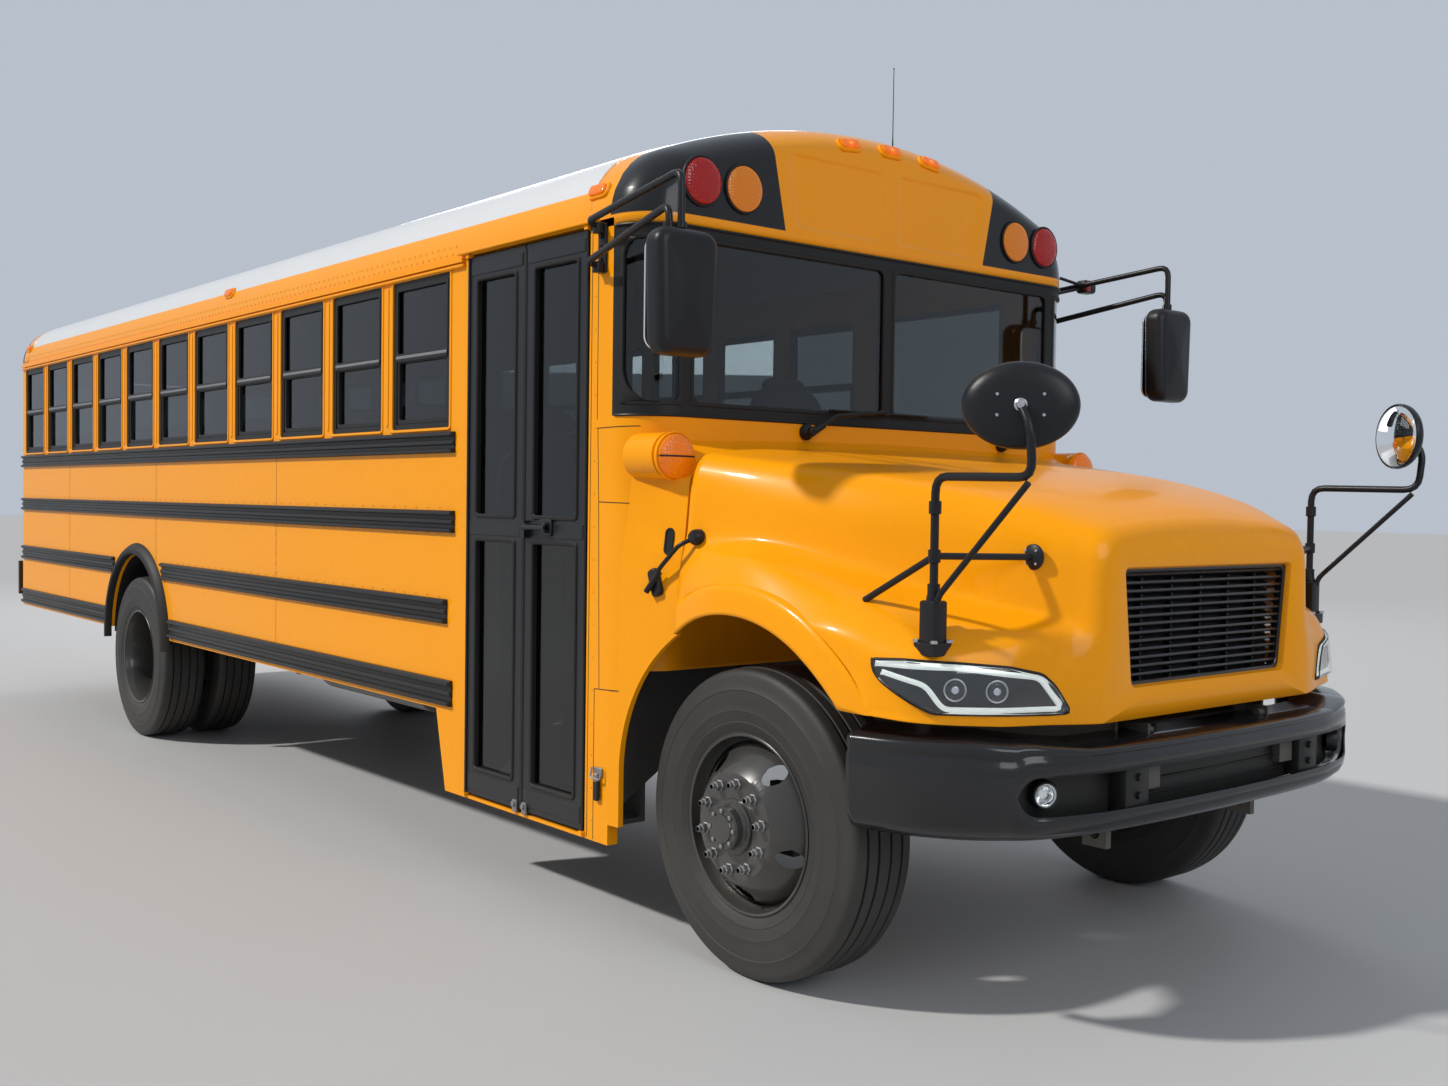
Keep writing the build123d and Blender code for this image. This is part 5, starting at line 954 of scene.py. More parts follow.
FRONT_TRACK, REAR_TRACK, TWIN = 1.010, 0.9165, 0.168
steer_tyre = turned(tyre_profile(), 128)
twin_tyres = merge(shifted(turned(tyre_profile(), 112), TWIN), shifted(turned(tyre_profile(0.134), 112), -TWIN))
SIDES = ((RIGHT, "right"), (LEFT, "left"))
for side, name in SIDES:
    piece(f"steer_tyre_{name}", on_wheel(steer_tyre, side, FRONT_TRACK, 0), tyre_rubber,
          f"wheel_front_{name}", [f"tyre_front_{name}"], crisp=24)
    piece(f"twin_tyres_{name}", on_wheel(twin_tyres, side, REAR_TRACK, WHEELBASE), tyre_rubber,
          f"wheel_rear_{name}", [f"tyres_rear_{name}"], crisp=24)
print("tyres", PIECES[-1][1])

# %% [markdown]
# The steel disc of a wheel is pressed with five hand holes and bolted on by ten nuts on a 285.75 mm circle. The
# front hub stands out through it, and the rear disc lies deep inside the outer rim.
# %% Wheel discs, hubs and nuts
HOLE_CIRCLE, HOLE_R, HOLES = 0.228, 0.031, 5
STUD_CIRCLE_R, STUDS, STUD_START = 0.142875, 10, 0.2


def pierced_disc(profile, start, columns_per_hole=56):
    """A turned sheet with hand holes: rows inside and outside the holes' circle part by the hole's half height."""
    r, h = np.asarray(profile, float).T
    order = np.argsort(r)
    columns = columns_per_hole * HOLES
    a = np.arange(columns) * 2 * np.pi / columns
    pitch = 2 * np.pi / HOLES
    away = np.abs((a - start + pitch / 2) % pitch - pitch / 2) * HOLE_CIRCLE
    part = np.sqrt(np.maximum(HOLE_R ** 2 - away ** 2, 0))
    inner = np.linspace(0, 1, 9)[:, None]
    low = r.min() + inner * (HOLE_CIRCLE - part - r.min())[None]
    high = (HOLE_CIRCLE + part)[None] + inner * (r.max() - HOLE_CIRCLE - part)[None]

    def sheet(radius):
        height = np.interp(radius, r[order], h[order])
        return patch(np.stack([radius * np.cos(a), radius * np.sin(a), height], -1), wrap_columns=True, flip=True)
    return merge(sheet(low), sheet(high))


def ring_of(shape, radius, count, start=0.0):
    """Copies of a shape evenly spread round a circle."""
    a = start + np.arange(count) * 2 * np.pi / count
    return repeated(shape, np.stack([radius * np.cos(a), radius * np.sin(a), a * 0], 1))


front_rim = turned([(0.2925, 0.112), (0.298, 0.119), (0.3, 0.1265), (0.297, 0.129), (0.29, 0.1265), (0.287, 0.118),
                    (0.284, 0.1), (0.272, 0.085), (0.272, 0.055), (0.268, 0.02), (0.262, -0.05), (0.28, -0.1),
                    (0.2925, -0.118), (0.2905, -0.1), (0.2905, 0.1)], 112, closed=True)
front_disc = pierced_disc([(0.088, 0.18), (0.165, 0.18), (0.176, 0.178), (0.19, 0.168), (0.215, 0.141),
                           (0.243, 0.108), (0.262, 0.084), (0.272, 0.07)], 0.3)
front_hub = turned([(0.092, 0.17), (0.092, 0.186), (0.089, 0.19), (0.078, 0.192), (0.072, 0.2), (0.07, 0.222),
                    (0.066, 0.2275), (0.048, 0.229), (0.046, 0.234), (0.028, 0.236), (0, 0.236)], 72)
flange_nut = turned([(0.02, 0), (0.02, 0.003), (0.0165, 0.006), (0.0162, 0.022), (0.014, 0.025), (0.0105, 0.025),
                     (0.0105, 0.036), (0.009, 0.038), (0, 0.038)], 6)
stud = turned([(0.0105, 0.0), (0.0105, 0.036), (0.009, 0.038), (0, 0.038)], 14)
nuts = ring_of(merge(flange_nut, stud), STUD_CIRCLE_R, STUDS, STUD_START)
front_bolts = ring_of(turned([(0.0075, 0), (0.0075, 0.006), (0.006, 0.007), (0, 0.007)], 6), 0.058, 8)
front_nuts = merge(shifted(nuts, 0.18), shifted(front_bolts, 0.2285))
rear_disc = pierced_disc([(0.118, 0.014), (0.16, 0.014), (0.19, 0.018), (0.22, 0.03), (0.245, 0.044),
                          (0.262, 0.05), (0.276, 0.05)], 0.5)
rear_rim = merge(turned([(0.2925, 0.28), (0.298, 0.287), (0.3, 0.2945), (0.297, 0.297), (0.29, 0.2945),
                         (0.287, 0.286), (0.284, 0.268), (0.276, 0.25), (0.276, 0.03), (0.2905, 0.03),
                         (0.2905, 0.26)], 112, closed=True),
                 turned([(0.2925, -0.28), (0.2905, -0.03), (0.276, -0.03), (0.276, -0.25), (0.284, -0.268),
                         (0.29, -0.2945), (0.298, -0.287)], 96, closed=True))
rear_hub = turned([(0.118, 0.0), (0.118, 0.05), (0.108, 0.062), (0.102, 0.1), (0.09, 0.112), (0.088, 0.146),
                   (0.08, 0.152), (0, 0.152)], 72)
rear_bolts = ring_of(turned([(0.009, 0), (0.009, 0.008), (0.007, 0.009), (0, 0.009)], 6), 0.07, 8)
rear_nuts = merge(shifted(nuts, 0.014), shifted(rear_bolts, 0.152))
for side, name in SIDES:
    for end, wheel, fixings, rims_node, track, y in (
            ("front", merge(front_rim, front_disc, front_hub), front_nuts, "rim_front", FRONT_TRACK, 0),
            ("rear", merge(rear_rim, rear_disc, rear_hub), rear_nuts, "rims_rear", REAR_TRACK, WHEELBASE)):
        body = f"wheel_{end}_{name}"
        piece(f"{end}_wheel_{name}", on_wheel(wheel, side, track, y), wheel_black, body,
              [f"{rims_node}_{name}"], crisp=30)
        piece(f"{end}_nuts_{name}", on_wheel(fixings, side, track, y), dull_zinc, body, crisp=30)
print("wheels", PIECES[-4][1])

# %% [markdown]
# The outside mirrors are moulded heads with soft edges on two bent steel arms. A soft-edged slab is an outline
# drawn in by a quarter circle towards each face. The head is a little narrower below than above, and its face
# looks back along the bus.
# %% Side mirrors
def pillow(loop, low, high, soft, steps=7, bulge=0.0):
    """A closed outline given a thickness, with quarter-circle edges and, if asked, faces that swell."""
    loop = np.asarray(loop, float)
    a = np.linspace(0, np.pi / 2, steps)
    rows = [(inset(loop, soft * (1 - np.sin(t))), low + soft * (1 - np.cos(t))) for t in a]
    rows += [(inset(loop, soft * (1 - np.cos(t))), high - soft * (1 - np.sin(t))) for t in a]
    middle = loop.mean(0)
    rim = rows[0][0]
    reach = np.abs(rim - middle).max(0)
    shares = np.array([0, 0.2, 0.4, 0.6, 0.8, 0.92])
    inside = middle + (rim - middle) * shares[:, None, None]
    swell = bulge * np.prod(1 - ((inside - middle) / reach) ** 2, axis=2)
    under = np.dstack([inside, low - swell])
    over = np.dstack([inside, high + swell])[::-1]
    return patch(np.concatenate([under, at_heights(rows), over]), wrap_columns=True, flip=True)


def pad(width, height, corner, low, high, soft, steps=5, soft_steps=7, centre=(0, 0), bulge=0.0):
    """A soft-edged rectangular slab."""
    return pillow(oblong(width, height, corner, steps, centre), low, high, soft, soft_steps, bulge)


MIRROR_X, MIRROR_Y, MIRROR_Z = 1.36, 0.1, 2.245
head_loop = oblong(0.24, 0.405, 0.055, 8)
head_loop[:, 0] *= 1 + 0.05 * head_loop[:, 1] / 0.2
mirror_head = placed(pillow(head_loop, -0.045, 0.055, 0.036, 8, 0.012), (MIRROR_X, aft(MIRROR_Y), MIRROR_Z),
                     **OUT_FRONT)
mirror_glass = placed(pad(0.205, 0.365, 0.045, 0, 0.008, 0.003, 8, 4), (MIRROR_X, aft(MIRROR_Y + 0.052), MIRROR_Z),
                      (1, 0, 0), (0, 0, 1), (0, 1, 0))
ARM_Y, LOWER_X, LOWER_Y = 0.735, 1.39, 0.125
arms = merge(*[bar([(1.229, aft(ARM_Y), low), (1.289, aft(ARM_Y), low + rise), (x, aft(y), top), (x, aft(y), 2.43)],
                   0.0125, 0.045)
               for x, y, low, rise, top in ((MIRROR_X, MIRROR_Y, 2.555, 0.02, 2.64),
                                            (LOWER_X, LOWER_Y, 2.415, 0.015, 2.53))])
bracket = merge(block((1.2193, 1.231), (0.712, 0.758), (2.395, 2.575), 0.002),
                *[block((1.225, 1.262), (0.718, 0.752), (z - 0.02, z + 0.02), 0.003) for z in (2.555, 2.415)])
bolt_head = turned([(0.011, 0), (0.011, 0.007), (0.009, 0.009), (0, 0.009)], 6)
bracket_bolts = copies(bolt_head, [(1.231, aft(ARM_Y), z) for z in (2.44, 2.485, 2.53)], **OUT_LEFT)
clamp = turned([(0.014, -0.012), (0.0185, -0.01), (0.0185, 0.01), (0.014, 0.012)], 20)
clamps = copies(clamp, [(x, aft(y), 2.462) for x, y in ((MIRROR_X, MIRROR_Y), (LOWER_X, LOWER_Y))])
piece("side_mirror_heads", both(merge(mirror_head, arms, bracket, bracket_bolts, clamps)),
      mould_black, replaces=["side_mirrors"])
piece("side_mirror_glasses", both(mirror_glass), chrome)
print("side mirrors", PIECES[-2][1])

# %% [markdown]
# The crossover mirrors let the driver see what is close in front. Each is an oval convex bowl on a black shell,
# carried by a bent tube from a foot on the fender, with struts back to the hood.
# %% Crossover mirrors
CROSS_X, CROSS_Z, CROSS_TURN = 1.093, 1.851, radians(51)
OVAL_U, OVAL_V = 0.1585, 0.12
FOOT_X, FOOT_Y = 1.07, -0.745
look = np.array([np.sin(CROSS_TURN), -np.cos(CROSS_TURN), 0])
wide = np.array([np.cos(CROSS_TURN), np.sin(CROSS_TURN), 0])
head_y = -1.2 + OVAL_U * np.sin(CROSS_TURN) + 0.015 * np.cos(CROSS_TURN)
head_at = np.array([CROSS_X, aft(head_y), CROSS_Z])
looking_back = dict(u=wide, v=(0, 0, 1), w=-look)


def over_foot(z, out=0.0, back=0.0):
    """A place above the mirror's foot on the fender, or a little outwards or behind it."""
    return FOOT_X + out, aft(FOOT_Y) + back, z


def dome(radius, rise, start, steps=12, power=1.0):
    """(radius, height) points of a dome, from its rim to its top; it is flatter on top for a power below 1."""
    t = np.linspace(0, np.pi / 2, steps)
    return [(radius * np.cos(a), start + rise * np.sin(a) ** power) for a in t]


def oval(shape):
    """A turned shape of radius one, stretched to an oval and set to face back along the bus."""
    verts, groups = shape
    return placed((verts * np.array([OVAL_U, OVAL_V, 1.0]), groups), head_at, **looking_back)


mirror_bowl = turned([(0, -0.036), (0.3, -0.0355), (0.55, -0.033), (0.75, -0.028), (0.9, -0.018), (0.97, -0.008),
                      (1.0, 0.004), (1.0, 0.012), (0.985, 0.016), (0.96, 0.014), (0.95, 0.008)], 72)
mirror_face = turned(dome(0.955, 0.034, 0.008, 16), 72)
STRUT_Z, STRUT_Y = 1.429, -0.82
post = bar([over_foot(1.28), over_foot(1.66), (1.115, aft(-1.13), 1.655), (1.135, aft(-1.135), 1.79),
            head_at + look * 0.04], 0.0125, 0.05)
stay = bar([over_foot(1.27, 0.012, -0.018), over_foot(1.315, 0.012, -0.03), (1.11, aft(-1.112), 1.64)], 0.0095, 0.03)
strut = bar([over_foot(STRUT_Z), (0.718, aft(STRUT_Y), 1.424)], 0.0105)
rear_strut = bar([over_foot(STRUT_Z), (1.09, aft(-0.486), 1.286)], 0.0105)
foot_block = merge(*[block((FOOT_X - half, FOOT_X + half), (FOOT_Y - half, FOOT_Y + half), z, edge)
                     for half, z, edge in ((0.04, (1.14, 1.178), 0.003), (0.03, (1.17, 1.3), 0.005))],
                   placed(turned([(0, 0.02), (0.02, 0.016), (0.022, 0), (0.022, -0.02)], 20), over_foot(1.3)))
collar = turned([(0.0125, -0.02), (0.0185, -0.018), (0.0185, 0.018), (0.0125, 0.02)], 20)
collars = copies(collar, [over_foot(z) for z in (STRUT_Z, 1.57, 1.33)])
strut_flange = placed(turned([(0, 0.012), (0.02, 0.012), (0.038, 0.004), (0.04, -0.004), (0, -0.004)], 28),
                      (0.714, aft(STRUT_Y), 1.424), **OUT_LEFT)
piece("crossover_backs", both(merge(oval(mirror_bowl), post, stay, strut, rear_strut, foot_block, collars,
                                    strut_flange)), mould_black, "hood", replaces=["crossover_mirrors"])
piece("crossover_faces", both(oval(mirror_face)), chrome, "hood")
screw = turned([(0, -0.0035), (0.004, -0.0035), (0.006, 0)], 12)
back_bolts = merge(copies(screw, [head_at + wide * u + np.array([0, 0, v]) + look * 0.0325
                                  for u in (-0.062, 0.062) for v in (-0.028, 0.028)], **looking_back),
                   placed(turned([(0, -0.026), (0.011, -0.024), (0.013, -0.006), (0.02, 0)], 16),
                          head_at + look * 0.034, **looking_back))
foot_bolts = copies(bolt_head, [over_foot(1.178, out, back) for out in (-0.033, 0.033) for back in (-0.034, 0.034)])
flange_bolt = turned([(0.0045, 0), (0.0045, 0.004), (0, 0.005)], 8)
flange_bolts = copies(flange_bolt, [(0.722, aft(STRUT_Y + 0.028 * np.cos(a)), 1.424 + 0.028 * np.sin(a))
                                    for a in (0.8, 2.37, 3.94, 5.5)], **OUT_LEFT)
piece("crossover_bolts", both(merge(back_bolts, foot_bolts, flange_bolts)), bright_steel, "hood")
print("crossover mirrors", PIECES[-3][1])

# %% [markdown]
# Rub rails are rolled steel strips with a bead along each edge and a flatter one between. One section is carried
# from end to end, its ends broken; where a rail meets the rear arch it is cut off beside the rubber flare.
# %% Rub rails
RAIL_BANDS = ((1.766, 1.856, 1.817), (1.428, 1.522, 1.817), (1.040, 1.144, 1.876), (0.690, 0.801, 1.828))
RAIL_END = 8.84
FLARE_R, REAR_ARCH_Z = 0.625, 0.635


def rail_strip(low, high, start, end):
    """A rail between two places: its section has a bead along each edge and a shallow one in the middle. Half of it
    is listed, as (distance outwards, share of the height), and the other half is its mirror image."""
    lower = np.array([(0, 0), (0.014, 0), (0.021, 0.05), (0.023, 0.1), (0.0225, 0.18), (0.008, 0.23), (0.0065, 0.38),
                      (0.013, 0.42), (0.0145, 0.46)])
    section = np.concatenate([lower, np.column_stack([lower[::-1, 0], 1 - lower[::-1, 1]])])
    x = HALF + 0.0004 + section[:, 0]
    z = low + section[:, 1] * (high - low)
    ends = np.array([start, start, start + 0.006, end - 0.006, end, end])
    keep = np.array([0, 0.75, 1, 1, 0.75, 0])[:, None]
    return patch(grid(HALF + (x - HALF) * keep, aft(ends)[:, None], z), flip=True)


strips = []
for low, high, start in RAIL_BANDS:
    near = 0 if low < REAR_ARCH_Z < high else min(abs(low - REAR_ARCH_Z), abs(high - REAR_ARCH_Z))
    reach = np.sqrt(max(FLARE_R ** 2 - near ** 2, 0))
    runs = ((start, WHEELBASE - reach), (WHEELBASE + reach, RAIL_END)) if reach else ((start, RAIL_END),)
    strips += [rail_strip(low, high, *run) for run in runs]
piece("rub_rail_strips", both(merge(*strips)), rail_black, replaces=["rub_rails"], crisp=28)
print("rub rails", PIECES[-1][1])

# %% [markdown]
# Each end of the roof is closed by a moulded glass-fibre cap. Its section grows from the flat face to the roof's
# own section along a quarter ellipse, so the edge is round all the way. The sign panels in its middle are pressed
# 8 mm into the face, which is done by moving the points inside their outline back.
# %% Roof caps
CAP_ROUND, CAP_DEPTH, CAP_WALL = 0.19, 0.35, 0.012
CAP_HALF, CAP_CROWN, CAP_SHOULDER = 1.029, 2.945, 0.2
CAP_RISE, CAP_SHOULDER_RISE = 0.117, 0.09
SEAM_RISE, SEAM_ROUNDER = 0.008, 0.01
PANEL_INNER, PANEL_OUTER, PANEL_LEAN, PANEL_FOOT, PANEL_HEAD = 0.045, 0.505, 0.2, 2.617, 2.9
PANEL_CORNER, PANEL_SLOPE, PANEL_DEPTH = 0.03, 0.014, 0.008
SCREEN_HEAD, SCREEN_FOOT = 2.56, 1.88


def roof_section(half, top, corner, share):
    """A roof's section: share runs from -1 to 1 over the crown, and on to -2 or 2 round a shoulder to the eave."""
    centre, rise = half - corner, top - EAVE
    crown = (centre ** 2 + rise ** 2 - corner ** 2) / (2 * (rise - corner))
    lean = np.arctan2(centre, EAVE - top + crown)
    size, sign = np.abs(share), np.sign(share)
    on_crown = size <= 1
    angle = np.where(on_crown, size * lean, lean + (size - 1) * (np.pi / 2 - lean))
    x = np.where(on_crown, crown * np.sin(angle), centre + corner * np.sin(angle))
    z = np.where(on_crown, top - crown + crown * np.cos(angle), EAVE + corner * np.cos(angle))
    return sign * x, z


def pressed_depth(x, z):
    """How far the cap's face is pressed in: 8 mm inside each sign panel, which leans with the black corners."""
    size, corner = np.abs(x), PANEL_CORNER
    sides = np.stack([size - PANEL_INNER, PANEL_OUTER + PANEL_LEAN * (z - PANEL_FOOT) - size, z - PANEL_FOOT,
                      PANEL_HEAD - z])
    reach = np.maximum(corner - sides, 0)
    inside = np.minimum(corner - np.hypot(np.maximum(reach[0], reach[1]), np.maximum(reach[2], reach[3])), corner)
    return PANEL_DEPTH * (0.5 - 0.5 * np.cos(np.pi * np.clip(inside / PANEL_SLOPE, 0, 1)))


def cap_skin(face, way, foot):
    """A cap as one surface: the flat face, its round edge and the run back to the roof's seam. Its columns stand
    closer where a sign panel's edge passes, and way is 1 on the front cap and -1 on the rear one."""
    near = np.array([0.02, 0.045, 0.056, 0.066, 0.075, 0.09, 0.465, 0.48, 0.495, 0.51, 0.525, 0.54, 0.555, 0.57,
                     0.585, 0.6])
    half = np.concatenate([near, np.linspace(0.62, 1.015, 18), [CAP_HALF]])
    columns = np.unique(np.round(np.concatenate([half, -half, np.linspace(-0.44, 0.44, 21)]), 5))
    fine = np.linspace(-2, 2, 1601)
    share = np.interp(columns, roof_section(CAP_HALF, CAP_CROWN, CAP_SHOULDER, fine)[0], fine)
    share = np.unique(np.concatenate([share, [-2, -1.9, -1.8, -1.7, 1.7, 1.8, 1.9, 2]]))
    turn_at = np.concatenate([np.linspace(0, 0.35, 8), np.linspace(0.45, np.pi / 2, 12)])
    rise = np.concatenate([np.sin(turn_at), np.ones(5)])[:, None]
    run = np.linspace(0, 1, 6)[1:]
    back = np.concatenate([CAP_ROUND * (1 - np.cos(turn_at)), CAP_ROUND + (CAP_DEPTH - CAP_ROUND) * run])[:, None]
    to_seam = np.concatenate([np.zeros(len(turn_at)), run])[:, None]
    x, z = roof_section(CAP_HALF + CAP_ROUND * rise, CAP_CROWN + CAP_RISE * rise + SEAM_RISE * to_seam,
                        CAP_SHOULDER + CAP_SHOULDER_RISE * rise + SEAM_ROUNDER * to_seam, share)
    hem = ((0, 0), (1, 1))
    x, z = np.pad(x, hem, mode="edge"), np.pad(z, hem, constant_values=foot)
    round_edge = grid(x, back + pressed_depth(x, z), z)
    levels = np.concatenate([[foot, EAVE, 2.605], np.linspace(2.613, 2.649, 10), np.linspace(2.67, 2.86, 10),
                             np.linspace(2.872, 2.904, 9), [2.92, 2.95]])
    face_z = np.minimum(levels[:, None], z[0])
    flat = grid(x[0], pressed_depth(x[0] + 0 * face_z, face_z), face_z)
    shape = merge(patch(round_edge, flip=True), patch(flat, flip=True))
    shape[0][:, 1] = aft(face + way * shape[0][:, 1])
    return shape if way > 0 else (shape[0], [g[:, ::-1] for g in shape[1]])


for name, face, way, foot, paint in (("front_cap", FACE, 1, SCREEN_HEAD, front_cap_paint),
                                     ("rear_cap", CAP_REAR, -1, EAVE, rear_cap_paint)):
    walled(piece(name + "_skin", cap_skin(face, way, foot), paint, replaces=[name]), CAP_WALL,
           even=True)
print("caps", PIECES[-2][1], PIECES[-1][1])

# %% [markdown]
# A lamp on a bus is a lens in a bezel, in front of a silvered bowl. The lens is a shallow dome with a small rim. The
# warning lamps sit in the black corners of the caps, the same front and rear, and the tail lamps on the rear wall.
# %% Warning, cowl and tail lamps
def lens_form(radius, rise=0.012, start=0.008):
    """A dome that flattens towards its middle, on a short cylindrical rim."""
    return turned([(radius, 0)] + dome(radius, rise, start, 9, 0.8), 64)


def bezel_form(radius, width, height=0.01):
    """A ring with a rounded top and an inner wall that falls behind the lens."""
    a = np.linspace(0, np.pi, 9)
    crest = [(radius + width / 2 + width / 2 * np.cos(t), height - width / 3 + width / 3 * np.sin(t)) for t in a]
    return turned([(radius + width, 0)] + crest + [(radius - 0.001, -0.012)], 64)


def bowl_form(radius, depth):
    """A parabola turned about its axis, open to the front."""
    r = np.linspace(0, 1, 9)
    return turned([(radius * s, depth * (s ** 2 - 1)) for s in r], 48)


WARNING_Z, TAIL_Y, TAIL_Z = 2.724, 9.06, 1.56


def lamp_places(on_caps, on_tail):
    """Both sides of each cap, and then of the rear wall, at distances from the middle."""
    caps = [((s * on_caps, aft(y), WARNING_Z), axes) for y, axes in ((FACE, OUT_FRONT), (CAP_REAR, OUT_REAR))
            for s in (-1, 1)]
    return caps, [((s * on_tail, aft(TAIL_Y), TAIL_Z), OUT_REAR) for s in (-1, 1)]


(red_caps, red_tails), (amber_caps, amber_tails) = lamp_places(0.972, 0.8), lamp_places(0.775, 1.0)
tails = red_tails + amber_tails


def at_each(shape, places):
    """A copy of a shape at each place, laid along the axes given with it."""
    return merge(*[placed(shape, at, **axes) for at, axes in places])


LENS_R, COWL_LENS_R = 0.083, 0.079
all_places = red_caps + amber_caps + tails
reds = at_each(lens_form(LENS_R, 0.016), red_caps + red_tails)
ambers = at_each(lens_form(LENS_R, 0.01), amber_caps + amber_tails)
rings = at_each(bezel_form(LENS_R, 0.009), all_places)
tail_cups = at_each(turned([(0.092, -0.03), (0.092, 0), (0.084, 0)], 48), tails)
cowl_place = [((-1.15, aft(0.395), 1.733), OUT_FRONT)]
cowl_housing = turned([(0.036, -0.17), (0.048, -0.12), (0.066, -0.07), (0.079, -0.03), (0.0855, 0), (0.0855, 0.006),
                       (0.083, 0.009), (0.08, 0.006), (0.079, -0.02)], 64)
band_u = np.linspace(-COWL_LENS_R, COWL_LENS_R, 41)
band_v = np.array([[-0.0035], [-0.003], [0.003], [0.0035]])
band_w = 0.008 + 0.028 * np.sqrt(1 - (band_u / 0.0791) ** 2) ** 0.8
cowl_band = patch(grid(band_u, band_v, band_w + np.array([[-0.006], [0.001], [0.001], [-0.006]])), flip=True)
ambers = merge(ambers, both(at_each(lens_form(COWL_LENS_R, 0.028), cowl_place)))
piece("lens_red", reds, red_lens, replaces=["lamps_red"])
piece("lamp_bezels", merge(rings, tail_cups, both(at_each(cowl_band, cowl_place))), satin_black)
piece("cowl_lamp_housings", both(at_each(cowl_housing, cowl_place)), yellow_paint)
bowl_places = [(np.array(at) + 0.004 * np.array(axes["w"]), axes) for at, axes in all_places]
cowl_bowls = both(at_each(bowl_form(COWL_LENS_R - 0.002, 0.03), cowl_place))
piece("lamp_bowls", merge(at_each(bowl_form(LENS_R - 0.001, 0.03), bowl_places), cowl_bowls), reflector)
print("lamps", PIECES[-4][1] + PIECES[-1][1])

# %% [markdown]
# Clearance and side marker lamps are small amber boxes with soft corners, each in a painted surround that stands
# square to the curved skin. The skin's slope at a place follows from the same ellipse as the cap.
# %% Marker lamps
CROWN_R, ROOF_SHOULDER = 2.494, 0.3


def cap_frame(x, z, way, face):
    """The place on a cap's round edge at (x, z), with axes across, up the slope and outwards."""
    foot = CAP_CROWN - CROWN_R + np.sqrt(CROWN_R ** 2 - x ** 2)
    rise = np.arcsin((z - foot) / CAP_RISE)
    slope = unit(np.array([0, way * CAP_ROUND * np.sin(rise), CAP_RISE * np.cos(rise)]))
    u = unit(np.array([way, 0, -way * x / CROWN_R]))
    w = np.cross(u, slope)
    return (x, aft(face + way * CAP_ROUND * (1 - np.cos(rise))), z), dict(u=u, v=np.cross(w, u), w=w)


def side_frame(y, z):
    """The place on the right shoulder at a height above the eave, with axes aft, up and outwards."""
    angle = np.arccos((z - EAVE) / ROOF_SHOULDER)
    w = np.array([-np.sin(angle), 0, np.cos(angle)])
    place = (-HALF + ROOF_SHOULDER * (1 - np.sin(angle)), aft(y), z)
    return place, dict(u=(0, -1, 0), v=np.cross(w, (0, -1, 0)), w=w)


marker_lens = pad(0.098, 0.042, 0.016, 0.004, 0.02, 0.006, 6, 5, bulge=0.002)
marker_base = pad(0.122, 0.062, 0.024, -0.006, 0.009, 0.006, 6, 5)
marker_bulb = pad(0.02, 0.012, 0.005, 0.012, 0.018, 0.003, 4, 4)
cap_places = [cap_frame(x, z, way, face) for way, face in ((1, FACE), (-1, CAP_REAR))
              for x, z in ((-0.23, 2.976), (0, 2.986), (0.23, 2.976))]
side_places = [side_frame(y, 2.703) for y in (0.798, 4.437, 8.72)]
lenses = merge(at_each(marker_lens, cap_places), both(at_each(marker_lens, side_places)))
piece("lens_amber", merge(ambers, lenses), amber_lens, replaces=["lamps_amber"])
piece("marker_surrounds", merge(at_each(marker_base, cap_places), both(at_each(marker_base, side_places))),
      yellow_paint)
piece("marker_bulbs", at_each(marker_bulb, cap_places), bulb_light)
print("marker lamps", PIECES[-2][1])

# %% [markdown]
# The front of the body is a flat wall with round corners. Rubber gaskets, wipers and panel joints are drawn on that
# wall unrolled flat, as (distance from the middle, height, distance outwards), and then bent round it.
# %% The windscreen's gaskets, on the unrolled wall
WALL_TURN, WALL_QUARTER = HALF - CORNER, CORNER * np.pi / 2


def bent(shape):
    """Bends an unrolled shape round the front: along the face, round a quarter circle, then along the side."""
    verts, groups = shape
    s, z, out = verts.T
    size, sign = np.abs(s), np.where(s < 0, -1.0, 1.0)
    angle = np.clip((size - WALL_TURN) / CORNER, 0, np.pi / 2)
    beyond = np.maximum(size - WALL_TURN - WALL_QUARTER, 0)
    x = np.minimum(size, WALL_TURN) + (CORNER + out) * np.sin(angle)
    y = FACE + CORNER - (CORNER + out) * np.cos(angle) + beyond
    return np.column_stack([sign * x, aft(y), z]), groups


def split_edges(loop, longest=0.02, guide=None):
    """A closed outline with points added, so that no edge of it, or of a guide outline, is longer than asked."""
    guide = loop if guide is None else guide
    pieces = np.ceil(np.linalg.norm(np.roll(guide, -1, axis=0) - guide, axis=1) / longest)
    pieces = np.maximum(pieces, 1).astype(int)
    step = (np.arange(pieces.sum()) - np.repeat(np.cumsum(pieces) - pieces, pieces)) / np.repeat(pieces, pieces)
    start, end = np.repeat(loop, pieces, axis=0), np.repeat(np.roll(loop, -1, axis=0), pieces, axis=0)
    return start * (1 - step)[:, None] + end * step[:, None]


def window_ring(s, z, corners, lap=0.012, lip=0.004):
    """A gasket's outer and inner outlines round an opening, the inner one with its own corner radii."""
    def outline(grow, radii):
        x_mid, z_mid, w, h = (s[0] + s[1]) / 2, (z[0] + z[1]) / 2, s[1] - s[0] + 2 * grow, z[1] - z[0] + 2 * grow
        a = np.linspace(0, np.pi / 2, 9)
        return np.concatenate([np.stack([x_mid + sx * (w / 2 - r) + r * np.cos(a + k * np.pi / 2),
                                         z_mid + sz * (h / 2 - r) + r * np.sin(a + k * np.pi / 2)], 1)
                               for k, (sx, sz, r) in enumerate(zip((1, -1, -1, 1), (1, 1, -1, -1), radii))])
    outer, inner = outline(lap, [0.012] * 4), outline(-lip, corners)
    return [split_edges(loop, guide=outer) for loop in (outer, inner)]


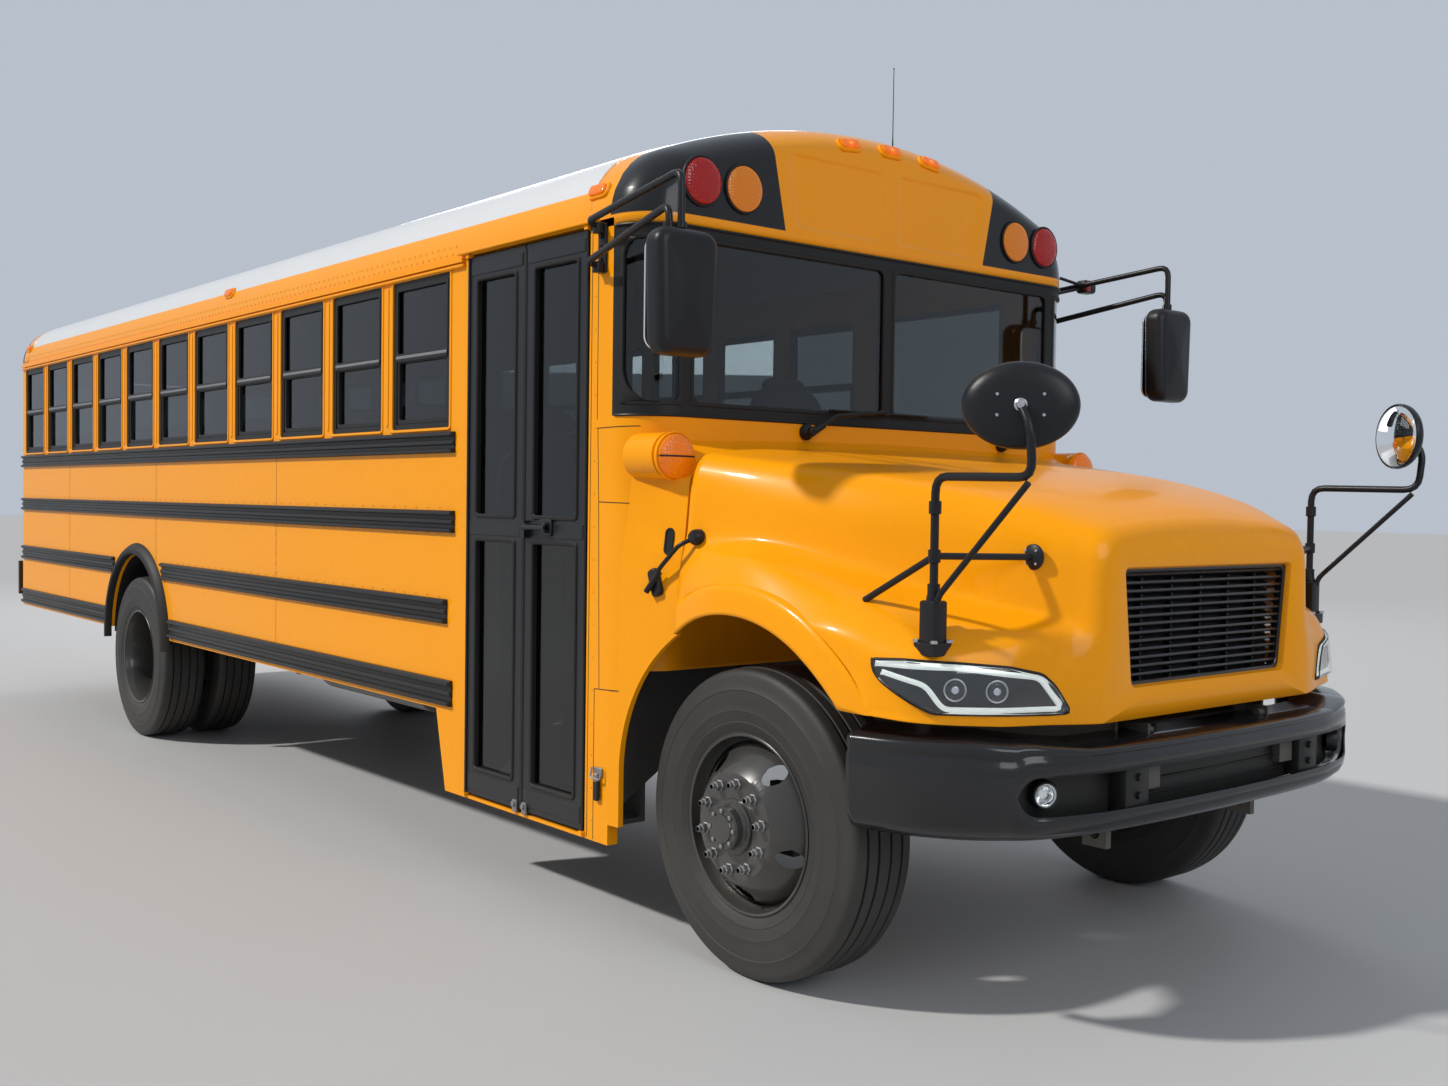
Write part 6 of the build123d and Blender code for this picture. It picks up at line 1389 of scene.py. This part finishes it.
PANE_FOOT, PANE_HEAD = 1.93, 2.51
screen_rings = [bent(frame_plate(*window_ring(s, (PANE_FOOT, PANE_HEAD), corners), -0.012, 0.0035, 0.003))
                for s, corners in (((0.03, 0.999), [0.03] * 4), ((1.059, 1.277), (0.06, 0.02, 0.02, 0.12)))]
piece("screen_gaskets", both(merge(*screen_rings)), rubber)
beads = [bar(grid(np.linspace(-1.31, 1.31, 140), z, 0.002), 0.005, sides=8)
         for z in (SCREEN_HEAD - 0.002, SCREEN_FOOT + 0.002)]
piece("screen_beads", bent(merge(*beads)), satin_black)
print("gaskets", PIECES[-2][1])

# %% [markdown]
# Each wiper is a forged arm on a splined shaft, with a sprung blade parked along the foot of the glass. The panel
# joints beside and below the windscreen are narrow dark gaps with a rivet or a screw where panels end.
# %% Wipers and cowl joints
WIPERS = ((-0.45, 1.848), (0.704, 1.839))
wiper_boss = turned([(0.03, 0), (0.032, 0.012), (0.026, 0.024), (0.018, 0.03), (0.018, 0.045), (0.012, 0.05),
                     (0, 0.05)], 28)
wiper_arm = bar([(0, 0, 0.04), (0.02, 0.012, 0.05), (0.11, 0.065, 0.058), (0.4, 0.094, 0.045)], 0.0085, 0.02, 10)
arm_cover = placed(plate(oblong(0.075, 0.03, 0.012), 0.036, 0.052, 0.003), (0.03, 0.016, 0), (0.87, 0.49, 0),
                   (-0.49, 0.87, 0))
blade_spring = bar([(0.13, 0.088, 0.018), (0.42, 0.088, 0.03), (0.66, 0.088, 0.018)], 0.005, 0.1, 8)
blade = placed(plate(oblong(0.56, 0.012, 0.002), 0.004, 0.014, 0.001), (0.4, 0.086, 0.0))
blade_clip = placed(plate(oblong(0.03, 0.02, 0.004), 0.022, 0.05, 0.002), (0.4, 0.09, 0.0))
wiper = merge(wiper_boss, wiper_arm, arm_cover, blade_spring, blade, blade_clip)
wipers = repeated(wiper, [(s, z, 0) for s, z in WIPERS])
piece("wipers", bent(wipers), satin_black)


def joint(start, end, width=0.0035, proud=0.0006):
    """A panel joint: a thin dark strip between two points of the unrolled wall."""
    start, end = np.array(start, float), np.array(end, float)
    count = max(int(np.ceil(np.linalg.norm(end - start) / 0.02)), 1) + 1
    way = unit(end - start)
    across = np.array([-way[1], way[0]]) * width / 2
    line = start + (end - start) * np.linspace(0, 1, count)[:, None]
    section = ((1, -0.004), (1, proud), (-1, proud), (-1, -0.004))
    return patch(at_heights([(line + across * side, height) for side, height in section]))


joint_lines = [((-1.42, 1.838), (-1.2, 1.842)), ((-1.415, 1.838), (-1.405, 1.572)), ((-1.405, 1.57), (-1.02, 1.563)),
               ((-1.405, 1.57), (-1.39, 0.89)), ((-1.42, 0.886), (-1.26, 0.893)), ((-1.42, 0.886), (-1.42, 0.33)),
               ((-1.46, 2.55), (-1.46, 0.335)), ((-1.42, 1.87), (-1.42, 2.55))]
joints = merge(*[bent(joint(*line)) for line in joint_lines])
rivet = turned([(0.0055, 0), (0.0045, 0.0018), (0.002, 0.0026), (0, 0.0028)], 8)
cowl_rivets = bent(repeated(rivet, [(-1.435, z, 0) for z in np.arange(0.4, 2.54, 0.12)]))
piece("cowl_joints", both(joints), seam_dark)
piece("cowl_rivets", both(cowl_rivets), yellow_paint)
print("cowl", PIECES[-2][1] + PIECES[-3][1])

# %% [markdown]
# The two leaves of the entrance door are folded aluminium frames. Round each pane is a rubber bead with soft edges,
# and rubber seals meet along the middle. The handle is a pull bar on a plate.
# %% Entrance door
DOOR = (0.822, 1.715)
DOOR_MIDDLE = sum(DOOR) / 2
PANES = ((0.46, 1.407), (1.507, 2.47))


def on_right(shape):
    """A shape drawn as (aft, height, outwards), set on the right wall."""
    return placed(shape, (-HALF, aft(0), 0), **OUT_RIGHT)


def ring_round(y, z, lap, lip, corner, turn, steps, low, high, edge=0.002):
    """A flat ring whose outline is larger than an opening by lap, and whose hole is smaller by lip."""
    centre = (sum(y) / 2, sum(z) / 2)
    w, h = y[1] - y[0], z[1] - z[0]
    return frame_plate(oblong(w + 2 * lap, h + 2 * lap, corner + turn, steps, centre),
                       oblong(w - 2 * lip, h - 2 * lip, corner, steps, centre), low, high, edge)


def pane_bead(y, z, lap, lip, corner, proud):
    """A soft rubber ring round a pane."""
    return ring_round(y, z, lap, lip, corner, lap, 6, -0.02, proud, min(0.004, lap))


leaf_parts = {}
for leaf, jamb, way in (("front", DOOR[0], 1), ("rear", DOOR[1], -1)):
    hinge, meeting = jamb + way * 0.012, DOOR_MIDDLE - way * 0.005
    inner, outer = sorted((hinge + way * 0.065, meeting - way * 0.065))
    beads = [on_right(pane_bead((inner, outer), z, 0.011, 0.006, 0.012, 0.006)) for z in PANES]
    seal = on_right(bar([(meeting + way * 0.001, 0.36, -0.004), (meeting + way * 0.001, 2.55, -0.004)], 0.009))
    ridge = [on_right(pad(abs(meeting - hinge) - 0.03, h, 0.006, -0.004, 0.0035, 0.003, 3, 4,
                          ((meeting + hinge) / 2, z))) for z, h in ((0.405, 0.07), (1.457, 0.06), (2.517, 0.055))]
    feet = [on_right(pad(0.03, 0.05, 0.006, 0, 0.012, 0.003, 4, 3, (meeting - way * 0.03, 0.362))),
            on_right(placed(bolt_head, (meeting - way * 0.03, 0.37, 0.012)))]
    leaf_parts[leaf] = (merge(*beads, seal), merge(*ridge), merge(*feet))
HANDLE_Y, HANDLE_Z = 1.14, 1.468
handle_bar = on_right(merge(
    bar([(HANDLE_Y - 0.075, HANDLE_Z, 0.03), (HANDLE_Y + 0.095, HANDLE_Z, 0.03)], 0.0105),
    *[pad(w, h, corner, low, high, soft, 5, 5, (HANDLE_Y + shift, HANDLE_Z))
      for w, h, corner, low, high, soft, shift in (
          (0.085, 0.066, 0.012, 0, 0.014, 0.006, -0.045), (0.03, 0.04, 0.008, 0.008, 0.034, 0.006, -0.06),
          (0.022, 0.03, 0.006, 0.0, 0.032, 0.005, 0.08))]))
for leaf, (bead_shape, ridge_shape, foot_shape) in leaf_parts.items():
    body = BODY_OF["door_leaf_" + leaf]
    piece("door_beads_" + leaf, bead_shape, rubber, body)
    piece("door_ribs_" + leaf, merge(ridge_shape, handle_bar) if leaf == "front" else ridge_shape, door_black, body)
    piece("door_feet_" + leaf, foot_shape, dull_zinc, body)
print("door", sum(count for name, count in PIECES if name.startswith("door")))

# %% [markdown]
# Each side window is a black aluminium frame with an upper and a lower sash that slide. The wall is folded outwards
# round the opening and its posts are pressed with a shallow rib, so that rain runs past the glass.
# %% Side windows
SASH_RAIL = 2.196
RAIN_RAIL, RAIN_RAIL_FRONT = 2.545, 1.74
first = (WINDOW_FRONT, WINDOW_FRONT + WINDOW_WIDTH)
steps = [(WINDOW_PITCH * k, 0, 0) for k in range(WINDOWS)]


def on_both(shape):
    """A shape drawn as (aft, height, outwards), on the right wall and on the left."""
    return both(on_right(shape))


def ring_on_wall(y, z, lap, corner, low, high):
    """A rounded rectangular ring between an opening and an outline that is larger by lap."""
    return ring_round(y, z, lap, 0.0, corner, lap / 2, 5, low, high)


def across_window(extra, height, corner, lift, low, high, soft, soft_steps):
    """A soft-edged strip across the first window, longer than its opening by extra, at a height."""
    return pad(WINDOW_WIDTH + extra, height, corner, low, high, soft, 4, soft_steps, (sum(first) / 2, lift))


flange = ring_on_wall(first, (SILL, HEAD), 0.014, 0.012, -0.004, 0.0045)
lower_sash = ring_on_wall((first[0] + 0.045, first[1] - 0.045), (SILL + 0.045, SASH_RAIL - 0.022), 0.02, 0.008,
                          -0.026, -0.008)
upper_sash = ring_on_wall((first[0] + 0.04, first[1] - 0.04), (SASH_RAIL + 0.02, HEAD - 0.04), 0.016, 0.008,
                          -0.012, -0.001)
meeting = across_window(-0.05, 0.034, 0.008, SASH_RAIL, -0.02, 0.001, 0.004, 4)
meeting_strip = across_window(-0.06, 0.013, 0.004, SASH_RAIL + 0.003, 0.0, 0.0035, 0.002, 3)
sill_lip = across_window(0.02, 0.012, 0.005, SILL - 0.008, 0, 0.012, 0.004, 4)
piece("window_flanges", on_both(repeated(merge(flange, sill_lip), steps)), yellow_paint)
piece("window_sash_rings", on_both(repeated(merge(lower_sash, upper_sash, meeting), steps)), satin_black)
piece("window_meeting_strips", on_both(repeated(meeting_strip, steps)), dull_zinc)
posts = WINDOW_FRONT - (WINDOW_PITCH - WINDOW_WIDTH) / 2 + WINDOW_PITCH * np.arange(1, WINDOWS)
post_rib = pad(0.026, HEAD - SILL - 0.03, 0.012, -0.002, 0.0045, 0.004, 5, 5, (0, (SILL + HEAD) / 2))
rail_lip = pad(RAIL_END - RAIN_RAIL_FRONT, 0.014, 0.006, 0, 0.017, 0.006, 4, 5,
               ((RAIL_END + RAIN_RAIL_FRONT) / 2, RAIN_RAIL - 0.003))
door_gutter = pad(1.02, 0.012, 0.005, 0, 0.026, 0.005, 4, 5, (1.265, 2.588))
piece("window_posts", on_both(merge(repeated(post_rib, [(y, 0, 0) for y in posts]), rail_lip, door_gutter)),
      yellow_paint)
driver_ring = placed(ring_on_wall((0.88, 1.69), (1.8, HEAD), 0.014, 0.02, -0.004, 0.0045), (HALF, aft(0), 0),
                     **OUT_LEFT)
piece("driver_window_flange", driver_ring, yellow_paint)
print("side windows", PIECES[-4][1] + PIECES[-3][1])

# %% [markdown]
# The skin is riveted to hidden bows and rails. Rows of small round heads run along the eave, over the windows and
# beside the rub rails, and thin joints show where one side sheet laps the next.
# %% Rivets and sheet joints
small_rivet = turned([(0.0055, 0), (0.0045, 0.0018), (0.002, 0.0027), (0, 0.0029)], 8)
ROWS_END, EAVE_STEP, RAIL_STEP = 8.8, 0.053, 0.106
eave_rows = [(y, 2.6, 0) for y in np.arange(1.8, ROWS_END, EAVE_STEP)]
eave_rows += [(y, 2.632, -0.0028) for y in np.arange(1.8265, ROWS_END, EAVE_STEP)]
rail_rows = [(y, z, 0) for z in (1.535, 1.42, 1.155, 1.03) for y in np.arange(1.95, ROWS_END, RAIL_STEP)
             if z > 1.2 or abs(y - WHEELBASE) > FLARE_R]
sheet_ends = WINDOW_FRONT - 0.055 + WINDOW_PITCH * np.array([3, 6, 9])
sheet_rows = [(y + 0.012, z, 0) for y in sheet_ends for z in np.arange(1.17, 1.42, 0.05)]
piece("rivets", on_both(repeated(small_rivet, eave_rows + rail_rows + sheet_rows)), yellow_paint)
sheet_joint, lower_joint = (plate(oblong(0.003, height, 0.001, 2, (0, middle)), -0.002, 0.0006, 0.0003)
                            for height, middle in ((0.62, 1.455), (0.23, 0.92)))
joint_places = [(y, 0, 0) for y in sheet_ends]
lower_places = [place for place in joint_places if abs(place[0] - WHEELBASE) > 0.65]
piece("sheet_joints", on_both(merge(repeated(sheet_joint, joint_places), repeated(lower_joint, lower_places))),
      seam_dark)
print("rivets", PIECES[-2][1])

# %% [markdown]
# A rubber flare edges the rear wheel arch. Its section is a rounded hook that stands 45 mm out, carried round the
# arch, and a flap of the same rubber hangs behind the wheels.
# %% Rear wheel flares and mud flaps
FLARE_INNER_R, LINER_R = 0.545, 0.543
angles = np.linspace(-0.06, np.pi + 0.06, 73)
hook = np.array([(0.0, 0.0), (0.0, 0.03), (0.006, 0.04), (0.016, 0.044), (0.03, 0.042), (0.046, 0.033), (0.06, 0.018),
                 (0.068, 0.008), (0.072, 0.0)])


def round_arch(turn, radius):
    """The place aft and the height of points round the rear wheel arch."""
    return WHEELBASE + radius * np.cos(turn), REAR_ARCH_Z + radius * np.sin(turn)


flare_y, flare_z = round_arch(angles[:, None], FLARE_INNER_R + hook[:, 0])
liner_y, liner_z = round_arch(np.linspace(0, np.pi, 49)[:, None], LINER_R)
flare = patch(grid(flare_y, flare_z, hook[:, 1]))
liner = patch(grid(np.array([0.63, 1.2]), aft(liner_y), liner_z), flip=True)
flap = merge(*[block((0.62, 1.17), y, z, 0.003) for y, z in (((6.584, 6.596), (0.346, 0.97)),
                                                             ((6.58, 6.6), (0.93, 0.96)))])
piece("rear_flares", merge(on_both(flare), both(flap), both(liner)), rubber,
      replaces=["rear_fenders"])
print("flares", PIECES[-1][1])

# %% [markdown]
# Two rubber latches hold the hood down, each a strap between a catch on the hood and a hook on the cowl, beside a
# slot for the hand. A toggle latch holds the skirt panel behind the front wheel, and a thin whip stands on the roof.
# %% Latches, skirt catch and antenna
strap = [(-1.152, 0.268, 1.452), (-1.196, 0.30, 1.43), (-1.213, 0.4, 1.335), (-1.2, 0.437, 1.285)]
hood_catch = placed(turned([(0, 0.028), (0.018, 0.026), (0.026, 0.016), (0.028, 0), (0.028, -0.012)], 24),
                    (-1.147, aft(0.265), 1.455), **OUT_RIGHT)
cowl_catch = merge(placed(pad(0.05, 0.1, 0.016, -0.01, 0.018, 0.008, 5, 5), (-1.185, aft(0.44), 1.292),
                          (0, 0.93, -0.36), (0, 0.36, 0.93), (-1, 0, 0)),
                   bar([(-1.205, aft(0.40), 1.33), (-1.215, aft(0.46), 1.26)], 0.011, sides=12),
                   bar([(x, aft(y), z) for x, y, z in strap], 0.008, 0.03, 12))
slot_frame = dict(origin=(-1.163, aft(0.4), 1.437), u=(0.223, -0.975, 0), v=(0.146, 0.033, 0.989),
                  w=(-0.964, -0.221, 0.15))
hand_slot = placed(frame_plate(oblong(0.04, 0.095, 0.019, 6), oblong(0.024, 0.079, 0.011, 6), -0.006, 0.005),
                   **slot_frame)
# The dark plate inside the hand slot's ring is painted shade, standing in for the shadowed depth of the slot.
slot_shade_plate = placed(plate(oblong(0.026, 0.081, 0.012, 6), -0.006, 0.0015, 0.001), **slot_frame)
piece("hood_catches", both(hood_catch), mould_black, "hood")
piece("cowl_catches", both(merge(cowl_catch, hand_slot, slot_shade_plate)), mould_black)
skirt = on_right(merge(pad(0.05, 0.035, 0.006, 0, 0.008, 0.003, 4, 4, (0.73, 0.585)),
                       bar([(0.7, 0.6, 0.012), (0.7, 0.562, 0.02), (0.76, 0.562, 0.02), (0.76, 0.6, 0.012)],
                           0.0035, 0.008, 8),
                       pad(0.026, 0.032, 0.006, 0.004, 0.02, 0.004, 4, 4, (0.732, 0.566))))
skirt_handle = on_right(pad(0.03, 0.075, 0.009, 0.004, 0.018, 0.005, 5, 5, (0.732, 0.517)))
piece("skirt_catch_steel", skirt, dull_zinc)
piece("skirt_catch_grip", skirt_handle, mould_black)
WHIP = np.array([0.43, aft(0.9), 3.033])
whip_base = placed(turned([(0.028, -0.004), (0.028, 0.004), (0.024, 0.01), (0.014, 0.018), (0.011, 0.036),
                           (0.007, 0.04), (0, 0.041)], 32), WHIP, (0.988, 0, -0.156), (0, 1, 0), (0.156, 0, 0.988))
whip = placed(turned([(0.0035, 0), (0.0035, 0.1), (0.0022, 0.14), (0.0016, 0.43), (0.003, 0.432), (0.003, 0.436),
                      (0, 0.438)], 12), WHIP + np.array([0.004, 0, 0.03]))
piece("antenna_whip", merge(whip_base, whip), mould_black, replaces=["antenna"])
STUB_Y, STUB_Z = 0.53, 2.593
stub = merge(bar([(1.215, aft(0.577), 2.627), (1.30, aft(0.53), 2.6), (1.33, aft(0.525), 2.6)], 0.007, 0.02, 10),
             bar([(1.215, aft(0.577), 2.557), (1.30, aft(0.54), 2.58), (1.33, aft(0.535), 2.585)], 0.007, 0.02, 10),
             placed(pad(0.085, 0.06, 0.016, -0.03, 0.03, 0.014, 5, 6, bulge=0.003), (1.352, aft(STUB_Y), STUB_Z),
                    **OUT_FRONT))
stub_lens = placed(pad(0.03, 0.045, 0.008, 0.022, 0.034, 0.005, 5, 5), (1.33, aft(STUB_Y), STUB_Z), **OUT_FRONT)
piece("side_marker_stub", stub, mould_black)
piece("side_marker_lens", stub_lens, red_lens)
print("latches and antenna", PIECES[-4][1])

# %% [markdown]
# A bench seat is foam on a bent tube frame under tight vinyl. Its back and cushion are slabs with round edges that
# swell a little in the middle; a welt of piping follows the seam round each back, and the legs are round tubes.
# %% Bench seats
CABIN_FLOOR = 1.03
SEAT_WIDTH, SEAT_SIDE = 0.97, HALF - 0.053
seat_middle = SEAT_SIDE - SEAT_WIDTH / 2
back_height = 0.755
back_frame = dict(origin=(-seat_middle, 0.405, CABIN_FLOOR + 0.6), u=(1, 0, 0), v=(0, 0.0705, 0.9975),
                  w=(0, -0.9975, 0.0705))
back_pad = placed(pad(SEAT_WIDTH, back_height, 0.09, -0.032, 0.032, 0.026, 7, 6, bulge=0.007), **back_frame)
welt_loop = split_edges(oblong(SEAT_WIDTH + 0.001, back_height + 0.001, 0.09, 7), 0.06)


def welt(loop, radius, height):
    """A closed cord round an outline: a circle swept along it."""
    out = to_right(unit(np.roll(loop, -1, axis=0) - np.roll(loop, 1, axis=0)))
    a = np.linspace(0, 2 * np.pi, 6, endpoint=False)
    flat = loop[:, None] + out[:, None] * (radius * np.cos(a))[None, :, None]
    return patch(np.dstack([flat, np.broadcast_to(height + radius * np.sin(a), flat.shape[:2])]), wrap_rows=True,
                 wrap_columns=True, flip=True)


back_welt = placed(welt(welt_loop, 0.004, 0.0), **back_frame)
cushion = placed(pad(SEAT_WIDTH, 0.39, 0.06, -0.06, 0.045, 0.035, 7, 6, bulge=0.014),
                 (-seat_middle, 0.14, CABIN_FLOOR + 0.396))
leg_x = -SEAT_SIDE + SEAT_WIDTH - 0.085
foot_plate = plate(oblong(0.05, 0.07, 0.01), 0, 0.006)
frame_tube = merge(bar([(leg_x, -0.02, CABIN_FLOOR), (leg_x, -0.02, CABIN_FLOOR + 0.32),
                        (leg_x, 0.33, CABIN_FLOOR + 0.32), (leg_x, 0.37, CABIN_FLOOR)], 0.0135, 0.05, 10),
                   *[bar([(leg_x - 0.8, y, CABIN_FLOOR + 0.325), (leg_x + 0.04, y, CABIN_FLOOR + 0.325)], 0.0135,
                         sides=10) for y in (0.0, 0.31)],
                   copies(foot_plate, [(leg_x, y, CABIN_FLOOR) for y in (-0.02, 0.37)]))
FIRST_ROW = WINDOW_FRONT + 0.15
seat_rows = [(0, aft(FIRST_ROW + k * WINDOW_PITCH), 0) for k in range(WINDOWS)]
for name, shape, material in (("bench_backs", merge(back_pad, back_welt), seat_vinyl),
                              ("bench_cushions", cushion, seat_vinyl), ("bench_frames", frame_tube, frame_steel)):
    made = piece(name, both(repeated(shape, seat_rows)), material,
                 replaces=["bench_seats"] if name == "bench_backs" else ())
print("bench seats", sum(count for name, count in PIECES if name.startswith("bench")))

# %% [markdown]
# The driver sits on a pedestal seat behind a moulded dashboard. The steering wheel is a round rim with three spokes
# on a hub, drawn flat and then leaned back by thirty degrees.
# %% Driver's place
DRIVER_X = 0.665
driver_cushion = pad(0.47, 0.47, 0.08, -0.05, 0.055, 0.04, 7, 6, bulge=0.012)
driver_back = pad(0.46, 0.69, 0.13, -0.04, 0.042, 0.034, 8, 6, bulge=0.012)
driver_head = pad(0.27, 0.16, 0.05, -0.032, 0.03, 0.026, 6, 6, bulge=0.006)
seat_axes = dict(u=(1, 0, 0), v=(0, 0.155, 0.988), w=(0, 0.988, -0.155))
driver_pads = merge(placed(driver_cushion, (DRIVER_X, aft(1.56), CABIN_FLOOR + 0.392)),
                    placed(driver_back, (DRIVER_X, aft(1.80), CABIN_FLOOR + 0.78), **seat_axes),
                    placed(driver_head, (DRIVER_X, aft(1.855), CABIN_FLOOR + 1.09), **seat_axes))
BELLOWS_R, FOLD_DEPTH, FOLD_PITCH = 0.145, 0.012, 0.04
bellows_height = np.linspace(0, 0.32, 25)
bellows_r = BELLOWS_R - FOLD_DEPTH * np.cos(bellows_height * 2 * np.pi / FOLD_PITCH)
bellows = turned(np.column_stack([bellows_r, bellows_height]), 32)
piece("driver_pads", driver_pads, seat_vinyl, replaces=["driver_seat"])
piece("driver_pedestal", merge(placed(bellows, (DRIVER_X, aft(1.55), CABIN_FLOOR)),
                               block((0.5, 0.83), (1.38, 1.72), (CABIN_FLOOR, CABIN_FLOOR + 0.03), 0.006)),
      dash_plastic)
wheel_at = (DRIVER_X, aft(1.08), 1.82)
wheel_axes = dict(u=(1, 0, 0), v=(0, 0.87, -0.5), w=(0, 0.5, 0.87))
RIM_R, GRIP_R = 0.214, 0.0155
rim_turn = np.linspace(0, 2 * np.pi, 20, endpoint=False)
rim = turned([(RIM_R + GRIP_R * np.cos(a), GRIP_R * np.sin(a)) for a in rim_turn], 72, closed=True)
hub = turned([(0, 0.02), (0.03, 0.019), (0.05, 0.012), (0.055, 0), (0.04, -0.03), (0.034, -0.06)], 36)
spokes = merge(*[bar([(0.04 * np.cos(a), 0.04 * np.sin(a), -0.004), (0.2 * np.cos(a), 0.2 * np.sin(a), 0)], 0.011)
                 for a in (radians(0), radians(180), radians(270))])
column = turned([(0.034, -0.06), (0.036, -0.1), (0.03, -0.12), (0.024, -0.13), (0.024, -0.88)], 28)
piece("steering_wheel_round", placed(merge(rim, hub, spokes, column), wheel_at, **wheel_axes), dash_plastic,
      replaces=["steering_wheel"])
dash_axes = dict(u=(1, 0, 0), v=(0, 0.5, 0.87), w=(0, 0.87, -0.5))
DASH_Y, DASH_Z = 0.74, 1.86
binnacle = placed(pad(0.46, 0.2, 0.07, -0.06, 0.06, 0.03, 7, 6, bulge=0.01), (DRIVER_X, aft(DASH_Y), DASH_Z),
                  **dash_axes)
gauge = turned([(0.034, 0.072), (0.036, 0.078), (0.04, 0.076), (0.041, 0.066)], 32)
gauges = copies(gauge, [(DRIVER_X + across, aft(DASH_Y), DASH_Z) for across in (-0.13, -0.045, 0.045, 0.13)],
                **dash_axes)
piece("dash_binnacle", binnacle, dash_plastic)
piece("dash_gauges", gauges, bright_steel)
print("driver's place", sum(count for name, count in PIECES[-5:]))

# %% [markdown]
# A grab rail stands on each side of the entrance, and strip lamps run along the ceiling. They show through the
# door's glass and the windscreen.
# %% Entrance rails and ceiling
grab = merge(*[bar([(-1.1, aft(y), low), (-1.1, aft(y), bend), (x, aft(end_y), top)], 0.015, 0.08)
               for y, low, bend, x, end_y, top in ((1.66, 0.86, 1.75, -0.62, 1.70, 1.9),
                                                   (0.9, 0.8, 1.5, -0.7, 0.8, 1.7))])
piece("grab_rails", grab, bright_steel)
strip_lamp = pad(0.12, 1.2, 0.03, 0, 0.03, 0.012, 5, 4)
strip_lamps = copies(strip_lamp, [(x, aft(y), 2.93) for x in (-0.42, 0.42) for y in (2.5, 5.0, 7.5)],
                     u=(1, 0, 0), v=(0, -1, 0), w=(0, 0, -1))
piece("ceiling_lamps", strip_lamps, white_paint)
print("cabin", PIECES[-1][1])

# %% [markdown]
# The stop arm is an octagon of painted aluminium with a white border and a blank face. Two red lamps flash on each
# side of it. The emergency door has gaskets, a long handle and strap hinges.
# %% Stop arm and rear door
STOP_Y, STOP_Z, STOP_LENS_R = 1.44, 1.64, 0.045
corners = np.pi / 8 + np.arange(8) * np.pi / 4
octagon = np.stack([np.cos(corners), np.sin(corners)], 1)
borders = [placed(frame_plate(octagon * 0.2395, octagon * 0.222, low, low + 0.0014, 0.0004),
                  (HALF, aft(STOP_Y), STOP_Z), **OUT_LEFT) for low in (0.0452, 0.0574)]
stop_lamps, stop_rings = ([placed(form, (HALF + out, aft(STOP_Y), STOP_Z + z), (0, 1, 0), (0, 0, 1), (w, 0, 0))
                           for z in (-0.13, 0.13) for out, w in ((0.0585, 1), (0.0455, -1))]
                          for form in (lens_form(STOP_LENS_R, 0.012, 0.006), bezel_form(STOP_LENS_R, 0.006, 0.007)))
stop_rivets = copies(small_rivet, [(HALF + 0.058, aft(y), z) for y in (1.16, 1.2, 1.24) for z in (1.58, 1.70)],
                     **OUT_LEFT)
stop_body = BODY_OF["stop_arm"]
piece("stop_arm_border", merge(*borders), white_paint, stop_body)
piece("stop_arm_lamps", merge(*stop_lamps), red_lens, stop_body)
piece("stop_arm_rings", merge(*stop_rings, stop_rivets), satin_black, stop_body)


def on_rear(shape):
    """A shape drawn as (across, height, outwards), set on the rear wall."""
    return placed(shape, (0, aft(CAP_REAR), 0), **OUT_REAR)


rear_door_body = BODY_OF["rear_door"]
rear_beads = [pane_bead((-0.332, 0.328), z, 0.012, 0.006, 0.03, 0.006) for z in ((1.24, 1.68), (1.84, 2.4))]
HANDLE_ACROSS = -0.365
handle_route = ((1.69, 0.0), (1.69, 0.05), (1.83, 0.05), (1.83, 0.0))
rear_handle = merge(bar([(HANDLE_ACROSS, z, out) for z, out in handle_route], 0.011, 0.02),
                    pad(0.06, 0.2, 0.02, 0, 0.012, 0.005, 5, 5, (HANDLE_ACROSS, 1.76)))
hinge_straps = merge(*[pad(0.16, 0.05, 0.02, 0.0, 0.008, 0.004, 5, 4, (0.35, z)) for z in (1.2, 1.76, 2.42)])
piece("rear_door_beads", on_rear(merge(*rear_beads)), rubber, rear_door_body)
piece("rear_door_handle", on_rear(merge(rear_handle, hinge_straps)), satin_black, rear_door_body)
rear_rings = [ring_on_wall((s * 0.785 - 0.225, s * 0.785 + 0.225), (SILL, 2.45), 0.014, 0.03, -0.02, 0.006)
              for s in (-1, 1)]
rear_rivets = repeated(small_rivet, [(x, z, 0) for x in (-1.0, -0.5, 0.5, 1.0) for z in np.arange(0.75, 2.56, 0.08)])
reflectors = [pad(0.09, 0.09, 0.04, 0, 0.008, 0.003, 8, 3, (x, 0.95)) for x in (-0.95, 0.95)]
piece("rear_window_beads", on_rear(merge(*rear_rings)), rubber)
piece("rear_rivets", on_rear(rear_rivets), yellow_paint)
piece("rear_reflectors", on_rear(merge(*reflectors)), red_lens)
print("rear", sum(count for name, count in PIECES if name.startswith("rear")))

# %% [markdown]
# Last, the sizes are kept beside the CAD's, so that the dressed bus can be compared with its frame.
# %% Close the scene
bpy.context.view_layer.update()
for piece_name, faces in sorted(PIECES, key=lambda row: -row[1])[:12]:
    print(piece_name, faces)
print("faces added", sum(faces for name, faces in PIECES))
